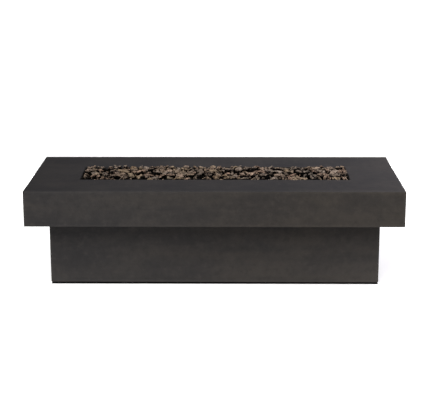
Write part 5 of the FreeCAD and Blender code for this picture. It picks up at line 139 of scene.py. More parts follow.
class Look:
    """A small helper that wires the nodes of one material."""

    def __init__(self, name, roughness=0.6, metallic=0.0, specular=0.5, color=(0.5, 0.5, 0.5)):
        self.m = bpy.data.materials.new(name)
        self.m.use_nodes = True
        self.t = self.m.node_tree
        self.t.nodes.clear()
        self.out = self.t.nodes.new("ShaderNodeOutputMaterial")
        self.b = self.t.nodes.new("ShaderNodeBsdfPrincipled")
        self.t.links.new(self.b.outputs[0], self.out.inputs[0])
        self.b.inputs["Roughness"].default_value = roughness
        self.b.inputs["Metallic"].default_value = metallic
        self.b.inputs["Specular IOR Level"].default_value = specular
        self.b.inputs["Base Color"].default_value = (*color, 1)
        self.m.diffuse_color = (*color, 1)
        self.where = self.t.nodes.new("ShaderNodeTexCoord").outputs["Object"]

    def node(self, kind, **values):
        n = self.t.nodes.new("ShaderNode" + kind)
        for k, v in values.items():
            setattr(n, k, v)
        return n

    def put(self, socket, value):
        if hasattr(value, "is_linked") or hasattr(value, "links"):
            self.t.links.new(value, socket)
        else:
            socket.default_value = value

    def stretched(self, scale, rotation=(0, 0, 0), offset=(0, 0, 0)):
        n = self.node("Mapping")
        self.t.links.new(self.where, n.inputs["Vector"])
        n.inputs["Scale"].default_value = scale
        n.inputs["Rotation"].default_value = rotation
        n.inputs["Location"].default_value = offset
        return n.outputs[0]

    def noise(self, scale, detail=3.0, rough=0.55, at=None, distort=0.0):
        n = self.node("TexNoise")
        self.t.links.new(at or self.where, n.inputs["Vector"])
        n.inputs["Scale"].default_value = scale
        n.inputs["Detail"].default_value = detail
        n.inputs["Roughness"].default_value = rough
        n.inputs["Distortion"].default_value = distort
        return n.outputs["Fac"]

    def cells(self, scale, at=None, feature="F1", output="Distance", randomness=1.0):
        n = self.node("TexVoronoi", feature=feature)
        self.t.links.new(at or self.where, n.inputs["Vector"])
        n.inputs["Scale"].default_value = scale
        n.inputs["Randomness"].default_value = randomness
        return n.outputs[output]

    def attribute(self, name):
        n = self.node("Attribute", attribute_name=name, attribute_type="GEOMETRY")
        return n.outputs["Fac"]

    def ramp(self, fac, *stops, ease="LINEAR"):
        n = self.node("ValToRGB")
        n.color_ramp.interpolation = ease
        el = n.color_ramp.elements
        while len(el) < len(stops):
            el.new(0.5)
        for e, (at, col) in zip(el, stops):
            e.position = at
            e.color = (*col, 1) if hasattr(col, "__len__") else (col, col, col, 1)
        self.t.links.new(fac, n.inputs[0])
        return n.outputs["Color"]

    def between(self, fac, lo, hi, at=(0.0, 1.0)):
        n = self.node("MapRange")
        n.clamp = True
        self.t.links.new(fac, n.inputs["Value"])
        n.inputs["From Min"].default_value, n.inputs["From Max"].default_value = at
        n.inputs["To Min"].default_value, n.inputs["To Max"].default_value = lo, hi
        return n.outputs["Result"]

    def mix(self, fac, a, b, how="MIX"):
        n = self.node("Mix", data_type="RGBA", blend_type=how)
        self.put(n.inputs["Factor"], fac)
        for key, v in ((6, a), (7, b)):
            if isinstance(v, tuple):
                v = (*v, 1)
            self.put(n.inputs[key], v)
        return n.outputs[2]

    def math(self, how, a, b=0.0):
        n = self.node("Math", operation=how)
        self.put(n.inputs[0], a)
        self.put(n.inputs[1], b)
        return n.outputs[0]

    def bump(self, height, distance, strength=1.0, after=None):
        n = self.node("Bump")
        n.inputs["Strength"].default_value = strength
        n.inputs["Distance"].default_value = distance
        self.t.links.new(height, n.inputs["Height"])
        if after is not None:
            self.t.links.new(after, n.inputs["Normal"])
        return n.outputs[0]

    def color(self, v):
        self.t.links.new(v, self.b.inputs["Base Color"])
        return self

    def rough(self, v):
        self.t.links.new(v, self.b.inputs["Roughness"])
        return self

    def normal(self, v):
        self.t.links.new(v, self.b.inputs["Normal"])
        return self


def concrete_look():
    k = Look("charcoal_concrete", roughness=0.84, specular=0.05, color=(0.0327, 0.0306, 0.0308))
    clouds = k.noise(2.3, 3.0, 0.5, distort=0.5)
    patches = k.noise(7.5, 4.0, 0.55, distort=0.7, at=k.stretched((0.62, 0.8, 1.25)))
    floated = k.noise(6.0, 4.0, 0.6, at=k.stretched((0.30, 0.9, 2.6)), distort=0.5)
    mottle = k.noise(44.0, 4.0, 0.6)
    fine = k.noise(480.0, 2.0, 0.6)
    a = k.ramp(clouds, (0.30, (0.0272, 0.0261, 0.0269)), (0.50, (0.0322, 0.0303, 0.0304)),
               (0.70, (0.0393, 0.0363, 0.0348)))
    b = k.ramp(patches, (0.30, (0.0251, 0.0242, 0.0252)), (0.50, (0.0322, 0.0303, 0.0300)),
               (0.70, (0.0418, 0.0383, 0.0361)))
    c = k.mix(0.55, a, b)
    c = k.mix(k.between(floated, 0.0, 0.55, (0.50, 0.72)), c, (0.0435, 0.0390, 0.0355))
    c = k.mix(k.between(floated, 0.50, 0.0, (0.28, 0.48)), c, (0.0226, 0.0220, 0.0233))
    c = k.mix(k.between(mottle, 0.0, 0.42, (0.52, 0.70)), c, (0.0468, 0.0428, 0.0404))
    c = k.mix(k.between(mottle, 0.42, 0.0, (0.30, 0.48)), c, (0.0217, 0.0210, 0.0216))
    grit = k.ramp(fine, (0.30, 0.84), (0.5, 1.0), (0.72, 1.14))
    c = k.mix(0.5, c, grit, "MULTIPLY")
    # edge band: rubbed lighter arrises that are partly a painted highlight, and painted light from the floor near the
    # plinth's foot
    worn_and_lit = k.attribute("wear_and_painted_light")
    c = k.mix(k.math("MULTIPLY", worn_and_lit, 0.42), c, (0.0669, 0.0630, 0.0610))
    # painted shade on the plinth below the slab and on the left of the slab's top
    c = k.mix(k.attribute("painted_shade"), c, (0.0, 0.0, 0.0))
    # painted light: a warm bounce tint on the cast sides and a cool sky-reflection tint on the slab's top
    c = k.mix(k.attribute("painted_warm_bounce"), c, (1.005, 0.962, 0.890), "MULTIPLY")
    c = k.mix(k.attribute("painted_sky_tint"), c, (0.985, 0.995, 1.035), "MULTIPLY")
    k.color(c)
    k.rough(k.between(k.math("ADD", k.math("MULTIPLY", patches, 0.6), k.math("MULTIPLY", mottle, 0.4)),
                      0.70, 0.92, (0.35, 0.7)))
    pores = k.ramp(k.cells(210.0), (0.0, 0.0), (0.16, 0.7), (0.24, 1.0))
    n = k.bump(mottle, 0.0005, 0.4)
    n = k.bump(fine, 0.00012, 0.5, n)
    n = k.bump(pores, 0.0004, 0.30, n)
    k.normal(n)
    return k.m


def lava_look():
    k = Look("lava_rock", roughness=0.93, specular=0.08, color=(0.06, 0.044, 0.034))
    tint, pit_shade, dust_and_top_light = k.attribute("tint"), k.attribute("pit_shade"), k.attribute("dust_and_top_light")
    gap, edge, hue = k.attribute("gap"), k.attribute("edge"), k.attribute("hue")
    # tint is each stone's own tone together with painted light and shade
    c = k.ramp(tint, (0.0, (0.0034, 0.0024, 0.0019)), (0.20, (0.0084, 0.0057, 0.0042)), (0.42, (0.0200, 0.0136, 0.0098)),
               (0.62, (0.0420, 0.0298, 0.0222)), (0.82, (0.0950, 0.0700, 0.0530)), (1.0, (0.2100, 0.1650, 0.1300)))
    kind = k.ramp(hue, (0.0, (1.30, 0.88, 0.72)), (0.22, (1.06, 0.95, 0.86)), (0.45, (0.96, 0.99, 1.06)), (0.60, (1.26, 1.04, 0.64)),
                  (0.70, (1.02, 0.99, 0.82)), (0.86, (1.20, 0.93, 0.80)), (1.0, (0.84, 0.87, 0.92)))
    patch = k.noise(46.0, 4.0, 0.62, distort=0.5)
    c = k.mix(k.between(patch, 0.0, 0.55, (0.55, 0.64)), c, (0.130, 0.096, 0.071))
    c = k.mix(k.between(patch, 0.88, 0.0, (0.37, 0.48)), c, (0.0080, 0.0054, 0.0042))
    rust = k.noise(27.0, 3.0, 0.6)
    c = k.mix(k.between(rust, 0.0, 0.55, (0.56, 0.68)), c, (0.070, 0.036, 0.021))
    grey = k.noise(70.0, 4.0, 0.65)
    c = k.mix(k.between(grey, 0.0, 0.45, (0.56, 0.68)), c, (0.080, 0.072, 0.066))
    # paler faces that look up: partly dust, partly painted light from above
    c = k.mix(k.math("MULTIPLY", dust_and_top_light, 0.50), c, (0.214, 0.173, 0.140))
    # paler edges: partly rubbed, partly a painted highlight
    c = k.mix(k.math("MULTIPLY", edge, 0.66), c, (0.338, 0.272, 0.217))
    c = k.mix(0.48, c, kind, "MULTIPLY")
    grain = k.ramp(k.noise(330.0, 3.0, 0.7), (0.3, 0.40), (0.5, 1.0), (0.72, 1.7))
    c = k.mix(0.85, c, grain, "MULTIPLY")
    # painted shade in the pores: the vesicle centres are made darker
    vesicles = k.cells(250.0)
    holes = k.ramp(vesicles, (0.10, 0.20), (0.32, 1.0))
    c = k.mix(0.75, c, holes, "MULTIPLY")
    # painted shade: pits, chips, cracks and dents are made near black
    c = k.mix(k.between(pit_shade, 0.0, 0.95, (0.18, 0.70)), c, (0.006, 0.0045, 0.004))
    # painted shade between the stones, darker where less sky is seen
    c = k.mix(k.between(gap, 0.0, 0.985, (0.10, 0.86)), c, (0.0016, 0.0012, 0.0010))
    k.color(c)
    n = k.bump(k.noise(150.0, 4.0, 0.7), 0.0022, 0.7)
    n = k.bump(holes, 0.0010, 0.8, n)
    k.normal(n)
    return k.m


def stainless_look():
    k = Look("stainless", roughness=0.34, metallic=1.0, color=(0.56, 0.55, 0.53))
    lines = k.noise(60.0, 3.0, 0.6, at=k.stretched((1.0, 34.0, 34.0)))
    cloud = k.noise(14.0, 3.0, 0.5)
    c = k.ramp(cloud, (0.3, (0.47, 0.46, 0.445)), (0.7, (0.60, 0.59, 0.57)))
    c = k.mix(0.35, c, k.ramp(lines, (0.35, 0.78), (0.65, 1.12)), "MULTIPLY")
    k.color(c).rough(k.between(lines, 0.27, 0.44, (0.3, 0.7)))
    k.normal(k.bump(lines, 0.00006, 0.5))
    return k.m


def zinc_look():
    k = Look("zinc_steel", roughness=0.42, metallic=1.0, color=(0.50, 0.51, 0.52))
    spangle = k.cells(420.0, output="Color")
    cloud = k.noise(90.0, 3.0, 0.6)
    c = k.ramp(cloud, (0.3, (0.40, 0.41, 0.43)), (0.7, (0.58, 0.58, 0.57)))
    c = k.mix(0.12, c, spangle)
    k.color(c).rough(k.between(cloud, 0.34, 0.55, (0.3, 0.7)))
    k.normal(k.bump(k.noise(900.0, 2.0, 0.6), 0.00004, 0.5))
    return k.m


def brass_look():
    k = Look("brass", roughness=0.34, metallic=1.0, color=(0.62, 0.43, 0.16))
    cloud = k.noise(60.0, 4.0, 0.6)
    turned = k.noise(220.0, 2.0, 0.5, at=k.stretched((1, 6, 1)))
    c = k.ramp(cloud, (0.3, (0.47, 0.31, 0.115)), (0.55, (0.63, 0.44, 0.17)), (0.75, (0.70, 0.51, 0.22)))
    k.color(c).rough(k.between(cloud, 0.28, 0.48, (0.3, 0.7)))
    k.normal(k.bump(turned, 0.00005, 0.5))
    return k.m


def aluminium_look():
    k = Look("cast_aluminium", roughness=0.52, metallic=1.0, color=(0.55, 0.55, 0.56))
    cloud = k.noise(70.0, 4.0, 0.6)
    grain = k.noise(700.0, 3.0, 0.7)
    c = k.ramp(cloud, (0.3, (0.43, 0.43, 0.44)), (0.7, (0.60, 0.60, 0.61)))
    k.color(c).rough(k.between(grain, 0.42, 0.66, (0.3, 0.7)))
    k.normal(k.bump(grain, 0.00018, 0.7))
    return k.m


def coated_look(name, lo, hi, rough=(0.42, 0.60)):
    """Powder coat: a fine orange peel with a slight change of tone."""
    k = Look(name, roughness=0.5, specular=0.45, color=hi)
    peel = k.noise(620.0, 2.0, 0.5)
    cloud = k.noise(18.0, 3.0, 0.5)
    specks = k.noise(1500.0, 2.0, 0.6)
    c = k.ramp(cloud, (0.3, lo), (0.7, hi))
    c = k.mix(0.4, c, k.ramp(specks, (0.3, 0.82), (0.7, 1.2)), "MULTIPLY")
    k.color(c).rough(k.between(peel, rough[0], rough[1], (0.3, 0.7)))
    k.normal(k.bump(peel, 0.00016, 0.6))
    return k.m


def plastic_look(name, lo, hi, rough=0.46):
    k = Look(name, roughness=rough, specular=0.5, color=hi)
    grain = k.noise(1300.0, 2.0, 0.6)
    cloud = k.noise(40.0, 2.0, 0.5)
    k.color(k.ramp(cloud, (0.3, lo), (0.7, hi)))
    k.rough(k.between(grain, rough - 0.08, rough + 0.1, (0.3, 0.7)))
    k.normal(k.bump(grain, 0.00008, 0.6))
    return k.m


def ceramic_look():
    k = Look("ceramic", roughness=0.2, specular=0.55, color=(0.72, 0.69, 0.63))
    cloud = k.noise(160.0, 3.0, 0.5)
    k.color(k.ramp(cloud, (0.3, (0.66, 0.62, 0.55)), (0.7, (0.76, 0.74, 0.69))))
    k.rough(k.between(cloud, 0.16, 0.3, (0.3, 0.7)))
    k.normal(k.bump(k.noise(500.0, 2.0, 0.5), 0.00004, 0.4))
    return k.m


LOOKS = {
    "charcoal_concrete": concrete_look(),
    "lava_rock": lava_look(),
    "frame_steel": coated_look("frame_steel", (0.010, 0.010, 0.011), (0.017, 0.017, 0.018)),
    "dark_coated_steel": coated_look("dark_coated_steel", (0.034, 0.033, 0.033), (0.044, 0.042, 0.041), (0.5, 0.68)),
    "stainless": stainless_look(),
    "zinc_steel": zinc_look(),
    "brass": brass_look(),
    "cast_aluminium": aluminium_look(),
    "silicone": plastic_look("silicone", (0.016, 0.016, 0.016), (0.026, 0.026, 0.026), 0.7),
    "ceramic": ceramic_look(),
    "black_plastic": plastic_look("black_plastic", (0.010, 0.010, 0.011), (0.016, 0.016, 0.017), 0.44),
    "lead_jacket": plastic_look("lead_jacket", (0.26, 0.020, 0.014), (0.36, 0.032, 0.020), 0.55),
    "copper_lead": None,
    "battery_can": coated_look("battery_can", (0.045, 0.052, 0.062), (0.065, 0.072, 0.085), (0.3, 0.4)),
}


def copper_look():
    k = Look("copper_lead", roughness=0.38, metallic=1.0, color=(0.50, 0.22, 0.12))
    cloud = k.noise(90.0, 3.0, 0.6)
    k.color(k.ramp(cloud, (0.3, (0.34, 0.15, 0.085)), (0.6, (0.54, 0.25, 0.14)), (0.8, (0.60, 0.33, 0.20))))
    k.rough(k.between(cloud, 0.3, 0.5, (0.3, 0.7)))
    k.normal(k.bump(k.noise(600.0, 2.0, 0.5), 0.00005, 0.5))
    return k.m


LOOKS["copper_lead"] = copper_look()
slot_of = {s["node"]: s["material_slot"] for s in frame["record"]["subparts"]}
for name, obj in nodes.items():
    obj.data.materials.clear()
    obj.data.materials.append(LOOKS[slot_of[name]])

# ---------------------------------------------------------------- castings


def loop_points(hx, hy, r, nx, ny, nc):
    """Points round a rectangle with rounded corners, starting on the front side."""
    r = max(r, 0.0)
    pts = []
    ax, ay = hx - r, hy - r
    corners = [(ax, -ay, -90), (ax, ay, 0), (-ax, ay, 90), (-ax, -ay, 180)]
    sides = [((-ax, -hy), (ax, -hy), nx), ((hx, -ay), (hx, ay), ny), ((ax, hy), (-ax, hy), nx), ((-hx, ay), (-hx, -ay), ny)]
    for (a, b, n), (cx, cy, start) in zip(sides, corners):
        for i in range(n):
            t = i / n
            pts.append((a[0] + (b[0] - a[0]) * t, a[1] + (b[1] - a[1]) * t))
        for i in range(nc):
            w = math.radians(start + 90.0 * i / nc)
            pts.append((cx + r * math.cos(w), cy + r * math.sin(w)))
    return pts


def swept_casting(name, rings, nx, ny, nc):
    """A closed casting from rectangular loops: rings are (half length, half depth, corner radius, height, edge flag)."""
    bm = bmesh.new()
    edge = bm.verts.layers.float.new("edge")
    skin = bm.faces.layers.int.new("skin")
    loops = []
    for hx, hy, r, z, flag, _ in rings:
        row = []
        for x, y in loop_points(hx, hy, r, nx, ny, nc):
            v = bm.verts.new((x * MM, y * MM, z * MM))
            v[edge] = flag
            row.append(v)
        loops.append(row)
    n = len(loops[0])
    for k in range(len(rings)):
        a, b = loops[k], loops[(k + 1) % len(rings)]
        mark = rings[k][5]
        for i in range(n):
            j = (i + 1) % n
            f = bm.faces.new((a[i], a[j], b[j], b[i]))
            f[skin] = mark
    bmesh.ops.remove_doubles(bm, verts=bm.verts[:], dist=2e-6)
    bmesh.ops.recalc_face_normals(bm, faces=bm.faces[:])
    return bm, edge, skin


def steps(a, b, n):
    return [a + (b - a) * i / n for i in range(1, n)]


def weather(bm, edge, seed):
    """Slight waviness of the cast skin and small losses along the arrises, always into the body."""
    bm.normal_update()
    co = np.array([v.co[:] for v in bm.verts]) * 1000.0
    nr = np.array([v.normal[:] for v in bm.verts])
    flag = np.array([v[edge] for v in bm.verts])
    wave = 0.28 * fbm(co / 95.0, 2, seed) + 0.07 * fbm(co / 14.0, 2, seed + 5)
    nick = smoothstep(0.70, 0.86, fbm(co / np.array([11.0, 11.0, 6.0]), 2, seed + 9))
    rare = smoothstep(0.55, 0.75, fbm(co / 60.0, 1, seed + 12))
    edge_loss = flag * (0.30 * fbm(co / 7.0, 2, seed + 15) + 1.5 * nick * rare)
    move = -(wave * (1 - 0.5 * flag) + edge_loss)
    co = (co + nr * move[:, None]) * 0.001
    for v, c in zip(bm.verts, co):
        v.co = c
    return nick


def bug_holes(bm, skin, wanted, rng, sizes=(0.7, 1.7)):
    """Small round voids that air leaves in a cast face, each cut into one quad of the skin."""
    bm.faces.ensure_lookup_table()
    picks = [f for f in bm.faces if len(f.verts) == 4 and f[skin] in wanted
             and min(e.calc_length() for e in f.edges) > 0.0042]
    rng.shuffle(picks)
    total = sum(wanted.values())
    left = dict(wanted)
    used = set()
    for f in picks:
        mark = f[skin]
        if left[mark] <= 0 or any(v.index in used for v in f.verts):
            continue
        left[mark] -= 1
        used.update(v.index for v in f.verts)
        c = f.calc_center_median()
        nrm = f.normal.copy()
        corners = list(f.verts)
        shortest = min(e.calc_length() for e in f.edges)
        rad = min(rng.uniform(*sizes) ** 1.3 * MM, shortest * 0.36)
        c = c + Vector([rng.uniform(-0.1, 0.1) * shortest for _ in range(3)])
        c = c - nrm * (c - corners[0].co).dot(nrm)
        rims, lows = [], []
        depth = rad * rng.uniform(0.7, 1.3)
        for q in range(8):
            here = corners[(q // 2) % 4].co if q % 2 == 0 else (corners[(q // 2) % 4].co + corners[(q // 2 + 1) % 4].co) / 2
            way = here - c
            way = way - nrm * way.dot(nrm)
            way.normalize()
            rr = rad * rng.uniform(0.82, 1.15)
            rims.append(bm.verts.new(c + way * rr))
            lows.append(bm.verts.new(c + way * rr * 0.72 - nrm * depth * 0.62))
        bottom = bm.verts.new(c - nrm * depth)
        bm.faces.remove(f)
        for s in range(4):
            a, b = corners[s], corners[(s + 1) % 4]
            q0, q1, q2 = 2 * s, 2 * s + 1, (2 * s + 2) % 8
            for vs in ((a, b, rims[q1]), (a, rims[q1], rims[q0]), (b, rims[q2], rims[q1])):
                bm.faces.new(vs)[skin] = mark
        for q in range(8):
            r = (q + 1) % 8
            bm.faces.new((rims[q], rims[r], lows[r], lows[q]))[skin] = 90
            bm.faces.new((lows[q], lows[r], bottom))[skin] = 90
    return total - sum(left.values())


def finish_mesh(bm, name, sharp_deg, look, body, replaced, smooth=True):
    me = bpy.data.meshes.new(name)
    bm.to_mesh(me)
    bm.free()
    return finish_object(me, name, sharp_deg, look, body, replaced, smooth)


def finish_object(me, name, sharp_deg, look, body, replaced, smooth=True):
    me.materials.append(look)
    me.polygons.foreach_set("use_smooth", np.full(len(me.polygons), smooth))
    if smooth:
        me.set_sharp_from_angle(angle=math.radians(sharp_deg))
    me.update()
    obj = bpy.data.objects.new(name, me)
    scene.collection.objects.link(obj)
    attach(obj, body)
    if replaced:
        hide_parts(*replaced)
    return obj


def cut(obj, cutters):
    """Cuts closed tools out of a casting."""
    for tool in cutters:
        mod = obj.modifiers.new("cut", "BOOLEAN")
        mod.operation, mod.solver, mod.object = "DIFFERENCE", "EXACT", tool
    dg = bpy.context.evaluated_depsgraph_get()
    dg.update()
    me = bpy.data.meshes.new_from_object(obj.evaluated_get(dg))
    obj.modifiers.clear()
    old, obj.data = obj.data, me
    bpy.data.meshes.remove(old)
    for tool in cutters:
        data = tool.data
        bpy.data.objects.remove(tool)
        bpy.data.meshes.remove(data)


def block_tool(x0, x1, y0, y1, z0, z1):
    bm = bmesh.new()
    vs = [bm.verts.new((x * MM, y * MM, z * MM)) for z in (z0, z1) for y in (y0, y1) for x in (x0, x1)]
    for q in ((0, 2, 3, 1), (4, 5, 7, 6), (0, 1, 5, 4), (2, 6, 7, 3), (0, 4, 6, 2), (1, 3, 7, 5)):
        bm.faces.new([vs[i] for i in q])
    return tool_object(bm)


def round_tool(x, y, z, r, length, axis, n=24):
    bm = bmesh.new()
    ends = []
    for side in (-0.5, 0.5):
        row = []
        for i in range(n):
            w = 2 * math.pi * i / n
            a, b, c = r * math.cos(w), r * math.sin(w), side * length
            p = {"x": (c, a, b), "y": (a, c, b), "z": (a, b, c)}[axis]
            row.append(bm.verts.new(((x + p[0]) * MM, (y + p[1]) * MM, (z + p[2]) * MM)))
        ends.append(row)
    for i in range(n):
        j = (i + 1) % n
        bm.faces.new((ends[0][i], ends[0][j], ends[1][j], ends[1][i]))
    bm.faces.new(ends[0][::-1])
    bm.faces.new(ends[1])
    bmesh.ops.recalc_face_normals(bm, faces=bm.faces[:])
    return tool_object(bm)


def tool_object(bm):
    me = bpy.data.meshes.new("tool")
    bm.to_mesh(me)
    bm.free()
    obj = bpy.data.objects.new("tool", me)
    obj.hide_render = True
    scene.collection.objects.link(obj)
    return obj


def wear_and_painted_light_of(obj, hx, hy, z_edges, foot=0.0):
    """A soft band along the outer arrises, rubbed lighter and partly a painted highlight, painted light from the floor
    by the plinth's foot, painted darkening and painted tints of light, kept as mesh attributes for the material.
    """
    me = obj.data
    co = np.zeros(len(me.vertices) * 3)
    me.vertices.foreach_get("co", co)
    co = co.reshape(-1, 3) * 1000
    dx, dy = hx - np.abs(co[:, 0]), hy - np.abs(co[:, 1])
    near = [np.abs(co[:, 2] - z) for z in z_edges]
    gaps = np.array([np.maximum(dx, 0) + np.maximum(dy, 0)] + [np.minimum(np.maximum(dx, 0), np.maximum(dy, 0)) + g for g in near])
    d = gaps.min(0)
    w = np.exp(-d / (4.4 if foot else 3.2)) * (0.55 + 0.45 * fbm(co / 26.0, 2, 77))
    # on the slab the arris band grows brighter towards both ends, a painted highlight; on the plinth it is raised
    # evenly
    w *= 1.25 if foot else 1.0 + 0.45 * smoothstep(250.0, 600.0, co[:, 0]) + 0.30 * smoothstep(-250.0, -600.0, co[:, 0])
    if foot:
        # painted light from the floor: the plinth is made lighter towards its foot, most of all near its corners
        ends = smoothstep(230.0, 620.0, np.abs(co[:, 0]))
        w = np.maximum(w, foot * np.exp(-(co[:, 2] - z_edges[0]) / 42.0) * (0.30 + 0.70 * ends) * (0.6 + 0.8 * fbm(co / 34.0, 3, 79)))
    a = me.attributes.new("wear_and_painted_light", "FLOAT", "POINT")
    a.data.foreach_set("value", np.clip(w, 0, 1).astype(np.float32))
    # painted shade: the plinth is made darker above about 140 mm from its middle to its right end, most just below the
    # slab, and the slab's top is made darker towards its left end
    x, z = co[:, 0], co[:, 2]
    cloud = 0.75 + 0.5 * fbm(co / 120.0, 2, 83)
    if foot:
        shade_paint = smoothstep(-500.0, -60.0, x) * smoothstep(60.0, 140.0, z) * (0.125 + 0.09 * smoothstep(0.0, 560.0, x) * smoothstep(150.0, 270.0, z))
    else:
        shade_paint = 0.13 * smoothstep(-250.0, -720.0, x) * (z > 411.6)
    a = me.attributes.new("painted_shade", "FLOAT", "POINT")
    a.data.foreach_set("value", np.clip(shade_paint * cloud, 0, 1).astype(np.float32))
    # painted light: the cast sides are tinted warm as bounced light, more towards the right end and less on the plinth,
    # and the slab's top is tinted cool as a reflection of the sky
    side = (z < (411.6 if not foot else 1e9)) * (0.10 + 0.90 * smoothstep(-560.0, 420.0, x)) * (0.45 if foot else 1.0)
    a = me.attributes.new("painted_warm_bounce", "FLOAT", "POINT")
    a.data.foreach_set("value", np.clip(side, 0, 1).astype(np.float32))
    a = me.attributes.new("painted_sky_tint", "FLOAT", "POINT")
    a.data.foreach_set("value", ((z >= 411.6) & (foot == 0.0)).astype(np.float32))


def slab():
    r, ro = 3.0, 2.1
    hx, hy, top, low = 762.0, 330.2, 412.75, 266.7
    ox, oy, lx, ly = 559.0, 121.0, 539.0, 101.0
    cx, cy = 589.0, 151.0
    ix, iy = hx - 25.0, hy - 25.0
    deck, ledge, collar = top - 28.0, top - 40.0, top - 70.0
    rings = []

    def ring(x, y, rad, z, flag=0.0, mark=0):
        rings.append((x, y, rad, z, flag, mark))

    for w in (-90, -60, -30):
        c, s = math.cos(math.radians(w)), math.sin(math.radians(w))
        ring(hx - r + r * c, hy - r + r * c, r * c, low + r + r * s, 1.0 if w > -90 else 0.4, 2)
    ring(hx, hy, r, low + r, 0.6, 1)
    for z in steps(low + r, top - r, 18):
        ring(hx, hy, r, z, 0.0, 1)
    ring(hx, hy, r, top - r, 0.6, 2)
    for w in (22.5, 45, 67.5):
        c, s = math.cos(math.radians(w)), math.sin(math.radians(w))
        ring(hx - r + r * c, hy - r + r * c, r * c, top - r + r * s, 1.0, 2)
    ring(hx - r, hy - r, 0, top, 0.6, 3)
    a, b = (hx - r, hy - r), (ox + ro, oy + ro)
    ring(a[0] - 5, a[1] - 5, 0, top, 0.0, 3)
    ins = (a[0] - 5, a[1] - 5)
    for t in steps(0, 1, 26):
        ring(ins[0] + (b[0] + 4 - ins[0]) * t, ins[1] + (b[1] + 4 - ins[1]) * t, 0, top, 0.0, 3)
    ring(b[0] + 4, b[1] + 4, 0, top, 0.0, 3)
    ring(b[0], b[1], 0, top, 0.6, 2)
    for w in (60, 30):
        c, s = math.cos(math.radians(w)), math.sin(math.radians(w))
        ring(ox + ro - ro * c, oy + ro - ro * c, 0, top - ro + ro * s, 1.0, 2)
    ring(ox, oy, 0, top - ro, 0.6, 4)
    for z in steps(top - ro, ledge, 5):
        ring(ox, oy, 0, z, 0.0, 4)
    ring(ox, oy, 0, ledge, 0.0, 0)
    ring((ox + lx) / 2, (oy + ly) / 2, 0, ledge)
    ring(lx, ly, 0, ledge)
    for z in steps(ledge, collar, 3):
        ring(lx, ly, 0, z)
    ring(lx, ly, 0, collar)
    ring((cx + lx) / 2, (cy + ly) / 2, 0, collar)
    ring(cx, cy, 0, collar, 0.0, 5)
    for z in steps(collar, deck, 5):
        ring(cx, cy, 0, z, 0.0, 5)
    ring(cx, cy, 0, deck, 0.0, 0)
    for t in steps(0, 1, 8):
        ring(cx + (ix - cx) * t, cy + (iy - cy) * t, 0, deck)
    ring(ix, iy, 0, deck, 0.0, 5)
    for z in steps(deck, low, 8):
        ring(ix, iy, 0, z, 0.0, 5)
    ring(ix, iy, 0, low, 0.0, 0)
    bm, edge, skin = swept_casting("slab", rings, 196, 84, 4)
    weather(bm, edge, 3)
    rng = np.random.default_rng(5)
    bug_holes(bm, skin, {1: 150, 3: 46, 4: 14, 5: 40}, PyRng(11))
    obj = finish_mesh(bm, "tabletop_slab", 32, LOOKS["charcoal_concrete"], "root", ["tabletop_casting"])
    deck_y = 197.3
    tools = [round_tool(sx * x, sy * deck_y, deck + 7.0, 5.5, 18.0, "z", 20)
             for x in (560, 190) for sx in (-1, 1) for sy in (-1, 1)]
    cut(obj, tools)
    wear_and_painted_light_of(obj, hx, hy, (top, low))
    return obj


class PyRng:
    """A small seeded generator, the same on every machine."""

    def __init__(self, seed):
        self.g = np.random.default_rng(seed)

    def uniform(self, a, b):
        return float(self.g.uniform(a, b))

    def shuffle(self, items):
        order = self.g.permutation(len(items))
        items[:] = [items[i] for i in order]


def plinth():
    hx, hy, low, top = 673.1, 241.3, 6.0, 300.0
    r, ease, wall = 3.0, 5.2, 24.0
    rings = []

    def ring(x, y, rad, z, flag=0.0, mark=0):
        rings.append((x, y, rad, z, flag, mark))

    for w in (-90, -67.5, -45, -22.5):
        c, s = math.cos(math.radians(w)), math.sin(math.radians(w))
        ring(hx - ease + ease * c, hy - ease + ease * c, 0.4 + 2.6 * c, low + ease + ease * s, 1.0 if w > -90 else 0.5, 2)
    ring(hx, hy, r, low + ease, 0.6, 1)
    ring(hx, hy, r, low + ease + 3.0, 0.0, 1)
    for z in steps(low + ease + 3.0, top, 36):
        ring(hx, hy, r, z, 0.0, 1)
    ring(hx, hy, r, top, 0.0, 0)
    ring(hx - wall * 0.5, hy - wall * 0.5, 0.6, top)
    ring(hx - wall, hy - wall, 0, top, 0.0, 5)
    for z in steps(top, low, 20):
        ring(hx - wall, hy - wall, 0, z, 0.0, 5)
    ring(hx - wall, hy - wall, 0, low, 0.0, 0)
    ring(hx - wall * 0.6, hy - wall * 0.6, 0.3, low)
    bm, edge, skin = swept_casting("plinth", rings, 170, 62, 4)
    weather(bm, edge, 41)
    bug_holes(bm, skin, {1: 260, 5: 50}, PyRng(23))
    obj = finish_mesh(bm, "plinth_shell", 32, LOOKS["charcoal_concrete"], "root", ["base_casting"])
    y0, y1 = hy - wall - 12, hy + 12
    tools = [block_tool(-497 - 3, 23 + 3, y0, y1, 73 - 3, 233 + 3),
             block_tool(330 - 85, 330 + 85, y0, y1, 150 - 52, 150 + 52),
             round_tool(520, hy - 12, 110, 11.0, 60, "y", 40),
             block_tool(-hx - 12, -hx + wall + 12, -84, 84, 124, 176),
             block_tool(hx - wall - 12, hx + 12, -84, 84, 124, 176)]
    for lo_c, hi_c, axis in BOLT_HOLES:
        x, y, z = [(lo_c[i] + hi_c[i]) / 2 for i in range(3)]
        tools.append(round_tool(x, y, z, 6.0, 18.0, axis, 20))
    cut(obj, tools)
    wear_and_painted_light_of(obj, hx, hy, (low + 4,), 0.46)
    return obj


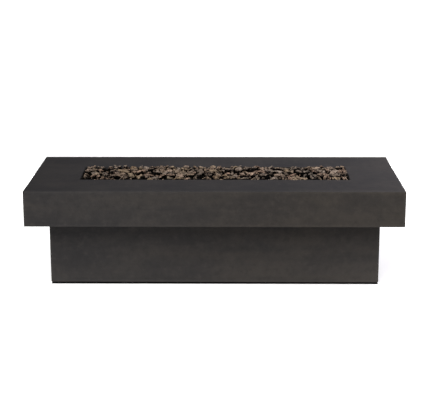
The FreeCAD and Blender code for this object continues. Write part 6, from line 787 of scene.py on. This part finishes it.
def loose_parts(obj):
    """Each separate solid of a node, as its points and its triangles."""
    me = obj.data
    co = np.zeros(len(me.vertices) * 3)
    me.vertices.foreach_get("co", co)
    co = co.reshape(-1, 3)
    me.calc_loop_triangles()
    tri = np.zeros(len(me.loop_triangles) * 3, np.int32)
    me.loop_triangles.foreach_get("vertices", tri)
    tri = tri.reshape(-1, 3)
    pts, back = np.unique(np.round(co, 6), axis=0, return_inverse=True)
    back = back.reshape(-1)
    tri = back[tri]
    label = np.arange(len(pts))
    while True:
        was = label.copy()
        low = label[tri].min(1)
        for i in range(3):
            np.minimum.at(label, tri[:, i], low)
        label = label[label]
        if (label == was).all():
            break
    parts = []
    owner = label[tri[:, 0]]
    for name in np.unique(owner):
        mine = tri[owner == name]
        used, local = np.unique(mine, return_inverse=True)
        parts.append((pts[used], local.reshape(-1, 3)))
    return parts


def insert_boxes(node):
    """Where each threaded insert lies, in millimetres, with the axis that it was pressed in along."""
    found = []
    for pts, _ in loose_parts(nodes[node]):
        lo, hi = pts.min(0) * 1000, pts.max(0) * 1000
        mid = (lo + hi) / 2
        axis = "x" if abs(mid[0]) > 640 else "y"
        inner = {"x": 649.1, "y": 217.3}[axis]
        k = 0 if axis == "x" else 1
        s = math.copysign(1, mid[k])
        mid[k] = s * (inner + 16.2 - 9.0)
        found.append((mid, mid, axis))
    return found


BOLT_HOLES = insert_boxes("base_inserts")
top_piece = slab()
base_piece = plinth()

# -------------------------------------------------------------- lava rocks


def ball(level):
    bm = bmesh.new()
    bmesh.ops.create_icosphere(bm, subdivisions=level, radius=1.0)
    v = np.array([p.co[:] for p in bm.verts])
    v /= np.linalg.norm(v, axis=1)[:, None]
    f = np.array([[q.index for q in g.verts] for g in bm.faces])
    bm.free()
    return v, f


BALLS = {n: ball(n) for n in (3, 4, 5)}


def flats(pts, tri):
    """The planes of a flat-faced solid, in millimetres, with its middle."""
    P = pts * 1000.0
    a, b, c = P[tri[:, 0]], P[tri[:, 1]], P[tri[:, 2]]
    nrm = np.cross(b - a, c - a)
    area = np.linalg.norm(nrm, axis=1)
    ok = area > 1e-4
    nrm, a, area = nrm[ok] / area[ok][:, None], a[ok], area[ok]
    mid = ((P[tri[:, 0]] + P[tri[:, 1]] + P[tri[:, 2]]) / 3)[ok]
    centre = (mid * area[:, None]).sum(0) / area.sum()
    off = ((a - centre) * nrm).sum(1)
    flip = off < 0
    nrm[flip], off[flip] = -nrm[flip], -off[flip]
    return centre, nrm, off


def bitten(u, r, centre_way, depth, radius):
    """The distance out to a round hollow that bites into a lump from one side, along each direction u."""
    reach = r[(u @ centre_way).argmax()]
    c = centre_way * (reach - depth + radius)
    along = u @ c
    inside = radius * radius - (c @ c - along * along)
    hit = along - np.sqrt(np.clip(inside, 0, None))
    return np.where((inside > 0) & (hit > 0), np.minimum(r, hit), r)


def corner_normals(q, f):
    """The height part of the normal at each point of a closed mesh."""
    n = np.cross(q[f[:, 1]] - q[f[:, 0]], q[f[:, 2]] - q[f[:, 0]])
    total = [sum(np.bincount(f[:, k], n[:, c], len(q)) for k in range(3)) for c in range(3)]
    return total[2] / (np.sqrt(total[0] ** 2 + total[1] ** 2 + total[2] ** 2) + 1e-12)


def stone(pts, tri, level, rng, seed):
    """One lump of lava inside its simple solid: broken flats, hollows, cracks, chipped edges, layers and open pits."""
    centre, nrm, off = flats(pts, tri)
    P = pts * 1000.0
    k = 5
    extra = rng.normal(size=(k, 3))
    extra /= np.linalg.norm(extra, axis=1)[:, None]
    share = rng.uniform(0.80, 0.98, k) if level > 3 else rng.uniform(0.60, 0.95, k)
    if rng.uniform() < 0.40:
        # a lump that split along a layer lies with a nearly flat sloping top
        extra[1] = (rng.normal(0, 0.22), rng.normal(-0.10, 0.22), 1.0)
        extra[1] /= np.linalg.norm(extra[1])
        share[1] = rng.uniform(0.68, 0.90)
    reach = ((P - centre) @ extra.T).max(0)
    off2 = reach * share
    N = np.vstack([nrm, extra])
    D = np.concatenate([off, off2])
    u, f = BALLS[level]
    # a broken face is never quite flat, so the planes are bent a little before they are met
    first = centre + u * (1.0 / (np.clip(u @ N.T, 1e-6, None) / D[None, :]).max(1))[:, None]
    shift = rng.uniform(-500, 500, 3)
    bend = np.stack([fbm((first + shift) / 11.0, 2, seed + 83 + 5 * i) - 0.5 for i in range(3)], 1)
    way = u + 0.20 * bend
    way /= np.linalg.norm(way, axis=1)[:, None]
    dots = np.clip(way @ N.T, 1e-6, None) / D[None, :]
    power = 150.0
    face = dots.argmax(1)
    top2 = -np.partition(-dots, 1, axis=1)[:, :2]
    r = 1.0 / top2[:, 0] / ((dots / top2[:, :1]) ** power).sum(1) ** (1.0 / power)
    hull = 1.0 / (np.clip(u @ nrm.T, 1e-6, None) / off[None, :]).max(1)
    r = np.minimum(r, hull * 0.995) * rng.uniform(0.93, 1.0)
    edge = smoothstep(0.93, 1.0, top2[:, 1] / top2[:, 0])
    facet_tone_and_painted_light = rng.normal(0, 0.24, len(N))[face]
    size = r.mean()
    hollow = np.zeros(len(u))
    if level >= 4:
        for i in range(2 if size > 15 else 1):
            d = rng.normal(size=3) + np.array([0, -0.5, 0.25])
            d /= np.linalg.norm(d)
            cut_r = bitten(way, r, d, size * rng.uniform(0.12, 0.34), size * rng.uniform(0.7, 1.5))
            hollow = np.maximum(hollow, smoothstep(0.0, size * 0.22, r - cut_r))
            r = cut_r
    q = centre + u * r[:, None]
    s = q + shift
    big = smoothstep(0.50, 0.85, fbm(s / (size * 0.75), 3, seed))
    lump = big * size * 0.08
    # thin layers break away in steps across one direction
    lay = (s @ extra[0]) / 6.0 + 1.3 * fbm(s / 13.0, 2, seed + 91)
    step = lay - np.floor(lay)
    shelf = smoothstep(0.36, 0.58, fbm(s / 19.0, 2, seed + 95)) * (0.3 + 0.7 * smoothstep(0.0, 0.22, step)) * min(1.8, size * 0.07)
    ridge = np.abs(2 * fbm(s / 9.5, 3, seed + 3) - 1)
    chip = (1 - smoothstep(0.0, 0.20, ridge)) * min(1.6, size * 0.06)
    # a few cracks run right round the lump
    crack = np.zeros(len(q))
    wander = 7.0 * (fbm(s / 15.0, 3, seed + 131) - 0.5)
    for i in range(3 if size > 20 else 2 if size > 12 else 1):
        n = rng.normal(size=3) * np.array([0.8, 0.6, 1.0])
        n /= np.linalg.norm(n)
        gap = np.abs((q - centre) @ n - rng.uniform(-0.55, 0.55) * size + wander)
        width = rng.uniform(1.3, 2.4)
        here = smoothstep(0.42, 0.56, fbm(s / 24.0, 2, seed + 151 + i))
        crack = np.maximum(crack, (1 - smoothstep(0.0, width, gap)) * here)
    nibble = edge * 1.5 * smoothstep(0.4, 0.7, fbm(s / 5.0, 2, seed + 33)) * min(1.0, size / 18.0)
    depth = np.zeros(len(q))
    if level >= 4:
        where = smoothstep(0.44, 0.66, fbm(s / 17.0, 2, seed + 11))
        cells = cell_noise(s / 7.4, seed + 21)
        depth = np.clip(1 - cells / 0.45, 0, 1) ** 0.65 * where * min(2.6, size * 0.11)
    if level >= 5:
        small = cell_noise(s / 3.9, seed + 51)
        depth = depth + np.clip(1 - small / 0.43, 0, 1) ** 0.7 * 1.1 * smoothstep(0.38, 0.62, fbm(s / 12.0, 2, seed + 61))
    grit = 0.85 * fbm(s / 2.4, 2, seed + 71)
    inward = lump + shelf + chip + nibble + depth + grit + crack * min(5.0, size * 0.24)
    inward = np.minimum(inward, r * 0.5)
    q = centre + u * (r - inward)[:, None]
    # painted shade: pits, chips, cracks and dents are marked for darkening
    pit_shade = np.clip(depth / 3.0 * 0.9 + chip / 1.8 * 0.40 + crack + big * 0.2 - 0.05, 0, 1)
    up = corner_normals(q, f)
    # faces that look up are made paler, partly dust and partly painted light from above; less so in pits and hollows
    dust_and_top_light = smoothstep(0.30, 0.88, up) * smoothstep(0.22, 0.60, fbm(s / 14.0, 3, seed + 171)) * (1 - pit_shade) * (1 - 0.6 * hollow)
    # tone: each flat's own tone, raised on faces that look up and lowered on faces that look down and in hollows, which
    # is painted light and shade; edges lighter, partly rubbed and partly a painted highlight
    return q, f, pit_shade, edge * (1 - pit_shade), facet_tone_and_painted_light - 0.12 * hollow + 0.60 * (up - 0.25), dust_and_top_light


# where in the heap very dark, red-brown, pale or ochre stones lie: x, y, half widths, tone, kind; the very dark ones,
# with negative tone, are near-black stones that also serve as painted shade in hollows, with wider painted shade round
# them
TONES = [(-75, 17, 20, 50, -0.25, 0.30), (345, 35, 30, 60, -0.25, 0.30), (-470, 89, 16, 26, -0.20, 0.45),
         (24, 0, 14, 28, -0.20, 0.30), (145, 80, 18, 30, -0.22, 0.30), (540, -60, 22, 34, -0.15, 0.30),
         (398, -30, 24, 30, -0.12, 0.45), (-526, 86, 26, 30, 0.34, 0.93), (296, 12, 16, 34, 0.92, 0.60),
         (-372, 10, 24, 34, 0.50, 0.64), (-160, 60, 34, 34, 0.48, 0.66), (235, -40, 34, 60, 0.44, 0.45)]


def own_tone(at, tone, kind):
    for x, y, rx, ry, own, hue in TONES:
        if abs(at[0] - x) < rx and abs(at[1] - y) < ry:
            return own, hue
    return tone, kind


def make_stones(node, seed, visible_above, seen_level):
    out = []
    for i, (pts, tri) in enumerate(loose_parts(nodes[node])):
        rng = np.random.default_rng(seed + 977 * i)
        span = (pts.max(0) - pts.min(0)).mean() * 1000
        seen = pts[:, 2].max() * 1000 > visible_above
        level = seen_level if seen and span > 36 else min(seen_level, 4)
        if span < 24:
            level = 4 if seen else 3
        q, f, pit_shade_mask, edge, facet_tone_and_painted_light, dust_and_top_light = stone(pts, tri, level, rng, seed + 13 * i)
        level_tone, kind = own_tone(q.mean(0), rng.normal(0.27, 0.25), rng.uniform(0, 1))
        if q[:, 0].mean() > 430.0:
            level_tone -= 0.16
        tint = np.clip(level_tone + facet_tone_and_painted_light, 0.0, 1.0)
        hue = np.full(len(q), kind)
        out.append(dict(node=node, q=q, f=f, pit_shade=pit_shade_mask, edge=edge, tint=tint, dust_and_top_light=dust_and_top_light, hue=hue))
    return out


def heap_surface(all_stones, x0, x1, y0, y1, cell):
    """The highest point of the heap in each small square."""
    nx, ny = int((x1 - x0) / cell) + 1, int((y1 - y0) / cell) + 1
    H = np.full((ny, nx), 372.0)
    gx = x0 + np.arange(nx) * cell
    gy = y0 + np.arange(ny) * cell
    H[(np.abs(gy) > 121.0)[:, None] | (np.abs(gx) > 559.0)[None, :]] = 412.75
    for s in all_stones:
        i = np.clip(((s["q"][:, 0] - x0) / cell + 0.5).astype(int), 0, nx - 1)
        j = np.clip(((s["q"][:, 1] - y0) / cell + 0.5).astype(int), 0, ny - 1)
        np.maximum.at(H, (j, i), s["q"][:, 2])
    return H


def fragments(all_stones, wanted, at_ends, seed):
    """Small broken pieces that have fallen into the hollows between the stones and lie where they came to rest."""
    rng = np.random.default_rng(seed)
    cell, x0, x1, y0, y1 = 2.0, -570.0, 570.0, -130.0, 130.0
    nx, ny = int((x1 - x0) / cell) + 1, int((y1 - y0) / cell) + 1
    gx, gy = x0 + np.arange(nx) * cell, y0 + np.arange(ny) * cell
    H = np.full((ny, nx), 374.5)
    H[(np.abs(gy) < 97.0)[:, None] & (np.abs(gx) < 535.0)[None, :]] = 314.5
    H[(np.abs(gy) > 119.0)[:, None] | (np.abs(gx) > 557.0)[None, :]] = 600.0

    def lay(q):
        i = np.clip(((q[:, 0] - x0) / cell + 0.5).astype(int), 0, nx - 1)
        j = np.clip(((q[:, 1] - y0) / cell + 0.5).astype(int), 0, ny - 1)
        np.maximum.at(H, (j, i), q[:, 2])

    for s in all_stones:
        lay(s["q"])
    models = [(p, t) for p, t in loose_parts(nodes["lava_rocks_lower"])[:40]]
    reach = 10
    near = np.full((ny, nx), 300.0)
    tops = np.where(H > 500, 300.0, H)
    for dj in range(-reach, reach + 1, 2):
        for di in range(-reach, reach + 1, 2):
            if di * di + dj * dj <= reach * reach:
                near = np.maximum(near, np.roll(np.roll(tops, dj, 0), di, 1))

    # they heap up against the two end walls
    near = np.where((np.abs(gx) > 540.0)[None, :], np.maximum(near, 420.0), near)

    X, Y = np.meshgrid(gx, gy)
    spots = np.stack([X.ravel(), Y.ravel(), np.zeros(X.size)], 1)
    open_share = (1 - 0.94 * smoothstep(0.50, 0.60, fbm(spots / 52.0, 2, seed + 3))).reshape(X.shape)
    for x, y, rx, ry, own, _ in TONES:
        if own < 0:
            open_share[(np.abs(X - x) < rx) & (np.abs(Y - y) < ry)] = 0.0
    open_share[X > 430.0] = 1.0
    open_share[np.abs(X) > 540.0] = 2.0

    def rest_height(i, j, di, dj, rise):
        a, b = i + di, j + dj
        ok = (a >= 0) & (a < nx) & (b >= 0) & (b < ny)
        if not ok.all():
            return 1e9
        return (H[b, a] + rise).max()

    out = []
    for n in range(wanted + at_ends):
        share = n / wanted if n < wanted else 0.0
        radius = float(rng.uniform(9.0, 13.5) if share < 0.48 else rng.uniform(6.5, 9.5) if share < 0.86 else rng.uniform(4.2, 6.6))
        m = int(radius / cell) + 1
        dj, di = np.mgrid[-m:m + 1, -m:m + 1]
        d2 = (di * di + dj * dj) * cell * cell
        keep = d2 <= radius * radius
        di, dj, rise = di[keep], dj[keep], 0.75 * np.sqrt(radius * radius - d2[keep])
        hollow = np.clip(near - H, 0, 34.0)
        hollow[(H > 500) | (hollow < 9.0)] = 0
        hollow *= open_share
        odds = hollow.ravel() ** 1.3
        if odds.sum() <= 0:
            break
        best = None
        if n >= wanted:
            side = -1.0 if n % 5 < 3 else 1.0
            i = int(round((side * (555.0 - radius * rng.uniform(1.0, 1.35)) - x0) / cell))
            j = int(round((rng.uniform(radius - 117.0, 117.0 - radius) - y0) / cell))
            z = rest_height(i, j, di, dj, rise)
            best = (near[j, i] - z, i, j, z)
        for at in () if best else rng.choice(nx * ny, 4, p=odds / odds.sum()):
            i, j = int(at % nx), int(at // nx)
            z = rest_height(i, j, di, dj, rise)
            for _ in range(7):
                moves = [(rest_height(i + a, j + b, di, dj, rise), i + a, j + b)
                         for a, b in ((1, 0), (-1, 0), (0, 1), (0, -1), (2, 2), (-2, 2), (2, -2), (-2, -2))]
                low = min(moves)
                if low[0] >= z - 0.05:
                    break
                z, i, j = low
            worth = near[j, i] - z
            if z < 1e8 and (best is None or worth > best[0]):
                best = (worth, i, j, z)
        if best is None or best[0] < 0.25 * radius:
            continue
        _, i, j, z = best
        pts, tri = models[int(rng.integers(len(models)))]
        p = pts - (pts.max(0) + pts.min(0)) / 2
        p = p / np.linalg.norm(p, axis=1).max()
        a = rng.normal(size=(3, 3))
        turn_q, _ = np.linalg.qr(a)
        if np.linalg.det(turn_q) < 0:
            turn_q[:, 0] = -turn_q[:, 0]
        p = ((p * np.array([1.15, 0.85, 0.72])) @ turn_q.T) * radius * 1.05 * MM
        q, f, pit_shade_mask, edge, facet_tone_and_painted_light, dust_and_top_light = stone(p, tri, 3, rng, seed + 29 * n)
        q = q + np.array([gx[i], gy[j], 0.0])
        a = np.clip(((q[:, 0] - x0) / cell + 0.5).astype(int), 0, nx - 1)
        b = np.clip(((q[:, 1] - y0) / cell + 0.5).astype(int), 0, ny - 1)
        q[:, 2] += (H[b, a] - q[:, 2]).max() - 0.8
        if q[:, 2].max() > min(near[j, i] + 1.5, 424.0) or np.abs(q[:, 0]).max() > 558.0 or np.abs(q[:, 1]).max() > 120.0:
            continue
        lay(q)
        tint = np.clip(rng.normal(0.30, 0.26) + facet_tone_and_painted_light, 0.0, 1.0)
        out.append(dict(node="lava_rocks_top", q=q, f=f, pit_shade=pit_shade_mask, edge=edge, tint=tint, dust_and_top_light=dust_and_top_light,
                        hue=np.full(len(q), rng.uniform(0, 1))))
    return out


def sky_seen(all_stones):
    """The share of the sky that each point of each stone sees past its neighbours."""
    x0, x1, y0, y1, cell = -640.0, 640.0, -200.0, 200.0, 2.5
    H = heap_surface(all_stones, x0, x1, y0, y1, cell)
    ny, nx = H.shape
    for s in all_stones:
        q = s["q"]
        z = q[:, 2] + 0.8
        total = 0.0
        for w in range(10):
            a = 2 * math.pi * (w + 0.5) / 10
            tilt = np.zeros(len(q))
            for d in (5.0, 9.0, 15.0, 24.0, 38.0):
                i = np.clip(((q[:, 0] + d * math.cos(a) - x0) / cell + 0.5).astype(int), 0, nx - 1)
                j = np.clip(((q[:, 1] + d * math.sin(a) - y0) / cell + 0.5).astype(int), 0, ny - 1)
                tilt = np.maximum(tilt, (H[j, i] - z) / d)
            total = total + 1 - tilt / np.sqrt(1 + tilt * tilt)
        i = np.clip(((q[:, 0] - x0) / cell + 0.5).astype(int), 0, nx - 1)
        j = np.clip(((q[:, 1] - y0) / cell + 0.5).astype(int), 0, ny - 1)
        # points that lie below the heap's top close by get more painted shade
        over = smoothstep(2.5, 9.0, H[j, i] - q[:, 2])
        # painted shade is widened in random patches of the heap and round the very dark stones
        extra_shade = 0.28 * smoothstep(0.42, 0.62, fbm(np.stack([q[:, 0], q[:, 1], 0 * z], 1) / 52.0, 2, 7004))
        for x, y, rx, ry, own, _ in TONES:
            if own < 0:
                inside = np.maximum(np.abs(q[:, 0] - x) / rx, np.abs(q[:, 1] - y) / ry)
                extra_shade = np.maximum(extra_shade, 0.34 * (1 - smoothstep(0.7, 1.2, inside)))
        seen = total / 10 * (1 - 0.8 * over)
        # the gap attribute is painted shade between the stones: darker where less sky is seen
        s["gap"] = np.clip(1 - smoothstep(0.31 + extra_shade, 0.76 + extra_shade, seen), 0, 1)


def stones_to_pieces(kept, base, cuts):
    kept = sorted(kept, key=lambda s: s["q"][:, 0].mean())
    total = sum(len(s["f"]) for s in kept)
    groups, run = [[] for _ in range(cuts)], 0
    for s in kept:
        groups[min(cuts - 1, run * cuts // total)].append(s)
        run += len(s["f"])
    made = []
    for g, members in enumerate(groups):
        V = np.concatenate([s["q"] for s in members]) * 0.001
        starts = np.cumsum([0] + [len(s["q"]) for s in members])
        F = np.concatenate([s["f"] + a for s, a in zip(members, starts)])
        name = "%s_%02d" % (base, g + 1)
        me = bpy.data.meshes.new(name)
        me.vertices.add(len(V))
        me.vertices.foreach_set("co", V.astype(np.float32).ravel())
        me.loops.add(len(F) * 3)
        me.loops.foreach_set("vertex_index", F.astype(np.int32).ravel())
        me.polygons.add(len(F))
        me.polygons.foreach_set("loop_start", (np.arange(len(F)) * 3).astype(np.int32))
        me.update(calc_edges=True)
        me.validate()
        for label in ("pit_shade", "tint", "gap", "edge", "dust_and_top_light", "hue"):
            att = me.attributes.new(label, "FLOAT", "POINT")
            att.data.foreach_set("value", np.concatenate([s[label] for s in members]).astype(np.float32))
        made.append(finish_object(me, name, 40, LOOKS["lava_rock"], "root", [members[0]["node"]]))
    return made


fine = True
upper = make_stones("lava_rocks_top", 101, 402.0, 5 if fine else 3)
lower = make_stones("lava_rocks_lower", 4001, 396.0, 4 if fine else 3)
small = fragments(upper + lower, 420 if fine else 60, 90 if fine else 20, 7001)
sky_seen(upper + lower + small)
top_stones = stones_to_pieces(upper, "lava_rocks_upper", 14)
low_stones = stones_to_pieces(lower, "lava_rocks_bed", 2)
small_stones = stones_to_pieces(small, "lava_fragments", 5)
print("stone faces", sum(len(s["f"]) for s in upper + lower + small), "fragments", len(small))

# ------------------------------------------------------------------- stage


def stage_floor():
    """A plain pale floor, wide enough to fill every view, and lit from below except beneath the plinth, where a
    near-black patch is a painted contact shadow.
    """
    bm = bmesh.new()
    xs = sorted({-60.0, -30.0, -12.0, -5.0, -2.0, -0.6722, 0.6722, 2.0, 5.0, 12.0, 30.0, 60.0})
    ys = sorted({-60.0, -30.0, -12.0, -5.0, -2.0, -0.2404, 0.2404, 2.0, 5.0, 12.0, 30.0, 60.0})
    grid = [[bm.verts.new((x, y, 0.0)) for x in xs] for y in ys]
    for j in range(len(ys) - 1):
        for i in range(len(xs) - 1):
            f = bm.faces.new((grid[j][i], grid[j][i + 1], grid[j + 1][i + 1], grid[j + 1][i]))
            painted_contact_shadow = abs(xs[i] + xs[i + 1]) < 0.01 and abs(ys[j] + ys[j + 1]) < 0.01
            f.material_index = 1 if painted_contact_shadow else 0
    me = bpy.data.meshes.new("studio_floor")
    bm.to_mesh(me)
    bm.free()
    # the second material, near black and without glow, is the painted contact shadow beneath the plinth
    for glow, tone in ((0.31, 1.0), (0.0, 0.02)):
        k = Look("studio_floor", roughness=0.9, specular=0.1, color=(0.88 * tone, 0.88 * tone, 0.88 * tone))
        soft = k.noise(0.7, 2.0, 0.5)
        lo, hi = [tuple(v * tone for v in t) for t in ((0.866, 0.870, 0.874), (0.884, 0.888, 0.892))]
        k.color(k.ramp(soft, (0.3, lo), (0.7, hi)))
        k.b.inputs["Emission Color"].default_value = (1.0, 1.0, 1.0, 1.0)
        k.b.inputs["Emission Strength"].default_value = glow
        me.materials.append(k.m)
    obj = bpy.data.objects.new("studio_floor", me)
    scene.collection.objects.link(obj)
    return obj


def stage_wall():
    """A plain white wall all round at the far edge of the floor. It gives no light and throws no shadow."""
    bm = bmesh.new()
    n, far = 72, 58.0
    rows = [[bm.verts.new((far * math.cos(2 * math.pi * i / n), far * math.sin(2 * math.pi * i / n), z)) for i in range(n)]
            for z in (-0.5, 20.0, 60.0)]
    for a, b in zip(rows, rows[1:]):
        for i in range(n):
            j = (i + 1) % n
            bm.faces.new((a[i], b[i], b[j], a[j]))
    me = bpy.data.meshes.new("studio_wall")
    bm.to_mesh(me)
    bm.free()
    k = Look("studio_wall", roughness=1.0, specular=0.0, color=(0.8, 0.8, 0.8))
    k.color(k.ramp(k.noise(0.05, 2.0, 0.5), (0.3, (0.78, 0.78, 0.78)), (0.7, (0.82, 0.82, 0.82))))
    k.b.inputs["Emission Color"].default_value = (1.0, 1.0, 1.0, 1.0)
    k.b.inputs["Emission Strength"].default_value = 1.0
    me.materials.append(k.m)
    obj = bpy.data.objects.new("studio_wall", me)
    obj.visible_diffuse = obj.visible_glossy = obj.visible_transmission = obj.visible_shadow = False
    scene.collection.objects.link(obj)
    return obj


def softbox(name, at, aim, size, power, color=(1, 1, 1)):
    data = bpy.data.lights.new(name, "AREA")
    data.shape = "RECTANGLE"
    data.size, data.size_y = size
    data.energy = power
    data.color = color
    obj = bpy.data.objects.new(name, data)
    obj.location = at
    way = Vector(aim) - Vector(at)
    obj.rotation_mode = "QUATERNION"
    obj.rotation_quaternion = way.to_track_quat("-Z", "Y")
    obj.visible_camera = False
    scene.collection.objects.link(obj)
    return obj


def wide_sun(name, come_from, width, strength, color=(1, 1, 1)):
    data = bpy.data.lights.new(name, "SUN")
    data.angle = math.radians(width)
    data.energy = strength
    data.color = color
    obj = bpy.data.objects.new(name, data)
    obj.rotation_mode = "QUATERNION"
    obj.rotation_quaternion = (-Vector(come_from)).to_track_quat("-Z", "Y")
    scene.collection.objects.link(obj)
    return obj


stage_floor()
stage_wall()
world = bpy.data.worlds.new("studio")
world.use_nodes = True
wt = world.node_tree
bg = wt.nodes["Background"]
bg.inputs[0].default_value = (0.975, 0.985, 1.0, 1)
bg.inputs[1].default_value = 0.20
scene.world = world
wide_sun("key", (-0.406, -0.579, 0.707), 44.0, 3.40, (1.0, 0.978, 0.957))
wide_sun("fill", (0.497, -0.709, 0.500), 44.0, 0.12, (1.0, 0.98, 0.96))
rear = softbox("rear", (-0.3, 1.9, 0.21), (0.0, 0.0, 0.19), (3.0, 0.36), 24.0, (1.0, 0.985, 0.97))
rear.visible_glossy = False
softbox("overhead", (1.5, 0.3, 1.5), (0.5, 0.0, 0.4), (1.1, 1.1), 24.0, (1.0, 0.965, 1.02))

scene.view_settings.view_transform = "Standard"
scene.view_settings.look = "None"
scene.view_settings.exposure = 0.0
scene.view_settings.gamma = 1.0
